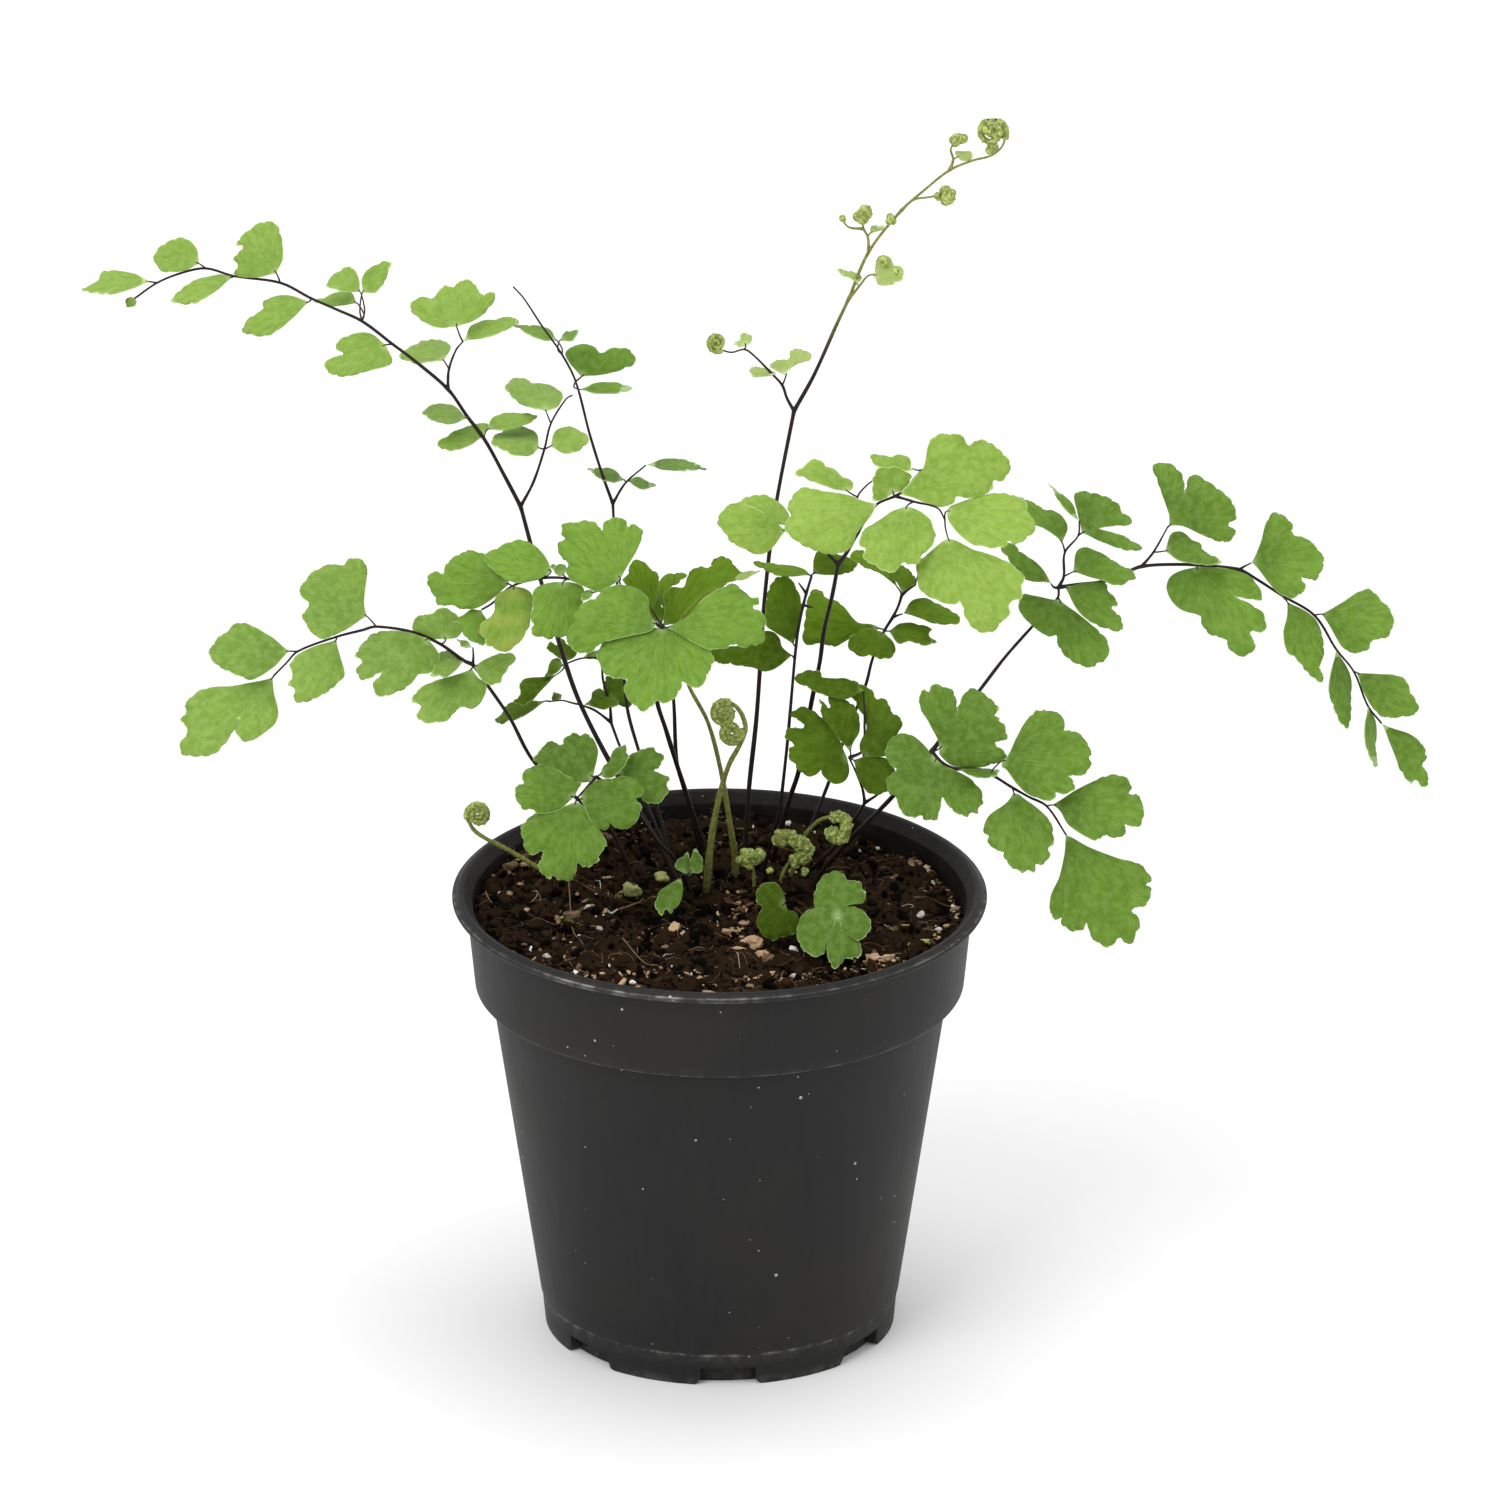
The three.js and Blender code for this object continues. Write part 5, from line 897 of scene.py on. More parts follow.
@dataclass
class Frond:
    """Foliage that stands for one node: its wiry stems, crosiers, buds and leaflets."""

    node: str
    growth: Growth
    base: tuple[float, float]
    rows: str
    tone: float = 0.0
    ripe_up: float = 400.0
    hairs: int = 0
    girth: float = 0.0
    stained: int = -1

    def __post_init__(self) -> None:
        """Sorts the rows by their first word, adds up their steps, and turns tenths into whole units."""
        self.parts = {"stem": [], "leaf": [], "coil": [], "bud": []}
        for kind, text in re.findall("([a-z]+)([^a-z]+)", self.rows):
            row = np.array(text.split(), float)
            if kind == "stem":
                row[1:] = np.cumsum(row[1:].reshape(-1, 3), axis=0).ravel()
            elif kind == "leaf":
                row[5:] = np.cumsum([row[:2], *row[5:].reshape(-1, 2)], axis=0)[1:].ravel()
            self.parts[kind].append((row / TENTHS).tolist())

    def youth(self, up: np.ndarray | float) -> np.ndarray | float:
        """How young the stem is at a height: 0 below ripe_up, 0.5 from 25 mm above it."""
        return 0.5 * smoothstep(self.ripe_up, self.ripe_up + 25.0, np.asarray(up, float))

    def joint(self, root: tuple) -> tuple:
        """Stem point nearest to a leaflet's root, as it is seen."""
        points = np.vstack([np.reshape(row[1:], (-1, 3)) for row in self.parts["stem"]]).tolist()
        return min(points, key=lambda p: math.hypot(p[0] - root[0], p[1] - root[1]))

    def grow_stems(self, wires: Shell, rng: Random) -> None:
        """Adds each stem: thickest at its foot, tapering, with slight knots where side stems leave.

        A stem thicker than FURLED_RADIUS is a furled leaf, and gets a crumpled surface.
        """
        for order, row in enumerate(self.parts["stem"]):
            radius, line = row[0], np.reshape(row[1:], (-1, 3))
            points, ups = place(line), line[:, 1]
            if order == 0:
                x, y = self.base
                foot = np.array([x, y, soil_level(x) - 0.4])
                foot = np.vstack([foot - 4.0 * unit(points[0] - foot), foot])
                points = np.vstack([foot, points])
                ups = np.concatenate([[ups[0] - 10, ups[0] - 4], ups])
            path = spline(np.column_stack([points, ups]), 0.55)
            along = np.linspace(0, 1, len(path))
            end = 0.72 if order == 0 else 0.5
            size = 0.93 * radius * (1 - (1 - end) * along)
            if order == 0:
                size = size * (1 + self.girth * (1 - along) ** 2)
            knots = [place(other[1:4])[0] for other in self.parts["stem"][1:]]
            if len(knots):
                gap = np.linalg.norm(path[:, None, :3] - np.array(knots), axis=2).min(axis=1)
                size = size * (1 + 0.22 * bell(gap, 0.9))
            size = size * (1 + 0.05 * np.sin(along * rng.uniform(20, 40)))
            if radius > FURLED_RADIUS:
                size = 0.8 * radius * np.ones(len(path))
                self.crumple(wires, path[:, :3], 1.15 * size, rng)
            tube(wires, path[:, :3], size, 10, youth=self.youth(path[:, 3]))
            self.add_hairs(wires, path[:, :3], size, rng)

    def crumple(self, wires: Shell, path: np.ndarray, size: np.ndarray, rng: Random) -> None:
        """Covers a path with small folded lobes, as a leaf has that is still rolled up.

        The lobes stand round the path at random angles, sunk to half.
        """
        for spot in np.repeat(np.arange(len(path)), 4):
            ahead = unit(path[min(spot + 1, len(path) - 1)] - path[max(spot - 1, 0)])
            out = rng.normal(size=3)
            out = unit(out - ahead * np.dot(out, ahead))
            body, triangles = folded(unit(out + 0.5 * rng.normal(size=3)), 2, 2, 0.25)
            body = body * size[spot] * rng.uniform(0.4, 0.62) * rng.uniform(0.8, 1.2, 3)
            wires.add(path[spot] + out * size[spot] * 0.75 + body, triangles, youth=rng.uniform(0.85, 1.0))

    def add_hairs(self, wires: Shell, path: np.ndarray, size: np.ndarray, rng: Random) -> None:
        """Adds short fine hairs that stand off a stem at random places."""
        if not self.hairs:
            return
        for spot in rng.integers(3, len(path) - 1, int(self.hairs * len(path) / 30)):
            out = rng.normal(size=3)
            ahead = unit(path[spot] - path[spot - 1])
            out = unit(out - ahead * np.dot(out, ahead))
            start = path[spot] + out * size[spot] * 0.85
            tip = start + out * rng.uniform(0.35, 0.8) + ahead * rng.uniform(-0.1, 0.4)
            line = np.vstack([start, (start + tip) / 2, tip])
            tube(wires, line, np.array([0.035, 0.028, 0.014]), 3, youth=0.9)

    def grow_crosiers(self, wires: Shell, rng: Random) -> None:
        """Adds the coiled tips: a thick flat spiral that winds in, with rolled leaflets as small knobs.

        The reach of the spiral falls evenly with the angle and the tube fills the space between its
        turns. The knobs stand on both faces and along the outside, each a ball with a little noise.
        """
        points, triangles = ball(1)
        for *centre, radius, start, direction, thick in self.parts["coil"]:
            part = np.linspace(0, 1, COIL_POINTS)
            turn = np.radians(start + direction * COIL_SWEEP * part)
            reach = radius * (1 - 0.86 * part)
            arm = np.column_stack([reach * np.cos(turn), reach * np.sin(turn), -0.4 * part])
            path = place(np.array(centre) + arm)
            size = min(1.45 * thick, 0.33 * radius) * (1.0 - 0.4 * part) + 0.12 * thick
            tube(wires, path, size, 10, youth=0.8)
            self.add_hairs(wires, path, size, rng)
            facing = np.array([0.0, -VIEW_COS, VIEW_SIN])
            for spot in range(4, COIL_POINTS, 3):
                out = unit(path[spot] - place(centre)[0])
                for side in (facing, -facing, out):
                    middle = path[spot] + side * size[spot] * 0.72 + rng.normal(0, 0.06, 3)
                    form = points * (size[spot] * rng.uniform(0.34, 0.52)) * rng.uniform(0.75, 1.2, 3)
                    wires.add(middle + form, triangles, youth=rng.uniform(0.8, 1.1))

    def grow_buds(self, wires: Shell, rng: Random) -> None:
        """Adds the buds: a cluster of rolled leaflets, each an egg shape with folds along its length."""
        for *centre, radius in self.parts["bud"]:
            middle = place(centre)[0]
            count = 1 if radius < 0.8 else 5
            for _ in range(count):
                shift = unit(rng.normal(size=3)) * radius * (0.0 if count == 1 else 0.42)
                size = radius * (0.95 if count == 1 else rng.uniform(0.5, 0.66))
                axis = unit(rng.normal(size=3) + np.array([0, 0, 1.2]))
                body, triangles = folded(axis, 3, 2.5, 0.18)
                body += np.outer(body @ axis * 0.25, axis)
                wires.add(middle + shift + size * body, triangles, youth=rng.uniform(0.85, 1.15))

    def make(self, number: int, leaf: bpy.types.Material, stem: bpy.types.Material) -> None:
        """Builds the leaflets and the stems, dresses them and puts them in the node's place.

        Args:
            number: the plant's number, from which its random differences come.
            leaf: finish of the leaflets.
            stem: finish of the stems.
        """
        rng = np.random.default_rng(SEED * 100 + number)
        blades, wires = Shell(), Shell()
        self.grow_stems(wires, rng)
        self.grow_crosiers(wires, rng)
        self.grow_buds(wires, rng)
        for order, row in enumerate(self.parts["leaf"]):
            leaflet = Leaflet.read(row)
            joint = self.joint(leaflet.root)
            stain = 0.5 if order == self.stained else 0.0
            youth = float(self.youth(joint[1]))
            seed = SEED * 1000 + number * 50 + order
            leaflet.grow(blades, wires, joint, order, seed, youth, self.tone, stain)
        for shell, title, material in ((blades, "leaflets", leaf), (wires, "stems", stem)):
            if shell.count:
                shell.keep_inside()
                piece = shell.build(f"{self.node}_{title}")
                piece.data.set_sharp_from_angle(angle=math.radians(65))
                dress(piece, material, self.node)


def dress(piece: bpy.types.Object, material: bpy.types.Material, node: str) -> None:
    """Gives a piece its material and the body that it moves with, and hides the part of the node that it stands
    for.
    """
    piece.data.materials.append(material)
    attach(piece, BODY)
    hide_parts(node)


# Pot and soil


def rounded(profile: list[tuple[float, float]], radius: float, cuts: int = 4) -> np.ndarray:
    """Profile whose inner corners are replaced by small arcs.

    Args:
        profile: corners as radius and height.
        radius: most that an arc takes off either side of a corner.
        cuts: number of steps in an arc.

    Returns:
        The new profile. An arc is the square Bezier curve that leaves one side and meets the next.
    """
    corners = np.array(profile, float)
    kept = [corners[:1]]
    t = np.linspace(0, 1, cuts + 1)[:, None]
    for before, corner, after in zip(corners, corners[1:], corners[2:]):
        back, ahead = before - corner, after - corner
        reach = min(radius, np.linalg.norm(back) * 0.45, np.linalg.norm(ahead) * 0.45)
        start = corner + unit(back) * reach
        end = corner + unit(ahead) * reach
        kept.append((1 - t) ** 2 * start + 2 * t * (1 - t) * corner + t**2 * end)
    return np.vstack([*kept, corners[-1:]])


def refine(profile: np.ndarray, step: float) -> np.ndarray:
    """Profile with its long sides cut into steps of at most the given length."""
    kept = [profile[:1]]
    for start, end in zip(profile, profile[1:]):
        count = max(1, math.ceil(np.linalg.norm(end - start) / step))
        kept.append(start + (end - start) * (np.arange(1, count + 1) / count)[:, None])
    return np.vstack(kept)


@dataclass
class Pot:
    """Moulded nursery pot: foot ring with notches, tapered wall, collar, rolled lip, drained floor."""

    height: float = POT_HEIGHT
    rim: float = 52.5
    crown: float = 51.1
    mouth: float = 50.0
    collar: float = 49.8
    collar_foot: float = 48.0
    collar_height: float = 19.5
    lip_height: float = 1.8
    shoulder: float = 44.9
    foot: float = 34.3
    wall: float = 1.3
    crease: float = 6.7
    underside: float = 3.7
    floor: float = 5.3
    disc: float = 12.0
    ring: float = 4.4
    notches: int = 7
    notch_width: float = 10.8
    notch_depth: float = 2.4
    notch_turn: float = 2.8
    drain: float = 3.4
    drain_circle: float = 25.0
    rounding: float = 1.7
    columns: int = 288
    floor_columns: int = 96
    hole_columns: int = 24

    def notch_gap(self, turn: np.ndarray) -> np.ndarray:
        """Angle from each given angle to the middle of the nearest notch."""
        middles = np.radians(self.notch_turn - 90 + np.arange(self.notches) * 360 / self.notches)
        return np.abs((turn[:, None] - middles + np.pi) % (2 * np.pi) - np.pi).min(axis=1)

    def profile(self) -> np.ndarray:
        """Wall from the inside of the foot ring, down, out, up over the lip and down inside."""
        top, foot, cut = self.height, self.foot, self.foot - self.notch_depth
        lip, ledge = top - self.lip_height, top - self.collar_height
        shoulder, ankle, side, rim = self.shoulder, self.collar_foot, self.collar, self.rim
        crown, mouth, wall, crease = self.crown, self.mouth, self.wall, self.crease
        corners = [
            (foot - self.ring, self.underside), (foot - self.ring, 0), (cut - 0.01, 0), (cut + 0.01, 0),
            (foot, 0), (foot + 0.62, crease - 0.35), (foot + 0.42, crease - 0.1), (foot + 0.9, crease + 0.25),
            (shoulder - 0.1, ledge - 1.5), (shoulder, ledge), (ankle - 0.25, ledge), (ankle, ledge + 0.35),
            (side - 0.05, lip - 0.5), (rim - 1.3, lip - 0.02), (rim - 0.3, lip + 0.02), (rim, lip + 0.3),
            (rim, lip + 0.85), (rim - 0.4, lip + 1.05), (rim - 0.55, lip + 1.0), (crown, top - 0.02),
            (crown - 0.7, top - 0.1), (crown - 0.82, top - 0.25), (mouth + 0.1, top - 0.28),
            (mouth - 0.15, top - 0.6), (side - wall, lip - 0.4), (ankle - wall, ledge + wall),
            (shoulder - wall, ledge + wall), (foot + 0.9 - wall, self.floor), (0.01, self.floor),
        ]
        return refine(rounded(corners, 0.22), 2.4)

    def add_wall(self, shell: Shell) -> None:
        """Adds the wall: the profile turned round the axis, with the foot ring cut away in the notches.

        A column of the grid stands at each angle, and two at each side of a notch. In a notch no
        point of the ring's outer part is lower than the underside, and beside it the foot is rounded
        by a quarter circle. The wall is very slightly out of round: its radius loses up to 0.12 mm
        by a slow cosine of the angle.
        """
        profile = self.profile()
        half = math.asin(self.notch_width / 2 / self.foot)
        middles = np.radians(self.notch_turn - 90 + np.arange(self.notches) * 360 / self.notches)
        even = np.linspace(0, 2 * np.pi, self.columns, endpoint=False)
        even = even[np.abs(self.notch_gap(even) - half) > 0.004]
        sides = np.concatenate([middles - half, middles + half]) % (2 * np.pi)
        turn = np.sort(np.concatenate([even, sides - 1e-6, sides + 1e-6]))
        away = self.notch_gap(turn)
        cut = away < half
        radius, z = profile[:, :1], np.repeat(profile[:, 1:], len(turn), axis=1)
        low = (radius > self.foot - self.notch_depth) & (radius < self.foot + 2) & (z < self.underside)
        beside = np.clip((away - half) * self.foot / self.rounding, 0.0, 1.0)
        round_up = self.rounding * (1 - np.sqrt(1 - (1 - beside) ** 2))
        floor_line = np.where(cut, self.underside, round_up)[None]
        z = np.where(low, np.maximum(z, floor_line), z)
        loss = 0.06 * (1 - np.cos(2 * turn + 0.6)) * smoothstep(20, 90, z)
        radii = radius - loss
        points = np.stack([radii * np.cos(turn), radii * np.sin(turn), z], axis=-1).reshape(-1, 3)
        ledge, lip = self.height - self.collar_height, self.height - self.lip_height
        outer = radii > self.shoulder * z / ledge * 0.2 + self.foot * 0.85
        # Real wear on the crease, the collar's step and the foot's bottom edge; on the lip's outer edge, a
        # painted highlight.
        wear = bell(z - self.crease + 0.1, 0.3) + 0.5 * bell(z - ledge, 0.35)
        wear += 0.9 * bell(radii - self.rim + 0.4, 0.2) * (z > lip) + 0.3 * bell(z, 0.6)
        # The inner wall from the lip down to the collar's step gets the dark soil colour: dirt and painted
        # shade.
        along = np.arange(len(profile))[:, None]
        dirt = np.where((along > np.argmax(profile[:, 1]) + 6) & (z > ledge), 1.0, 0.0)
        # Painted highlight: a pale line along the lip's outer edge at the front left.
        front = bell(turn - 4.35, 0.42)[None]
        wear = wear + 1.1 * front * bell(radii - self.rim + 0.35, 0.22) * (z > lip)
        shell.add(
            points,
            quads=sweep_grid(len(profile), len(turn))[:, ::-1],
            wear=np.clip(wear * outer, 0, 2).ravel(),
            dirt=np.clip(dirt, 0, 1).ravel(),
        )

    def add_floor(self, shell: Shell) -> None:
        """Adds the middle button of the foot, and the floor with its drain holes and their walls."""
        turn = np.linspace(0, 2 * np.pi, self.floor_columns, endpoint=False)
        circle = np.column_stack([np.cos(turn), np.sin(turn)])
        button = refine(rounded([(0.01, 0), (self.disc, 0), (self.disc, self.underside)], 0.4), 4)
        points = np.concatenate([np.column_stack([circle * r, np.full(len(turn), z)]) for r, z in button])
        # The button, the floor and the drain holes' walls take some of the same dark soil colour: dirt and
        # painted shade.
        shell.add(points, quads=sweep_grid(len(button), len(turn))[:, ::-1], wear=0.2, dirt=0.2)
        spots = np.radians(self.notch_turn - 90 + (np.arange(self.notches) + 0.5) * 360 / self.notches)
        holes = self.drain_circle * np.column_stack([np.cos(spots), np.sin(spots)])
        small = circle[:: self.floor_columns // self.hole_columns] * self.drain
        rings = [circle * self.disc, circle * (self.foot - self.ring), *(hole + small for hole in holes)]
        edges, first = [], 0
        for ring in rings:
            edges += loop(len(ring), first)
            first += len(ring)
        found, faces = fill(np.vstack(rings), edges, 0, 1e-6)
        middle = found[faces].mean(axis=1)
        apart = np.linalg.norm(middle[:, None] - holes[None], axis=2).min(axis=1)
        faces = faces[(np.linalg.norm(middle, axis=1) > self.disc - 0.05) & (apart > self.drain * 0.98)]
        points = np.column_stack([found, np.full(len(found), self.underside)])
        shell.add(points, faces[:, ::-1], wear=0.0, dirt=0.3)
        for hole in holes:
            levels = np.repeat([self.underside, self.floor], len(small))
            wall = np.column_stack([np.tile(hole + small, (2, 1)), levels])
            shell.add(wall, quads=sweep_grid(2, len(small)), wear=0.0, dirt=0.6)

    def make(self, material: bpy.types.Material) -> None:
        """Builds and dresses the pot."""
        shell = Shell()
        self.add_wall(shell)
        self.add_floor(shell)
        piece = shell.build("pot_shell")
        piece.data.set_sharp_from_angle(angle=math.radians(60))
        dress(piece, material, "pot")


@dataclass
class Soil:
    """Potting mix: a crumbly surface, crumbs, fibres, and bits of bark, perlite and moss."""

    edge: float = 48.1
    relief: float = 1.3
    rings: int = 150
    columns: int = 540
    crumbs: int = 2150
    fibres: int = 420
    roots: int = 16
    chips: int = 170
    grains: int = 24
    hollow: tuple[float, float] = (-1.5, 6.0)
    noise: Noise = field(default_factory=lambda: Noise(SEED))

    def height(self, x: np.ndarray, y: np.ndarray) -> np.ndarray:
        """Height of the surface: the level, less a slow wave, plus clods of three sizes.

        The hollow round the stems is taken off as a bell curve of the distance to its middle.
        """
        wave = 2 + np.sin(x * 0.31 + y * 0.11) + np.cos(y * 0.37 - x * 0.17)
        dip = 2.4 * np.exp(-(((x - self.hollow[0]) / 6.5) ** 2 + ((y - self.hollow[1]) / 6.0) ** 2))
        return soil_level(x) - self.relief * wave / 4 - 0.7 - dip + self.clods(x, y)

    def clods(self, x: np.ndarray, y: np.ndarray) -> np.ndarray:
        """Clods of three sizes: noise folded at zero, so that they are round above and creased between."""
        flat = np.column_stack([x, y, np.zeros_like(x)])
        clods = np.abs(self.noise(flat, 5.5, 2)) * 1.7 + np.abs(self.noise(flat + 40, 2.1, 2)) * 1.0
        return clods + self.noise(flat + 90, 0.8, 2) * 0.2

    def spot(self, across: np.ndarray, up: np.ndarray) -> np.ndarray:
        """Points of the surface that are seen at the given places, those past the edge drawn in to it."""
        across, up = np.atleast_1d(across).astype(float), np.atleast_1d(up).astype(float)
        drop = soil_level(across) - 0.4 - SIGHT_HEIGHT
        spots = np.stack([across, (up - drop * VIEW_COS) / VIEW_SIN])
        spots *= np.minimum(1, (self.edge - 1.5) / np.hypot(*spots))
        return np.column_stack([*spots, self.height(*spots)])

    def add_bed(self, shell: Shell) -> None:
        """Adds the surface as rings round the middle, and the plug below it down to the floor."""
        turn = np.linspace(0, 2 * np.pi, self.columns, endpoint=False)
        reach = self.edge * np.sqrt(np.linspace(1e-5, 1, self.rings))
        x, y = np.outer(reach, np.cos(turn)), np.outer(reach, np.sin(turn))
        z = self.height(x.ravel(), y.ravel()).reshape(x.shape)
        z -= 0.8 * smoothstep(self.edge - 1.6, self.edge, reach)[:, None]
        # Painted light and shade: the bed is lighter on the clods' tops and darker in the creases between them.
        tone = 4.2 * self.clods(x.ravel(), y.ravel()) - 2.6
        below = [(47.4, 80.0), (46.0, 73.6), (43.0, 73.6), (42.9, 71.0), (33.4, 5.9), (0.01, 5.9)]
        rows = [np.stack([x, y, z], axis=-1)]
        for radius, level in below:
            ring = [radius * np.cos(turn), radius * np.sin(turn), np.full_like(turn, level)]
            rows.append(np.stack(ring, axis=-1)[None])
        points = np.concatenate(rows)
        quads = sweep_grid(points.shape[0], self.columns)
        tone = np.concatenate([np.clip(tone, -1.6, 1.2), np.zeros(len(below) * self.columns)])
        shell.add(points.reshape(-1, 3), quads=quads, tone=tone)

    def scatter(self, rng: Random, count: int) -> np.ndarray:
        """Random points on the surface, evenly spread over its area."""
        reach = (self.edge - 1.2) * np.sqrt(rng.uniform(0, 1, count))
        turn = rng.uniform(0, 2 * np.pi, count)
        x, y = reach * np.cos(turn), reach * np.sin(turn)
        return np.column_stack([x, y, self.height(x, y)])

    def lump(
        self, shell: Shell, middle: np.ndarray, size: np.ndarray, turn: float, rng: Random,
        detail: int = 2, rough: float = 0.3, square: float = 1.0, tone: float = 0.0,
    ) -> None:
        """Adds a rough lump.

        Args:
            shell: takes the lump.
            middle: its centre.
            size: half its length, width and thickness.
            turn: its heading about the vertical, in radians.
            rng: source of its tone and tilt.
            detail: fineness of the ball that it is shaped from.
            rough: strength of the noise that moves each point in or out.
            square: 1 for a round lump; less makes it blocky, by raising each coordinate to that power.
            tone: 0 for the kind's own tone, less for a dark lump and more for a light one.
        """
        points, triangles = ball(detail)
        form = np.sign(points) * np.abs(points) ** square
        form = form * (1 + rough * self.noise(points + rng.uniform(0, 90, 3), 0.9, 2))[:, None] * size
        tilt = rng.normal(0, 0.22, 2)
        form[:, 2] += form[:, 0] * tilt[0] + form[:, 1] * tilt[1]
        (x, y, z), cosine, sine = form.T, math.cos(turn), math.sin(turn)
        turned = np.column_stack([x * cosine - y * sine, x * sine + y * cosine, z])
        shell.add(middle + turned, triangles, tone=tone + rng.uniform(-1, 1))

    def add_crumbs(self, shell: Shell, rng: Random) -> None:
        """Adds crumbs of peat, many small and few large, sunk to about a third."""
        for middle in self.scatter(rng, self.crumbs):
            size = 0.22 + 0.75 * rng.uniform() ** 4
            shape = size * rng.uniform(0.55, 1.35, 3)
            middle[2] += size * 0.25
            self.lump(shell, middle, shape, rng.uniform(0, 6), rng, 1, 0.75, 0.85, rng.uniform(-1.2, 0.6))

    def add_fibres(
        self, shell: Shell, rng: Random, count: int, thick: float, long: float
    ) -> None:
        """Adds fine fibres that lie on the surface in loose bends."""
        for middle in self.scatter(rng, count):
            heading, bend = rng.uniform(0, 2 * np.pi), rng.normal(0, 0.5)
            reach = rng.uniform(0.4, 1.0) * long
            part = np.linspace(-0.5, 0.5, 9)
            way = heading + bend * part * 2
            x = middle[0] + reach * part * np.cos(way)
            y = middle[1] + reach * part * np.sin(way)
            fits = np.hypot(x, y) < self.edge - 0.6
            if fits.sum() < 4:
                continue
            x, y = x[fits], y[fits]
            z = self.height(x, y) + thick * 0.8 + rng.uniform(0, 0.5) * np.sin(np.linspace(0, 3.1, len(x)))
            z = np.convolve(np.pad(z, 1, mode="edge"), [0.25, 0.5, 0.25], "valid")
            size = thick * rng.uniform(0.6, 1.2) * np.linspace(1.0, 0.5, len(x))
            tube(shell, np.column_stack([x, y, z]), size, 5, tone=rng.uniform(-1, 1))

    def add_strands(self, pieces: dict[str, Shell]) -> None:
        """Adds each listed strand, laid over the clods."""
        for kind, radius, tone, *line in STRANDS:
            across, up = np.reshape(line, (-1, 2)).T
            path = spline(self.spot(across, up) + [0, 0, radius + 0.3], 0.5)
            path[:, 2] = np.maximum(path[:, 2], self.height(path[:, 0], path[:, 1]) + 0.8 * radius)
            tube(pieces[kind], path, radius * np.linspace(1, 0.6, len(path)), 6, tone=tone)

    def add_debris(self, shell: Shell, bits: list[tuple], rng: Random, **form: float) -> None:
        """Adds each listed bit, half sunk at its place."""
        for across, up, *size, turn, tone in bits:
            middle = self.spot(across, up)[0] + [0, 0, 0.35 * size[2]]
            self.lump(shell, middle, np.array(size), math.radians(turn), rng, 3, tone=tone, **form)

    def add_patches(self, pieces: dict[str, Shell], rng: Random) -> None:
        """Adds the bits of each listed patch, scattered round its place by a normal law."""
        for kind, across, up, wide, high, count, size, tone in PATCHES:
            spots = self.spot(rng.normal(across, wide, count), rng.normal(up, high, count))
            for middle in spots + [0, 0, 0.15]:
                shape = size * rng.uniform(0.5, 1.4, 3) * [1.2, 0.8, 0.6]
                self.lump(pieces[kind], middle, shape, rng.uniform(0, 6), rng, 1, 0.5, 0.8, tone)

    def make(self, finishes: dict[str, bpy.types.Material]) -> None:
        """Builds and dresses the bed and all that lies on it."""
        rng = np.random.default_rng(SEED + 5)
        pieces = {name: Shell() for name in finishes}
        self.add_bed(pieces["bed"])
        self.add_crumbs(pieces["crumbs"], rng)
        self.add_fibres(pieces["fibres"], rng, self.fibres, 0.085, 6.5)
        self.add_fibres(pieces["roots"], rng, self.roots, 0.1, 6.0)
        self.add_strands(pieces)
        self.add_debris(pieces["bark"], BARK, rng, rough=0.55, square=0.75)
        for middle in self.scatter(rng, self.chips):
            size = np.array([rng.uniform(0.3, 1.5), rng.uniform(0.2, 0.7), rng.uniform(0.15, 0.4)])
            tone = rng.uniform(-1.6, 0.2)
            self.lump(pieces["bark"], middle + [0, 0, 0.2], size, rng.uniform(0, 6), rng, 1, 0.4, 0.7, tone)
        self.add_patches(pieces, rng)
        self.add_debris(pieces["perlite"], PERLITE, rng, rough=0.35)
        for middle in self.scatter(rng, self.grains):
            self.lump(pieces["perlite"], middle + [0, 0, 0.1], rng.uniform(0.12, 0.4, 3), 0.0, rng, 2, 0.35)
        self.add_debris(pieces["moss"], MOSS, rng, rough=0.5)
        for name, shell in pieces.items():
            dress(shell.build(f"soil_{name}"), finishes[name], "soil")


# Fronds. A stem is its radius, and its points across, up and in depth. A leaflet is its root, its two slopes,
# its tone, and its outline across and up from the root. Each point after the first is a step from the last.
# A coil is its middle, radius, first angle, sense (10 or -10) and thickness, and a bud its middle and radius.
# All are tenths of a millimetre, of a degree, or of one.

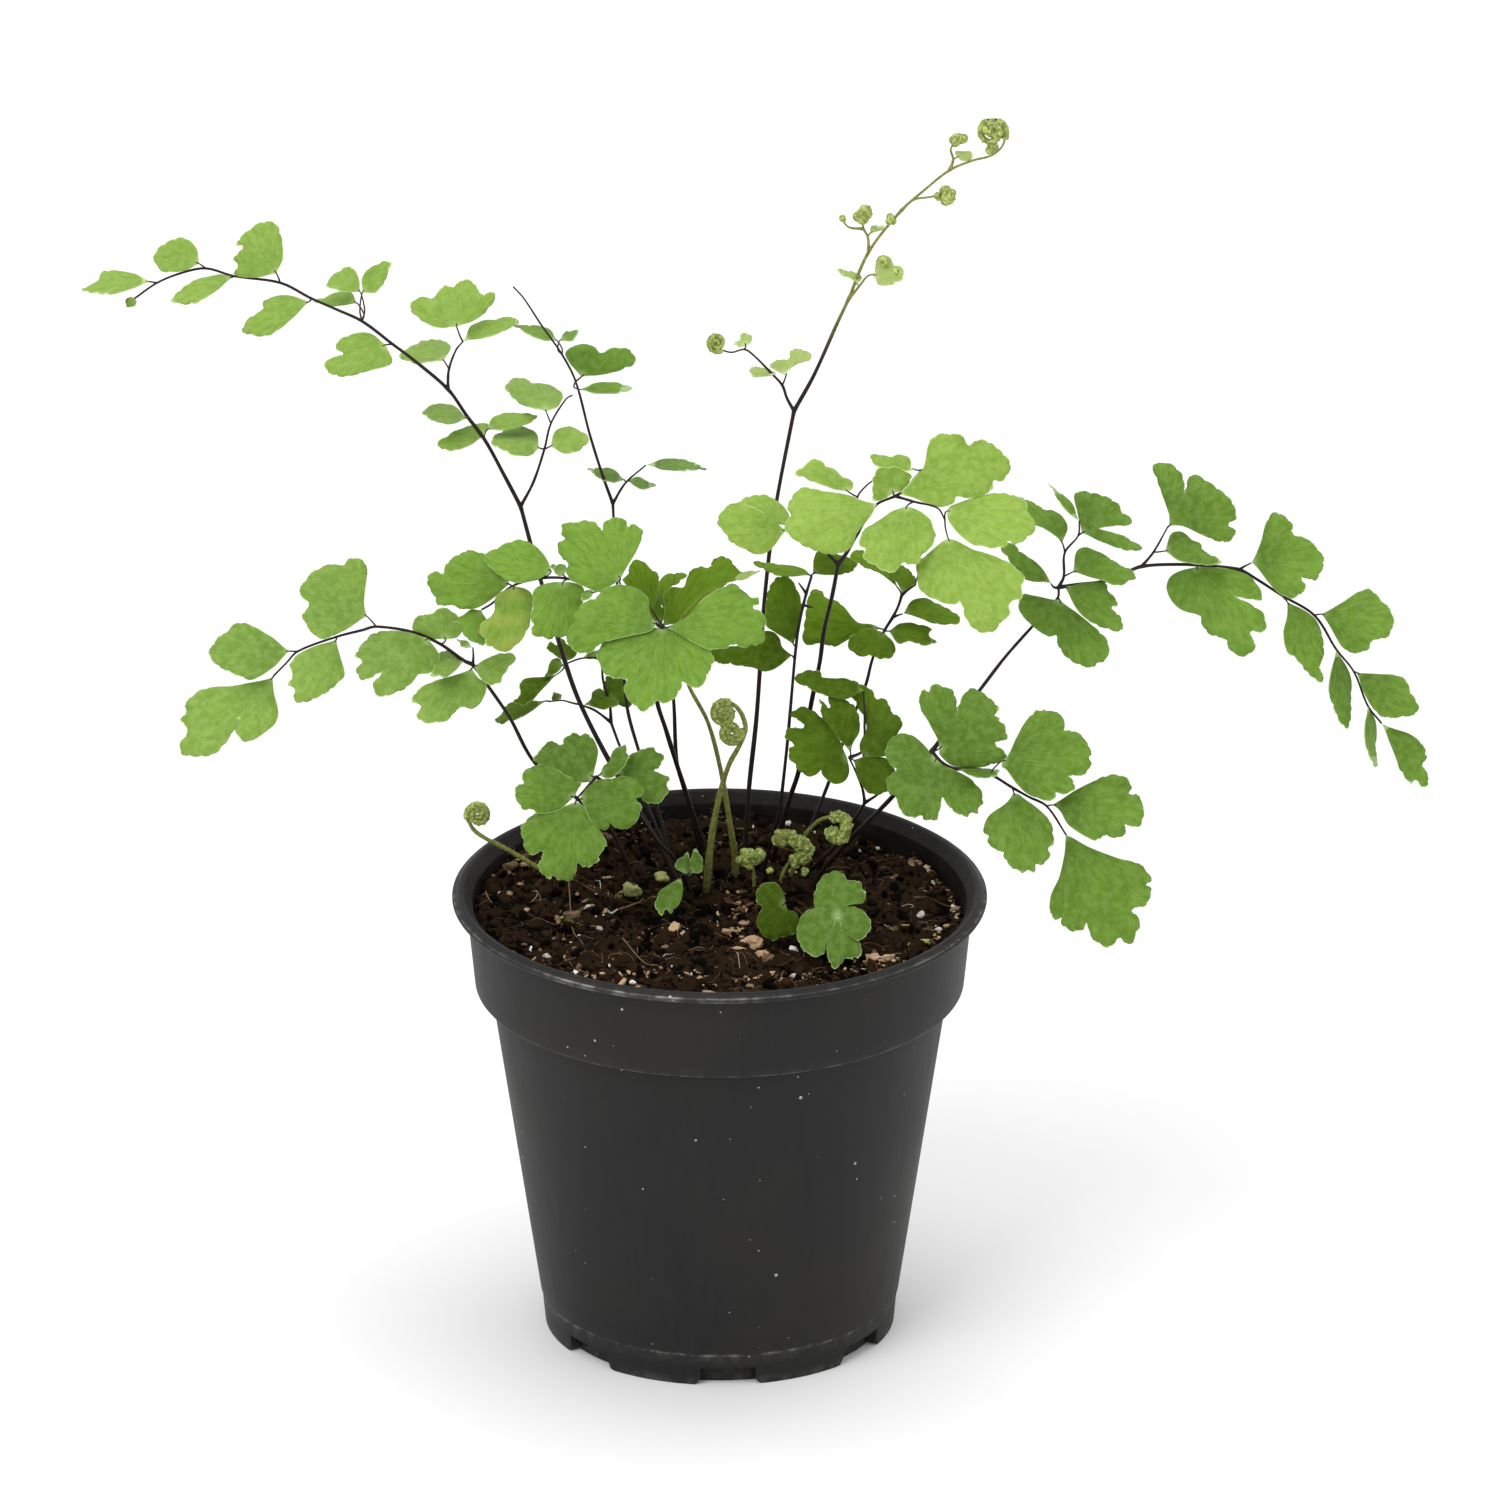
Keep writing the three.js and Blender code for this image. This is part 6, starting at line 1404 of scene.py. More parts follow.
FRONDS = [
    Frond("frond_upper_left", Growth.YELLOW, (-8, 14), tone=0.6, rows="""
stem 6 -105 55 155 -45 77 15 -68 114 20 -55 109 20 -27 73 10 -50 167 20 -40 148 10
stem 4.5 -390 743 250 -30 57 5 -40 73 5 -35 47 5 -37 52 5 -68 58 10 -40 30 5 -60 45 5 -50 23 10 -50 22 5 -60 30
5 -90 13 0 -55 15 -5 -45 -8 -5 -50 -20 -10 -45 -31 -10
stem 3.5 -532 972 270 2 38 -5 15 40 -5 13 15 -5
stem 3.5 -390 743 250 25 47 -10 22 65 -10 13 50 -5 30 48 -5 12 7 0
leaf -1144 1151 4 6 0 -14 -3 -2 -16 17 6
leaf -1115 1182 3 22 0 -30 14 -60 12 -15 -16 -26 -11 21 -11 45 -4 35 6
leaf -1018 1217 2 5 0 -8 31 -24 20 -33 -8 -23 -24 6 -24 15 -11 40 5
leaf -953 1191 3 14 0 -22 5 -20 -4 -37 -8 -28 -18 -12 -19 37 -5 40 18
leaf -867 1198 1 4 0 11 32 -6 62 -18 10 -25 -6 -37 -30 -4 -13 13 -4 -19 -21 10 -16 -10 -16 42 -4
leaf -803 1143 2 9 0 -32 10 -30 1 -25 -8 -3 -16 -27 -15 -13 -25 33 -10 25 4 35 26
leaf -703 1162 4 12 0 -9 36 -8 18 -25 -6 -25 -30 30 -12
leaf -700 1160 -6 8 0 27 5 28 45 -1 14 -22 -2 -28 -22
leaf -710 1141 2 26 0 -15 21 -35 1 -35 -11 35 -13
leaf -653 1059 1 6 0 -32 21 -35 -1 -28 -12 -2 -13 15 -12 -30 -6 -8 -14 8 -14 30 -9 45 11 47 15
leaf -540 1028 3 34 0 10 32 -40 13 -35 -7 -25 -16 30 -17
leaf -514 1093 -1 4 0 -46 3 -45 26 -1 18 18 13 28 -1 18 24 17 -3 25 15 20 -8 13 -20 22 3 8 -13 -33 -35
leaf -500 1066 -3 16 0 15 30 45 20 35 6 11 -12 -26 -18 -35 -16
leaf -495 915 2 32 0 -30 27 -35 10 -24 -18 24 -20 35 -8
leaf -462 880 2 14 0 7 26 -55 -12 -45 -26 20 -14 40 8
leaf -456 893 -3 16 0 11 22 45 17 40 0 -15 -20 -40 -16
leaf -353 857 2 32 0 -7 29 -25 16 -40 -6 -24 -25 39 -22 40 -4
leaf -332 860 -2 13 0 13 32 19 14 18 -4 28 -22 -11 -17 -35 -13
leaf -340 929 2 30 0 -40 17 -42 37 12 17 22 1 26 -12 26 1 26 -20 -8 -28
"""),
    Frond("frond_thin_left", Growth.MID, (-6.3, 19.5), rows="""
stem 4.2 -91 46 210 -33 110 40 -36 111 40 -22 83 30 -11 130 40 -9 120 40 -8 150 50
stem 3.5 -210 750 450 -20 55 10 -25 80 20 -28 105 20 -27 53 10 -40 57 10 -35 53 10 -20 22 0
stem 3.2 -210 750 450 25 40 -10 40 35 -10
leaf -319 1070 3 26 0 -16 22 -35 14 -40 0 35 -20 30 -14
leaf -315 1070 -4 28 0 15 18 25 4 -15 -18
leaf -272 998 1 5 0 -20 28 -8 21 25 15 27 -4 13 -14 30 14 32 -5 11 -25 -38 -16
leaf -273 973 -2 36 0 33 13 40 8 30 -6 -30 -12 -40 -8
leaf -187 796 3 30 0 -23 20 -30 12 -20 0 20 -18 30 -16
leaf -182 794 -3 30 0 27 8 30 -9 -25 -11
leaf -142 826 -2 40 0 32 10 45 3 40 -10 -35 -6 -50 -4
"""),
    Frond("frond_unfurling", Growth.YOUNG, (4.8, 25), ripe_up=98.0, rows="""
stem 5.5 52 99 255 6 94 5 14 131 10 7 98 10 7 113 10 12 120 10 15 105 5 33 170 5
stem 4.5 146 930 310 39 70 0 45 100 0 22 47 0 40 93 0 63 80 0 45 40 0 50 39 0 45 19 0 35 9 0 21 16 0 8 19 0
stem 3.5 146 930 310 -14 25 -5 -9 25 -5 -20 22 -5 -38 38 -10 -17 10 -5 -24 -6 0 -18 4 0
stem 3.5 252 1147 310 23 28 -10 15 18 -5 15 4 -5
stem 3.5 292 1240 310 -2 30 5 -8 15 5 -2 15 0
stem 3.2 282 1285 320 -28 3 0 -14 14 0
stem 3.5 355 1320 310 25 22 -10 25 4 0 27 4 0
stem 3.5 450 1399 310 7 21 10 -5 20 0 8 12 0
leaf 302 1193 -2 8 0 -2 -10 7 30 2 17 15 6 12 -9 5 -10 12 -2 8 -12 -3 -14 -13 -8 -32 -4
leaf 110 1004 2 24 0 1 -3 -24 -1 -23 2 -6 10 6 13 15 -5 16 -8
leaf 130 998 -2 16 0 -23 18 -8 8 12 6 23 -1 6 8 -2 12 12 7 23 -3 9 -9 -9 -11 -19 -4 -10 -9 -10 -10
leaf 52 1056 -2 10 0 -26 4 4 7 10 2 -2 9 12 6 13 -6 -3 -11
leaf 270 1176 2 10 0 -13 15 -21 8 -8 7 8 4 26 -8 15 -11
leaf 463 1424 -2 10 0 -1 10 13 2 9 4 10 -4 3 -8 -7 -8 -15 0
leaf 294 1276 -2 10 0 6 14 21 3 3 -10 -15 0
coil 532 1473 310 29 -250 10 4.5
coil -5 1063 280 18 -600 -10 3.5
bud 531 1444 313 16
bud 520 1478 308 13
bud 534 1472 314 18
bud 546 1475 308 13
bud -5 1063 280 9
bud 443 1351 300 22
bud 425 1346 300 10
bud 337 1303 306 13
bud 278 1314 320 23
bud 467 1456 320 21
bud 241 1304 320 9
bud 324 1222 292 12
bud 346 1199 292 14
"""),
    Frond("frond_left", Growth.YELLOW, (-15.3, 12.5), tone=-0.3, rows="""
stem 5 -176 30 120 -39 80 -10 -70 65 -20 -77 65 -20 -50 90 -10 -43 63 -10 -28 40 0
stem 4 -483 433 50 -17 7 0 -47 33 10 -53 23 0 -72 11 0 -28 -7 0 -50 -13 -5 -75 -28 -5 -25 -25 -5 -23 -23 -5
stem 3.2 -483 433 50 1 17 0 -1 16 0
leaf -690 527 1 4 0 -55 -31 -35 -13 -20 14 -17 33 14 19 -19 26 24 38 38 18 21 -3 16 14 24 -3 9 -14 -7 -65
leaf -842 459 2 5 0 -43 31 -53 27 -27 -19 -18 -14 -13 -29 19 -25 37 -18 25 -7 40 23
leaf -875 407 2 7 0 -25 -6 -50 -10 -60 -3 -32 -24 4 -13 -12 -17 14 -19 -13 -25 4 -22 40 -8 25 6 28 37 14 29 -7
-22 20 -25 50 30 10 21 -7 39
leaf -750 482 1 7 0 -40 -14 -35 -15 -15 -18 5 -18 -10 -22 15 -9 -5 -16 13 -11 42 13 35 30 10 14 -8 29
leaf -570 484 1 6 0 -50 12 -55 1 -23 -19 -15 -22 13 -11 -10 -19 12 -19 18 3 22 12 -19 -22 4 -20 18 -8 40 16 18
18 7 10 25 4 15 30
leaf -536 481 -1 6 0 -54 12 -15 16 9 18 13 7 19 -1 12 12 20 -1 17 -14 10 -25 -10 -17
leaf -500 440 3 28 0 -25 18 -23 1 -8 -19 -9 -21 35 -3
leaf -485 425 2 8 0 -35 -15 -50 -12 -25 -15 -4 -18 18 -8 -10 -14 17 -18 44 2 22 25 28 -2 17 20 5 23 -14 13
leaf -481 430 -2 9 0 26 13 25 13 20 3 13 -11 -26 -33 -7 -13 -20 -5 -20 15
leaf -485 466 3 30 0 -15 16 -16 5 16 -17
"""),
    Frond("frond_centre", Growth.MID, (-1.5, 16.5), stained=7, tone=0.5, rows="""
stem 6 -20 40 165 -14 43 -10 -45 139 -75 -26 83 -60 -18 60 -50 -2 75 -50 13 65 -40
stem 4.2 -112 505 -120 -58 35 50 -65 38 40 -60 22 20 -55 1 10 -57 -16 0 -38 -33 0 -20 -12 0
stem 3.5 -170 540 -70 -16 30 10 -10 26 10
leaf -193 600 0 4 5 -13 -10 -32 -13 -17 6 -37 17 -7 12 3 14 -3 9 -10 5 -9 22 5 12 11 5 -10 9 4 9 -1 9 11 6 16 -1
12 4 28 -4 12 -18 3 14 7 9 27 5 10 -8 3 -11 10 5 19 -13 -13 -39 -10 -17
leaf -122 512 1 6 0 -11 15 -6 21 -1 15 -30 23 -43 2 -25 -18 -4 -8 -12 0 -12 -6 -19 -24 1 -12 -13 -22 5 -26 24
-15 25 5 6 10 14 8 53 12 35 6
leaf -112 505 0 7 0 -33 -1 -35 -8 -40 -12 -16 -15 -5 -15 16 -34 12 -7 27 -4 6 2 -7 -16 1 -14 17 -20 19 -13 21 9
6 9 10 -5 21 5 18 23 0 13 9 -6 22 -7 10 3 18 39 5 12 -12 22 -41 27 -27 11
leaf -104 505 -1 6 0 46 23 26 31 18 15 34 19 16 -3 10 -10 18 -12 11 0 2 -13 -13 -6 13 -6 14 -19 -3 -10 -7 -5 7
-7 -3 -18 -17 -10 -8 2 -8 -7 -33 7 -8 -7 -23 -2 -12 -1 -42 20
leaf -328 616 1 6 10 -8 19 -26 29 -32 14 -44 -14 -21 -14 1 -14 25 -26 30 -15 38 3 20 6
leaf -410 590 1 3 -5 -14 24 -20 17 -16 16 -10 2 -19 6 -6 -5 -11 -2 -27 -18 -8 -19 -9 4 -13 -3 -8 -10 0 -13 15
-28 5 -13 11 -3 14 3 16 -5 20 -2 21 6 35 24
leaf -466 539 1 8 0 -18 0 -18 -10 -18 -3 -1 -8 15 -2 2 -14 8 -16 29 -14 10 4 0 40
leaf -402 586 1 7 10 -33 -20 -4 -31 -28 -22 -3 -13 10 -13 6 -13 14 -4 21 -9 29 17 16 25 4 27 4 30 -4 13 -13 9
leaf -306 594 0 6 5 -18 -1 -36 -15 -4 -30 -7 -28 8 -7 -7 -8 3 -12 24 -6 13 -3 10 4 27 3 11 14 12 45 3 30 -23 13
leaf -304 606 3 24 0 -11 3 -16 19 13 5 16 -8
leaf -244 574 3 20 0 -22 5 -3 -19 15 6
"""),
    Frond("frond_back_centre", Growth.DARK, (-3.2, 24), tone=1.1, rows="""
stem 5 -46 100 210 -14 64 -30 -23 74 -30 -7 123 -30 -10 89 -20 -10 58 -10
leaf -108 509 -1 5 0 -2 17 4 17 -2 27 13 13 25 1 10 31 20 13 14 -4 13 20 18 5 15 -8 12 -16 18 -15 -50 -26 -40
-38 -34 -28
leaf -105 533 2 16 0 -13 32 -5 31 28 22 35 3 -15 -18 -24 -17
leaf -113 512 3 12 0 -19 14 -8 29 4 25 13 24 6 -29 1 -30 10 -7
leaf -129 535 2 6 0 -23 38 -36 25 10 16 8 24 20 3 16 -17 13 -11 1 -18
"""),
    Frond("young_stem", Growth.YOUNG, (3.2, 19), ripe_up=-12.0, hairs=4, girth=0.7, rows="""
stem 5 29 60 180 -7 50 -20 -19 112 -30 -26 98 -40 -37 71 -40 -22 69 -35 -4 30 -10
stem 2 -86 490 5 10 30 -15 41 46 -10 40 22 0 35 14 0 20 7 0
leaf 25 597 -1 6 0 17 12 20 7 19 2 -13 -9 -22 -9
"""),
    Frond("frond_back_left", Growth.DARK, (-9.8, 24.5), tone=-0.3, rows="""
stem 4 -110 80 260 -35 80 40 -35 70 40 -19 49 20 -15 41 20
stem 3.5 -214 320 380 -2 32 10 -13 48 10 -9 43 10 -32 3 0 -33 -11 0
stem 3.2 -214 320 380 -31 23 -5 -25 10 0 -20 5 5 -20 5 5 -23 -2 5
leaf -304 438 2 8 0 -19 16 -19 14 10 13 12 -6 5 14 11 -5 12 -16 10 -12
leaf -307 432 4 20 0 -17 17 -12 -17 -8 -19 19 6
leaf -242 446 3 22 0 -26 5 13 11 17 -2 4 -16
leaf -320 414 2 14 0 -30 -8 -30 2 -14 -8 3 -18 -14 -15 23 -7 32 28
leaf -342 362 3 25 0 -38 -2 -40 -1 -6 -12 -15 -11 11 -11 15 5 35 11
leaf -312 366 3 20 0 -17 2 1 16 14 -8
leaf -266 355 -2 16 0 15 11 2 15 14 8 35 -25 2 -9 -32 -5
leaf -214 364 -2 7 0 -15 26 5 23 19 -3 20 -1 9 -29 7 -19 -16 -8
"""),
    Frond("frond_inner_right", Growth.DARK, (8.3, 20.5), tone=-0.3, rows="""
stem 4.2 93 54 200 12 46 -15 12 44 -15 13 106 -10 9 96 0 8 94 0 3 29 0 4 31 0 8 40 0 8 32 0 10 33 0
stem 3.2 170 572 160 -7 10 -2 -8 11 -3
stem 3.2 164 550 160 9 -3 -2 9 -2 -3
leaf 142 451 2 8 0 -20 17 -6 16 -12 12 -18 0 -16 -18 -50 -4 -40 -5 14 -23 36 -6 35 -7 27 -10 26 9
leaf 145 472 2 3 0 -35 26 -16 12 -2 35 5 35 13 21 16 6 16 -5 18 -42 -4 -45
leaf 178 608 3 24 20 -13 12 -35 7 -55 15 -11 -6 26 -16 40 -11
leaf 182 610 -2 9 0 8 42 12 8 43 -11 25 -16 -10 -15 -40 -7
"""),
    Frond("frond_back_right", Growth.DARK, (13.5, 24), tone=0.5, rows="""
stem 4.2 153 75 240 22 32 5 40 96 15 35 97 20 37 93 20 14 53 10 23 54 10 16 26 5 11 22 5 7 22 0
stem 3.5 358 570 330 12 10 -5 14 9 -5
stem 3 340 526 325 10 4 -3 10 3 -2
leaf 332 499 -2 15 0 23 13 45 4 18 -5 -8 -11 15 -12 -25 -10 -28 7 -20 -7
leaf 323 497 0 11 0 -38 5 -31 -12 -2 -18 10 -12 20 -7 18 1 20 -8 20 7 3 17
leaf 318 504 -3 6 0 -18 8 -30 3 -30 34 -15 11 -21 9 -4 12 -18 3 -12 -14 -6 -35 -7 -55 43 -3 22 -4 33 15
leaf 358 574 0 9 0 -8 22 -18 16 16 11 13 8 25 -29
leaf 352 582 -2 15 0 -16 30 -26 22 -27 28 -15 2 -16 -19 28 -15 40 -18
leaf 362 534 -2 14 0 11 18 15 9 20 2 52 -17 13 -14 -11 -14 -42 0 -27 9
leaf 388 604 -2 18 0 1 28 21 26 20 14 -14 -32
"""),
    Frond("frond_bright", Growth.LIME, (10.5, 26), rows="""
stem 6 115 90 240 23 81 -25 17 52 -20 26 140 -65 15 72 -40 9 65 -40 15 65 -40 12 63 -40
stem 4.5 232 628 -30 18 25 -10 20 37 -10 25 40 -10 15 17 -10 33 14 0 22 14 10 15 20 10 17 18 10
stem 3.8 232 628 -30 -24 24 -10 -28 18 -10 -30 16 -10
stem 3.2 343 761 -70 37 -11 -10 45 -12 -10 15 -23 -5
stem 3.2 270 690 -50 0 40 40 0 30 20 15 20 10 20 16 0
leaf 134 702 1 9 0 0 24 -34 37 -25 7 -25 -6 -14 -14 24 -25
leaf 130 694 1 4 0 -40 30 -54 26 -28 -14 -11 -26 13 -20 14 -20 22 -10 29 -11 21 7
leaf 307 746 1 6 0 -27 6 -30 10 -50 11 -25 9 -20 -3 -23 -37 7 -12 -11 -22 2 -14 20 -18 30 -16 40 -9 36 12 12 29
30 34
leaf 366 742 0 8 0 20 -8 25 -19 4 -13 6 -14 -11 -26 -12 -9 -9 -22 -21 -2 -9 4 -7 -12 -12 -7 -15 1 -27 17 -13 8
-6 11 4 11 -11 10 6 24 37 20 25 16
leaf 340 765 2 3 -10 -37 -13 -3 23 -1 23 15 22 14 -4 12 5 37 -21 -21 -26
leaf 384 812 1 14 0 -9 5 -2 11 -7 9 -16 4 -15 -1 -30 9 -12 -7 19 -20 36 -4 17 -7
leaf 252 770 2 12 0 -22 5 -30 13 -30 14 -20 9 1 10 14 2 7 10 16 6 12 -7 10 -13 15 -6 15 -16 12 -2 9 -8 -1 -11
leaf 350 764 -1 5 0 39 40 11 12 12 54 25 16 10 -4 11 4 14 -5 14 -18 8 9 12 4 16 -4 25 -18 18 -25 -8 -27 -11 -9
-14 -1 0 -12 -7 -8 -35 -12 -30 3 -5 -13 -29 -8 -26 8 -26 9
leaf 443 732 -1 9 0 9 10 38 12 20 7 40 9 36 -4 12 -9 5 -17 14 -26 -19 -24 -24 -15 -10 5 -6 -10 -28 -4 -20 3 -15
0 -27 20 -21 24
leaf 446 679 -1 6 0 19 -6 30 -18 20 -5 50 -18 28 -22 2 -12 -7 -10 4 -15 -8 -12 -14 -3 -6 -9 5 -11 -18 -21 -18
-17 -28 -2 -24 22 -12 39 -11 -7 -30 8 -28 14 -10 11 -3 15 4 15 1 14 38 40
"""),
    Frond("frond_dark_front", Growth.DARK, (16.4, 18.4), tone=-0.8, rows="""
stem 4.5 185 35 165 53 54 -55 47 73 -70
stem 3.5 285 162 40 -5 28 -15 -13 33 -20 -13 27 -15
stem 3.5 285 162 40 25 16 -10 15 12 -10
stem 3.5 254 250 -10 26 14 10 4 56 20 -2 60 20
leaf 250 250 1 5 0 -16 34 -26 37 -26 26 -22 6 -20 -16 27 -20 -7 -7 -12 3 -13 -2 -6 -19 19 -17 -12 -5 2 -22 9 -8
6 -11 22 -13 13 3 12 10 4 -11 22 -16 19 5 9 19
leaf 257 260 3 4 0 -22 30 -17 23 -16 22 0 15 -3 15 4 2 7 -9 11 -9 -5 20 14 3 38 -20 5 -47 -11 -23
leaf 282 252 -2 5 0 -7 13 1 15 13 24 0 12 -5 8 -2 11 -6 6 -12 19 -18 22 -12 22 21 2 32 -15 10 -5 7 -18 10 1 11
-5 7 -12 2 -11 16 -11 6 -12 -13 -24 -9 -18 -9 -20
leaf 282 382 1 9 0 -17 14 -20 8 -18 1 -24 6 -7 12 -22 5 -22 -8 -5 -11 48 -25 50 -16
leaf 262 246 0 6 0 28 6 38 -4 18 -23 -3 -25 -13 -14 -20 -7 -16 3 -16 20
"""),
    Frond("frond_right", Growth.MID, (18.4, 13.6), tone=-0.1, rows="""
stem 6 203 30 120 35 40 -35 35 37 -35 63 64 -60 79 91 -50
stem 5 415 262 -60 45 58 50 50 63 50 50 65 30 55 62 20 47 53 10 2 21 0
stem 3.2 664 584 100 -8 -1 0 -7 8 0
stem 3.4 664 584 100 10 21 0 2 47 0 26 33 0 2 29 0
stem 4.2 664 584 100 36 5 10 50 6 10 40 15 10 37 15 10 73 4 10 60 -3 10 58 -7 10 32 -17 5 50 -32 5 66 -40 10 44
-67 10 35 -44 5 28 -67 5 27 -34 0
stem 3.2 827 625 140 23 28 0 27 48 0
stem 3 1018 619 170 12 7 -2 12 6 -3
stem 4.2 415 262 -60 20 -21 -10 25 -12 -10 40 -2 0 30 -9 0 43 -26 0 32 -18 0 35 -18 0 39 -57 0
leaf 667 559 -1 6 0 -27 3 -30 6 -16 3 -8 -16 4 -19 33 -33 22 -13 16 2 3 -22 19 -26 27 -12 22 -1 6 9 14 2 10 22
-4 21 -38 31 -30 24
leaf 676 585 -1 7 0 34 6 43 3 7 -16 16 -13 2 -13 -12 -6 17 -13 7 -25 -7 -8 -20 2 -35 16 -25 22
leaf 692 614 -1 9 0 9 39 15 9 49 -17 18 -12 20 -5 13 -18 -14 -10 -20 -10 -32 10
leaf 709 690 -2 5 0 -6 35 -8 45 50 -5 33 -16 6 -14 18 -13 3 -14 -35 -2 -31 -7 44 -13 25 -10 20 -16 -28 -5 -40 15
leaf 702 716 8 10 0 -12 28 -20 24 -26 22 21 -34 23 -30
leaf 649 592 3 9 0 -50 11 -19 23 -28 36 10 12 14 0 19 -22 25 -22 20 -22
leaf 671 671 2 8 0 -16 17 -20 15 -25 13 -14 24 -8 28 38 -19 9 -11 19 -4 19 -16 7 -20
leaf 880 704 -2 4 0 0 26 -10 30 -16 35 -12 27 23 8 18 -5 20 -20 7 -38 8 36 14 2 38 -23 30 -26 10 -36 -15 -12 12
-13 -7 -18 -18 -6 -42 19 -30 14
leaf 872 655 -2 12 0 13 31 13 8 14 -4 10 -10 17 -5 8 -15 18 -8 18 -12 -11 -9 -42 2 -30 5
leaf 934 624 -2 6 0 -29 -6 -23 -14 -6 -20 10 -24 19 -17 37 -13 2 -16 16 -20 27 -10 10 -22 25 -11 20 11 6 14 -10
22 25 2 5 18 -9 23 -53 27 52 -4 -6 24 -22 22 -50 12
leaf 1043 633 -2 4 0 19 39 11 44 13 16 22 -9 14 -17 2 -20 22 -3 35 -43 -15 -43 -28 7 10 -14 -6 -17 -22 -11 -25
13 -30 35
leaf 1113 556 3 6 0 0 -31 -5 -30 9 -35 15 -10 30 -32 29 -16 -1 23 -7 7 7 18 -3 30 -17 38 -25 21
leaf 1180 532 -2 5 0 40 20 50 30 32 -26 14 -16 5 -22 -11 -28 -20 -8 -10 0 -10 -18 -24 -7 -22 8 -24 40
leaf 1210 460 10 5 0 -8 -40 -2 -30 6 -26 22 -40 20 -16 6 22 -5 35 -7 37 -16 34
leaf 1250 418 -2 6 0 40 -5 40 -2 19 -11 4 -15 16 -29 -7 -16 -44 -10 -24 6 -24 34
leaf 1273 350 16 6 0 -4 -40 4 -30 25 -47 8 5 -10 32 -4 35 -10 33
leaf 1301 317 1 7 0 29 -13 30 -11 21 -18 9 -21 -8 -13 10 -19 3 -20 -15 -4 -14 12 -7 -9 -19 27 -15 37
leaf 424 248 0 7 -10 -24 26 -30 24 -30 0 -17 -30 11 -28 14 -12 -15 -10 -9 -11 9 -27 11 -5 11 -27 25 -12 12 5 8
-9 27 1 9 41 19 -26 29 -12 10 9 13 1 2 13 8 7 -4 25 -23 20 -48 22
leaf 430 268 -1 3 -5 -2 16 -16 35 -20 31 -1 28 9 6 8 -5 2 10 19 7 7 -8 10 0 10 -7 5 -13 3 -27 3 11 11 25 11 8 21
-6 35 -30 1 -10 -8 -7 12 -5 -1 -6 8 -6 7 -26 -10 -8 -15 -2 21 -19 2 -8 -9 -11 -43 -9 -50 3 -29 21
leaf 466 227 0 30 0 34 7 48 4 -6 -14 -37 -8
leaf 553 244 -1 5 0 10 9 23 42 11 21 21 27 10 1 5 4 6 -5 11 2 10 -3 16 -20 -3 -16 12 2 24 -11 4 -9 6 -6 7 -23 -4
-7 4 -9 -11 -22 -26 -6 -7 1 10 -8 1 -20 -25 -9 -12 6 1 -10 -6 -8 -26 5 -25 12 -15 14 -24 29 -9 5
leaf 652 158 -1 6 0 33 20 40 23 38 20 29 -2 14 -20 -7 -12 14 -1 10 -8 3 -12 4 -12 -8 -31 -14 -5 -16 6 4 -12 -7
-11 -14 -5 -26 5 -7 -8 -12 -1 -44 27 -21 29
leaf 576 182 1 6 0 -18 -24 -29 -22 -10 -26 9 -10 -2 -10 17 -20 14 -3 -1 -11 19 -22 11 -3 9 -4 11 4 12 -2 5 9 -2
7 14 -1 16 20 -5 12 11 7 -7 39 -15 17 -35 28 -13 11
leaf 678 99 0 5 0 15 -6 37 -22 50 -18 43 -10 22 -23 1 -10 -10 -6 11 -7 -6 -27 -11 -11 -17 -1 -5 -5 10 -8 8 -23
-10 -11 0 -11 -8 -11 -13 -1 -10 11 -19 -17 -14 1 -25 19 -8 28 -4 -13 -12 -2 -10 -3 -23 16 -1 12 -11 -3 -9 11 1
32 17 36 8 39
"""),
    Frond("frond_front_left", Growth.MID, (-6, 10.3), tone=-0.6, rows="""
stem 4.5 -80 40 80 -45 50 -40 -27 40 -30 -38 50 -40 -52 33 -40
stem 3.8 -242 213 -70 -16 -19 -10 -22 -24 -10
leaf -247 212 1 5 -5 5 33 3 20 -11 27 -12 7 -10 -3 -13 5 -20 -13 -1 -11 -24 7 -12 -5 -7 -10 -15 -17 4 -11 30 -11
40 -23 36 -4
leaf -284 173 1 4 0 7 16 5 12 -33 15 -15 12 -32 10 -12 -4 -13 -4 -11 -22 6 -7 -12 -4 -8 -12 16 -36 24 -1 6 -7 41
9
leaf -281 165 0 5 0 -39 -17 -25 -8 -18 -1 -24 -21 -3 -12 5 -14 -1 -10 16 -21 25 7 -11 -28 16 -22 10 -3 7 5 7 -7
25 -1 10 12 5 22 8 -8 13 -1 20 14 0 11 13 20 -26 43 -19 31
leaf -274 170 -1 5 0 7 12 22 21 30 6 32 8 15 -4 20 -23 -2 -12 -13 -8 7 -7 4 -13 -20 -34 -30 -4 -12 13 -5 -10 -10
-4 -18 12 -16 30
leaf -200 216 -1 6 0 27 40 13 5 10 8 21 3 5 -7 10 -4 6 -9 -12 -21 -8 -5 26 -8 4 -10 -5 -9 3 -11 -16 -24 -26 -2
-23 28 -15 18
leaf -236 216 1 7 0 10 17 12 9 3 14 12 21 7 -2 8 7 6 -22 4 -6 -10 -14 -22 -24 -16 -5
"""),
    Frond("fiddlehead_left", Growth.YOUNG, (-33.5, 17), ripe_up=-14.0, hairs=30, rows="""
stem 6 -350 30 160 -20 12 -5 -30 18 -5 -30 17 -5 -30 15 -5 -23 17 0 -13 23 0
coil -474 138 140 22 1950 -10 5
"""),
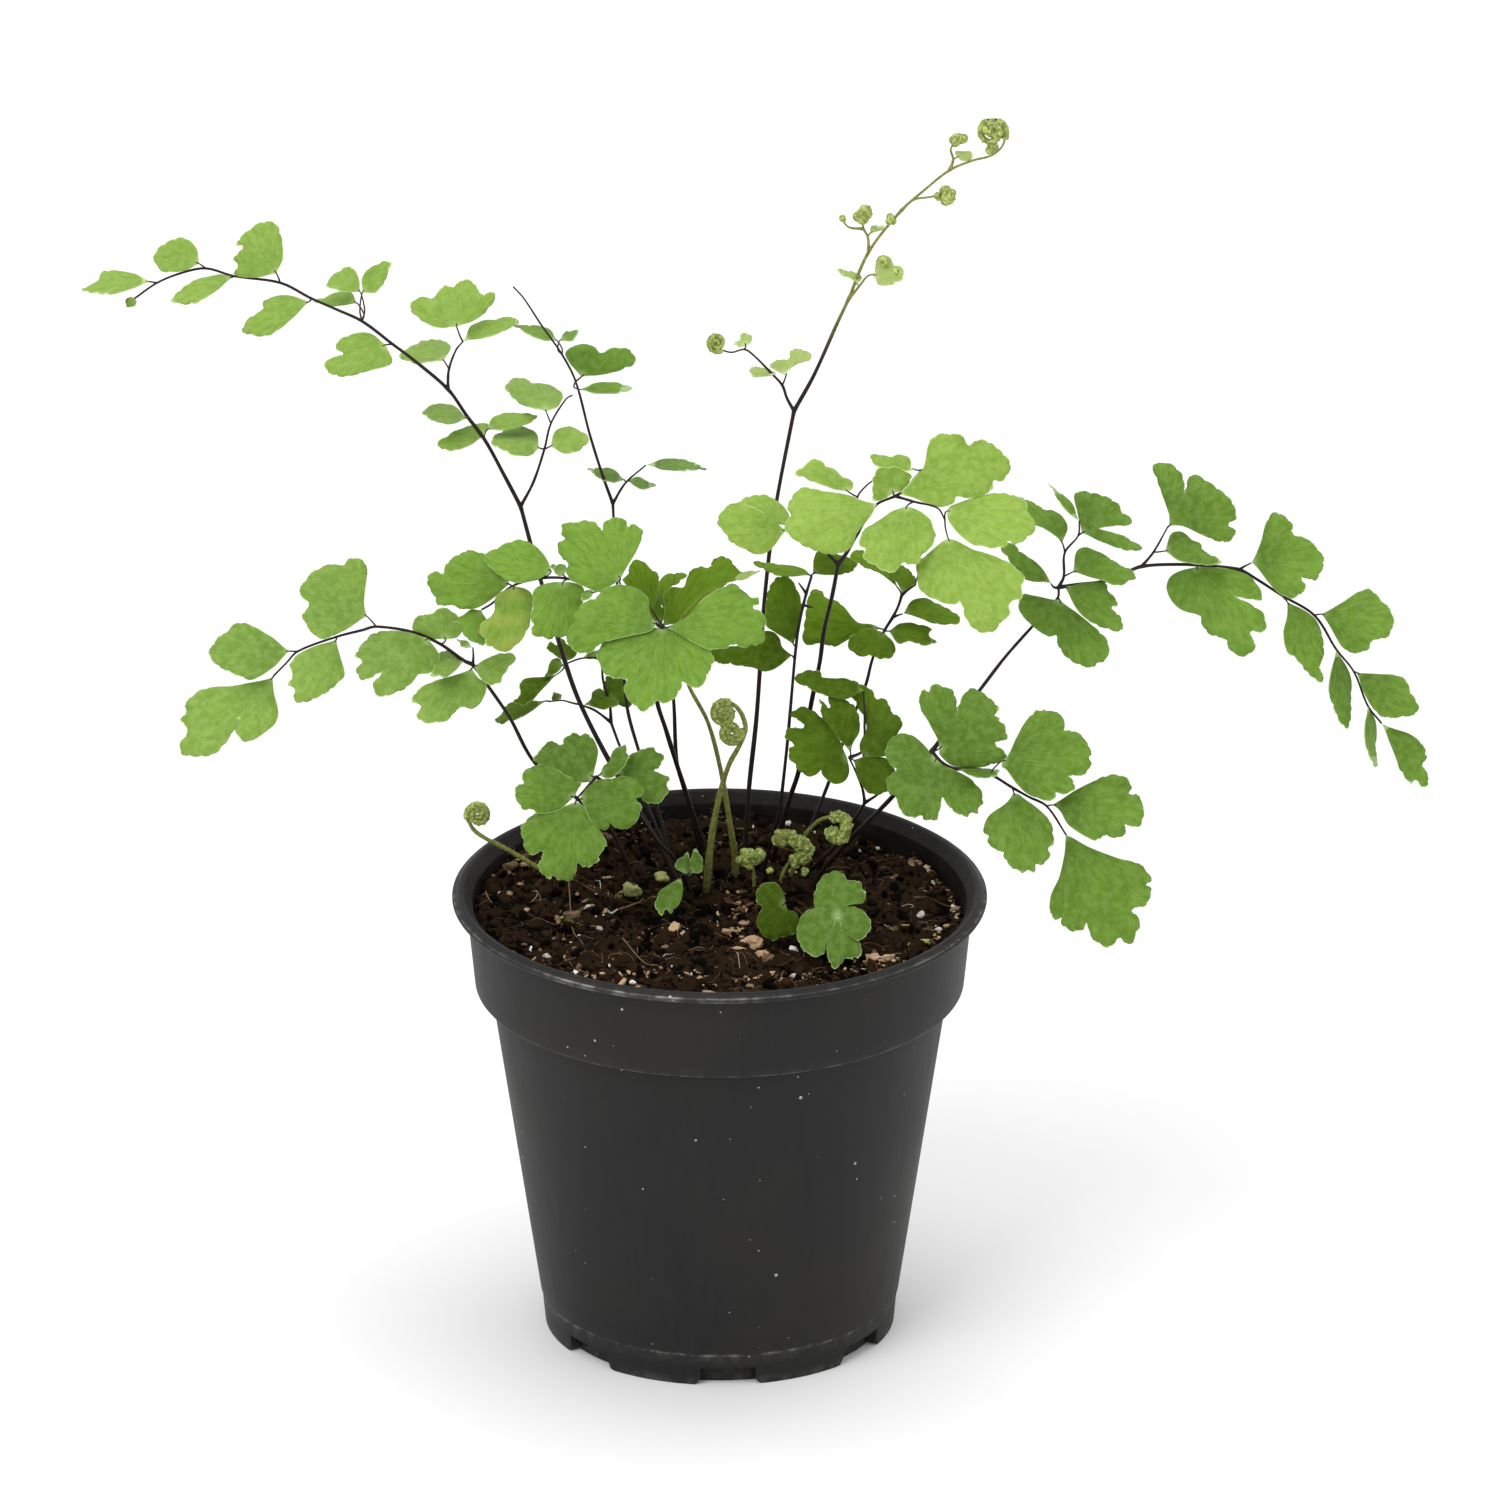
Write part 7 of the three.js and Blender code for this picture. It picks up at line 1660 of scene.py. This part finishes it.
    Frond("fiddlehead_double", Growth.YOUNG, (-2.6, 12.2), ripe_up=-14.0, hairs=30, girth=0.5, rows="""
stem 6.5 -23 25 113 6 60 -13 7 45 -10 15 65 -20 15 45 -20 20 36 -10 11 29 -5 -5 25 0 -12 19 0 -15 10 0
coil 9 337 35 23 650 10 7
coil 23 300 35 22 100 -10 7
bud 9 339 35 9
"""),
    Frond("fiddlehead_arched", Growth.YOUNG, (14.2, 19.5), ripe_up=-30.0, hairs=14, rows="""
stem 5.5 150 60 180 13 30 -25 17 23 -30 20 16 -30 24 7 -25
stem 13 224 136 70 19 -7 -15 7 -15 -10 -8 -18 -5 -12 -8 0 -11 8 0 0 13 2
"""),
    Frond("furled_leaf", Growth.YOUNG, (11.7, 14.5), ripe_up=-30.0, hairs=10, rows="""
stem 5 123 20 140 11 20 -5 8 7 -5
stem 15 142 47 130 21 6 -4 6 19 -2 -16 13 -4 -19 13 0 -17 -4 0 2 -12 0
bud 166 26 115 11
"""),
    Frond("bud_cluster", Growth.YOUNG, (6.8, 13.5), ripe_up=-30.0, hairs=10, rows="""
stem 5 67 20 130 -3 24 -5
bud 63 46 125 20
bud 76 57 120 16
bud 55 63 120 15
bud 46 49 120 16
bud 99 28 115 8
"""),
    Frond("seedling_left", Growth.MID, (-8.6, 5.5), tone=-1.1, rows="""
stem 3.5 -82 0 46 8 20 -6
leaf -77 16 2 14 0 -15 -13 -28 -19 -7 -24 15 -15 9 10 9 -6 17 26 3 25
leaf -72 24 1 5 0 -14 14 10 16 14 12 6 -20 0 -24
leaf -59 24 -2 6 0 7 46 8 2 10 -24 -4 -20
"""),
    Frond("seedling_centre", Growth.DARK, (12.8, -7), tone=-1.1, rows="""
stem 4 129 -50 -95 -1 22 -31
leaf 129 -34 0 5 0 -3 14 -14 22 -14 5 -23 -11 -3 -26 14 -13 -13 -17 3 -26 27 -23 12 5 36 12 1 32 -7 8 -11 3
"""),
    Frond("seedling_right", Growth.MID, (23.5, -13.5), tone=-2.3, rows="""
stem 4.2 234 -86 -172 -2 24 -24
leaf 232 -58 0 9 0 -42 16 -1 42 16 27 28 9 11 -7 7 -11 22 -3 7 -10 1 -9 7 -6 -8 -20 -15 -3 -20 -7 -4 -8
leaf 231 -59 -1 10 0 8 14 39 1 20 -32 -22 -30 -26 12
leaf 232 -59 0 10 0 14 -19 14 -24 15 -6 3 -22 -7 -7 -6 4 -6 -8 -14 4 -5 -13 -17 -9 -12 23 -1 26 12 36
leaf 231 -60 1 10 0 -10 12 -16 0 -17 5 -23 -6 -14 -27 0 -17 13 -29 22 -15 13 1 8 10 0 12
"""),
]


# Bits on the soil: across and up, half length, width and thickness, heading and tone.

BARK = [
    (5.9, -11, 1.5, 1.3, 1.2, 30, 1.2), (7, -12.2, 1.6, 1.3, 1.1, 52, 1.1), (8.2, -13.4, 1.5, 1.2, 1, 60, 0.8),
    (9.3, -14.6, 1.2, 1, 0.9, 50, 0.2), (30.5, -14.6, 1.5, 1.1, 0.8, 10, 1.1),
    (33, -15.2, 1.2, 0.9, 0.8, 40, 1), (2.5, -9.5, 1.5, 0.9, 0.7, 20, 0), (-44, 4.5, 1.6, 0.9, 0.5, 30, 0),
    (-13.5, 14.5, 1.7, 1.1, 0.8, -20, 0.4), (-9, -9, 1.6, 0.9, 0.7, 70, 0), (-29, -7, 1.8, 0.8, 0.5, 15, 0),
    (22, -15, 1.9, 0.7, 0.5, -35, 0), (34, 1, 1.4, 0.9, 0.5, 60, 0), (-22, 8, 1.5, 0.7, 0.4, -50, 0),
]
PERLITE = [
    (14.5, -13.5, 0.8, 0.7, 0.6, 0, 0), (14.5, -17, 0.6, 0.6, 0.5, 0, 0), (39.5, -6.5, 0.9, 0.7, 0.6, 0, 0),
    (43, -9, 0.7, 0.6, 0.5, 0, 0), (28, -17, 0.6, 0.5, 0.4, 0, 0), (46, -4, 0.6, 0.5, 0.5, 0, 0),
    (-26, -4.5, 0.7, 0.6, 0.5, 0, 0), (-23.5, -8.7, 0.6, 0.5, 0.4, 0, 0), (-33.8, -14.5, 0.7, 0.6, 0.5, 0, 0),
    (-28, -17, 0.6, 0.6, 0.4, 0, 0), (-17, -19.3, 0.6, 0.5, 0.4, 0, 0), (-36.5, -13, 0.6, 0.5, 0.5, 0, 0),
    (15, 13.5, 0.7, 0.6, 0.5, 0, 0), (28, 7, 0.6, 0.5, 0.4, 0, 0), (37, 10, 0.6, 0.6, 0.5, 0, 0),
]
MOSS = [
    (40.5, -11, 1.5, 1, 0.6, 20, 0.8), (-17.2, -1.6, 1.7, 1.6, 1.4, 0, 1.1), (-11.4, 0.2, 1.4, 1.2, 1.1, 20, 1),
    (-20, -2.6, 0.8, 0.6, 0.5, 40, 0.3), (-31, -6.2, 1.3, 0.6, 0.4, 10, 0.5),
    (34.5, -9.4, 1, 0.6, 0.4, 30, 0.2),
]
# Patches: kind, across and up, spread across and up, number, size and tone.
PATCHES = [
    ("bark", 47.5, -0.8, 1.1, 2.4, 46, 0.42, -0.2), ("perlite", 48.2, -2.6, 0.9, 2.2, 11, 0.38, 0),
    ("bark", 45.2, 3.4, 1, 1.2, 9, 0.4, 0.9), ("perlite", 41.4, 1.8, 0.6, 1, 4, 0.36, 0),
    ("bark", -44, 6.5, 2, 2.6, 44, 0.55, -0.7), ("bark", -41.5, 3.5, 2, 1.5, 14, 0.5, -1),
    ("bark", 3.4, -3.4, 1.1, 1.5, 60, 0.45, -0.3), ("bark", 3, -9.4, 1.3, 0.5, 14, 0.42, -0.1),
    ("bark", 31.5, -14.8, 2.4, 0.8, 30, 0.45, 0.7), ("perlite", 32.5, -14.8, 2.2, 0.8, 8, 0.36, 0),
    ("bark", 43, -10, 1.2, 1.2, 12, 0.42, 0.8), ("bark", 8, -17.6, 11, 0.7, 46, 0.34, 0.3),
    ("bark", -16, -17.5, 8, 0.9, 42, 0.34, 0.2), ("bark", -33, -12, 3, 1.8, 18, 0.42, 0.4),
    ("bark", -13, -9.5, 5, 3, 30, 0.36, -0.3), ("bark", 37, 5.6, 3.2, 0.9, 26, 0.6, -1.1),
    ("moss", -27, -6.5, 4, 2, 26, 0.4, -1.2), ("bark", -13.7, 13.9, 1.2, 0.7, 10, 0.45, 0.3),
    ("bark", -2, 11, 4, 1.6, 22, 0.4, -0.9), ("bark", 26, -10, 6, 3, 24, 0.34, -0.6),
]

# Roots and old stalks on the soil: kind, radius, tone, and points across and up.
STRANDS = [
    ("roots", 0.24, 1.0, -22.8, -7.7, -21.3, -6.8, -20.1, -5.4), ("roots", 0.18, 0.8, -21.3, -6.8, -22.3, -4.6),
    ("fibres", 0.24, -0.4, -35.8, 2.7, -29.6, -0.2, -22.8, -2.8, -15.6, -4.2, -12.3, -2.8),
    ("fibres", 0.15, 0.6, -29.6, -0.9, -29.2, -5.4, -28.6, -9.4, -26.7, -11.3),
    ("fibres", 0.24, -0.4, 25.7, 3.0, 30.5, 4.1, 34.2, 5.2, 39.1, 6.7),
    ("fibres", 0.15, 1.0, -46.0, -1.6, -45.4, -3.2, -44.0, -5.4),
    ("fibres", 0.2, 0.5, -20.1, -5.4, -17.0, -4.6, -12.8, -2.0),
    ("fibres", 0.15, 0.6, -19.0, -12.0, -14.5, -15.5, -12.0, -16.0),
]


# Finishes

LEAVES = {
    Growth.YELLOW: LeafFinish(
        base=(0.235, 0.37, 0.058), shade=(0.125, 0.235, 0.033), vein=(0.36, 0.5, 0.14),
        margin=(0.5, 0.62, 0.28), back=(0.26, 0.38, 0.1),
    ),
    Growth.LIME: LeafFinish(
        base=(0.265, 0.41, 0.06), shade=(0.155, 0.27, 0.028), vein=(0.4, 0.54, 0.16),
        margin=(0.56, 0.68, 0.32), back=(0.32, 0.45, 0.13),
    ),
    Growth.MID: LeafFinish(
        base=(0.165, 0.31, 0.03), shade=(0.07, 0.138, 0.01), vein=(0.24, 0.38, 0.1),
        margin=(0.4, 0.54, 0.24), back=(0.17, 0.28, 0.07),
    ),
    # Leaflets at the back and low in the plant: partly their own darker green, partly painted shade.
    Growth.DARK: LeafFinish(
        base=(0.135, 0.24, 0.012), shade=(0.04, 0.075, 0.002), vein=(0.13, 0.22, 0.03),
        margin=(0.24, 0.34, 0.11), back=(0.1, 0.16, 0.03), gloss=0.03,
    ),
    Growth.YOUNG: LeafFinish(
        base=(0.4, 0.49, 0.15), shade=(0.27, 0.37, 0.09), vein=(0.46, 0.56, 0.24),
        margin=(0.54, 0.62, 0.36), back=(0.38, 0.46, 0.18),
    ),
}
WIRE = StemFinish(ripe=(0.01, 0.006, 0.0045), young=(0.12, 0.1, 0.03), tip=(0.2, 0.25, 0.05), roughness=0.42)
SPROUT = StemFinish(ripe=(0.012, 0.007, 0.005), young=(0.3, 0.33, 0.078), tip=(0.56, 0.7, 0.17), roughness=0.55)
GRAINS = {
    "bed": GrainFinish(
        dark=(0.0018, 0.0013, 0.001), light=(0.021, 0.0118, 0.0055), size=0.6, bump=1.0,
        fleck=(0.13, 0.085, 0.05),
    ),
    "crumbs": GrainFinish(dark=(0.002, 0.0014, 0.001), light=(0.033, 0.0185, 0.0085), size=0.4, bump=0.9),
    "fibres": GrainFinish(dark=(0.03, 0.015, 0.008), light=(0.25, 0.155, 0.09), size=1.2),
    "roots": GrainFinish(dark=(0.3, 0.26, 0.2), light=(0.62, 0.58, 0.5), size=1.5),
    "bark": GrainFinish(
        dark=(0.035, 0.013, 0.006), light=(0.54, 0.37, 0.22), size=0.6, stretch=(0.5, 1.0, 1.6), bump=0.8
    ),
    "perlite": GrainFinish(dark=(0.42, 0.39, 0.34), light=(0.82, 0.8, 0.76), size=0.3),
    "moss": GrainFinish(dark=(0.035, 0.05, 0.012), light=(0.42, 0.44, 0.17), size=0.35, bump=0.9),
}


# Stage, light and camera


@dataclass
class Stage:
    """Plain pale floor, soft studio light, and the camera."""

    floor_size: float = 8.0
    distance: float = 8.0
    aim: tuple[float, float] = (5.97, 26.54)
    frame_width: float = 0.29384
    sensor: float = 36.0
    floor_points: int = 41
    bend_start: float = 2.2
    sky: float = 0.8

    def add_floor(self) -> None:
        """Adds the floor, which rises in a wide curve behind the pot."""
        part = np.linspace(-1, 1, self.floor_points)
        x, y = np.meshgrid(part * self.floor_size / 2, part * self.floor_size / 2)
        z = 0.25 * np.maximum(y - self.bend_start, 0) ** 2
        points = np.stack([x, y, z], axis=-1).reshape(-1, 3) / MM
        shell = Shell()
        shell.add(points, quads=sweep_grid(*x.shape, closed=False)[:, ::-1])
        floor = shell.build("floor")
        material, shader, principled = surface("floor_paper", Roughness=0.85, Specular_IOR_Level=0.2)
        cloud = shader.noise(shader.place(), 400.0, 2)
        tone = shader.mix(cloud, (0.9, 0.9, 0.9), (0.94, 0.94, 0.94))
        shader.tree.links.new(tone, principled.inputs["Base Color"])
        floor.data.materials.append(material)

    def add_light(self, name: str, spot: tuple, size: float, power: float) -> None:
        """Adds a square area light that points at the middle of the plant."""
        data = bpy.data.lights.new(name, "AREA")
        data.size, data.energy = size, power
        lamp = bpy.data.objects.new(name, data)
        lamp.location = spot
        lamp.rotation_euler = (Vector((0, 0, 0.12)) - Vector(spot)).to_track_quat("-Z", "Y").to_euler()
        bpy.context.scene.collection.objects.link(lamp)

    def add_sky(self) -> None:
        """Sets the even white light from all round."""
        world = bpy.data.worlds.new("studio")
        world.use_nodes = True
        background = world.node_tree.nodes["Background"]
        background.inputs["Color"].default_value = (1, 1, 1, 1)
        background.inputs["Strength"].default_value = self.sky
        bpy.context.scene.world = world
        bpy.context.scene.view_settings.view_transform = "Standard"

    def add_camera(self) -> None:
        """Adds the camera: far off, so that the plant is seen almost without perspective."""
        data = bpy.data.cameras.new("camera")
        data.sensor_width = self.sensor
        data.lens = self.sensor * self.distance / self.frame_width
        data.clip_end = 60.0
        camera = bpy.data.objects.new("camera", data)
        target = Vector(place([*self.aim, 0.0])[0] * MM)
        camera.location = target + self.distance * Vector((0, -VIEW_COS, VIEW_SIN))
        camera.rotation_euler = (target - camera.location).to_track_quat("-Z", "Y").to_euler()
        bpy.context.scene.collection.objects.link(camera)
        bpy.context.scene.camera = camera

    def make(self) -> None:
        """Builds the whole stage."""
        self.add_floor()
        self.add_light("key", (-1.0, -1.4, 1.9), 1.3, 24.0)
        self.add_light("fill", (1.7, -0.9, 1.1), 1.6, 5.0)
        self.add_light("top", (0.2, 0.5, 2.2), 1.6, 14.0)
        self.add_sky()
        self.add_camera()


def main() -> None:
    """Builds the pot, the soil and every frond, then the stage."""
    logging.basicConfig(level=logging.INFO, format="%(message)s")
    veins, dots = fan_veins(), specks()
    leaves = {growth: finish.make(growth.value, veins) for growth, finish in LEAVES.items()}
    wire, sprout = WIRE.make("stem_wire"), SPROUT.make("sprout_skin")
    Stage().make()
    Pot().make(PlasticFinish().make("pot_plastic", dots))
    Soil().make({name: finish.make("soil_" + name, dots) for name, finish in GRAINS.items()})
    for number, frond in enumerate(FRONDS):
        frond.make(number, leaves[frond.growth], sprout if frond.growth is Growth.YOUNG else wire)


if __name__ == "__main__":
    main()
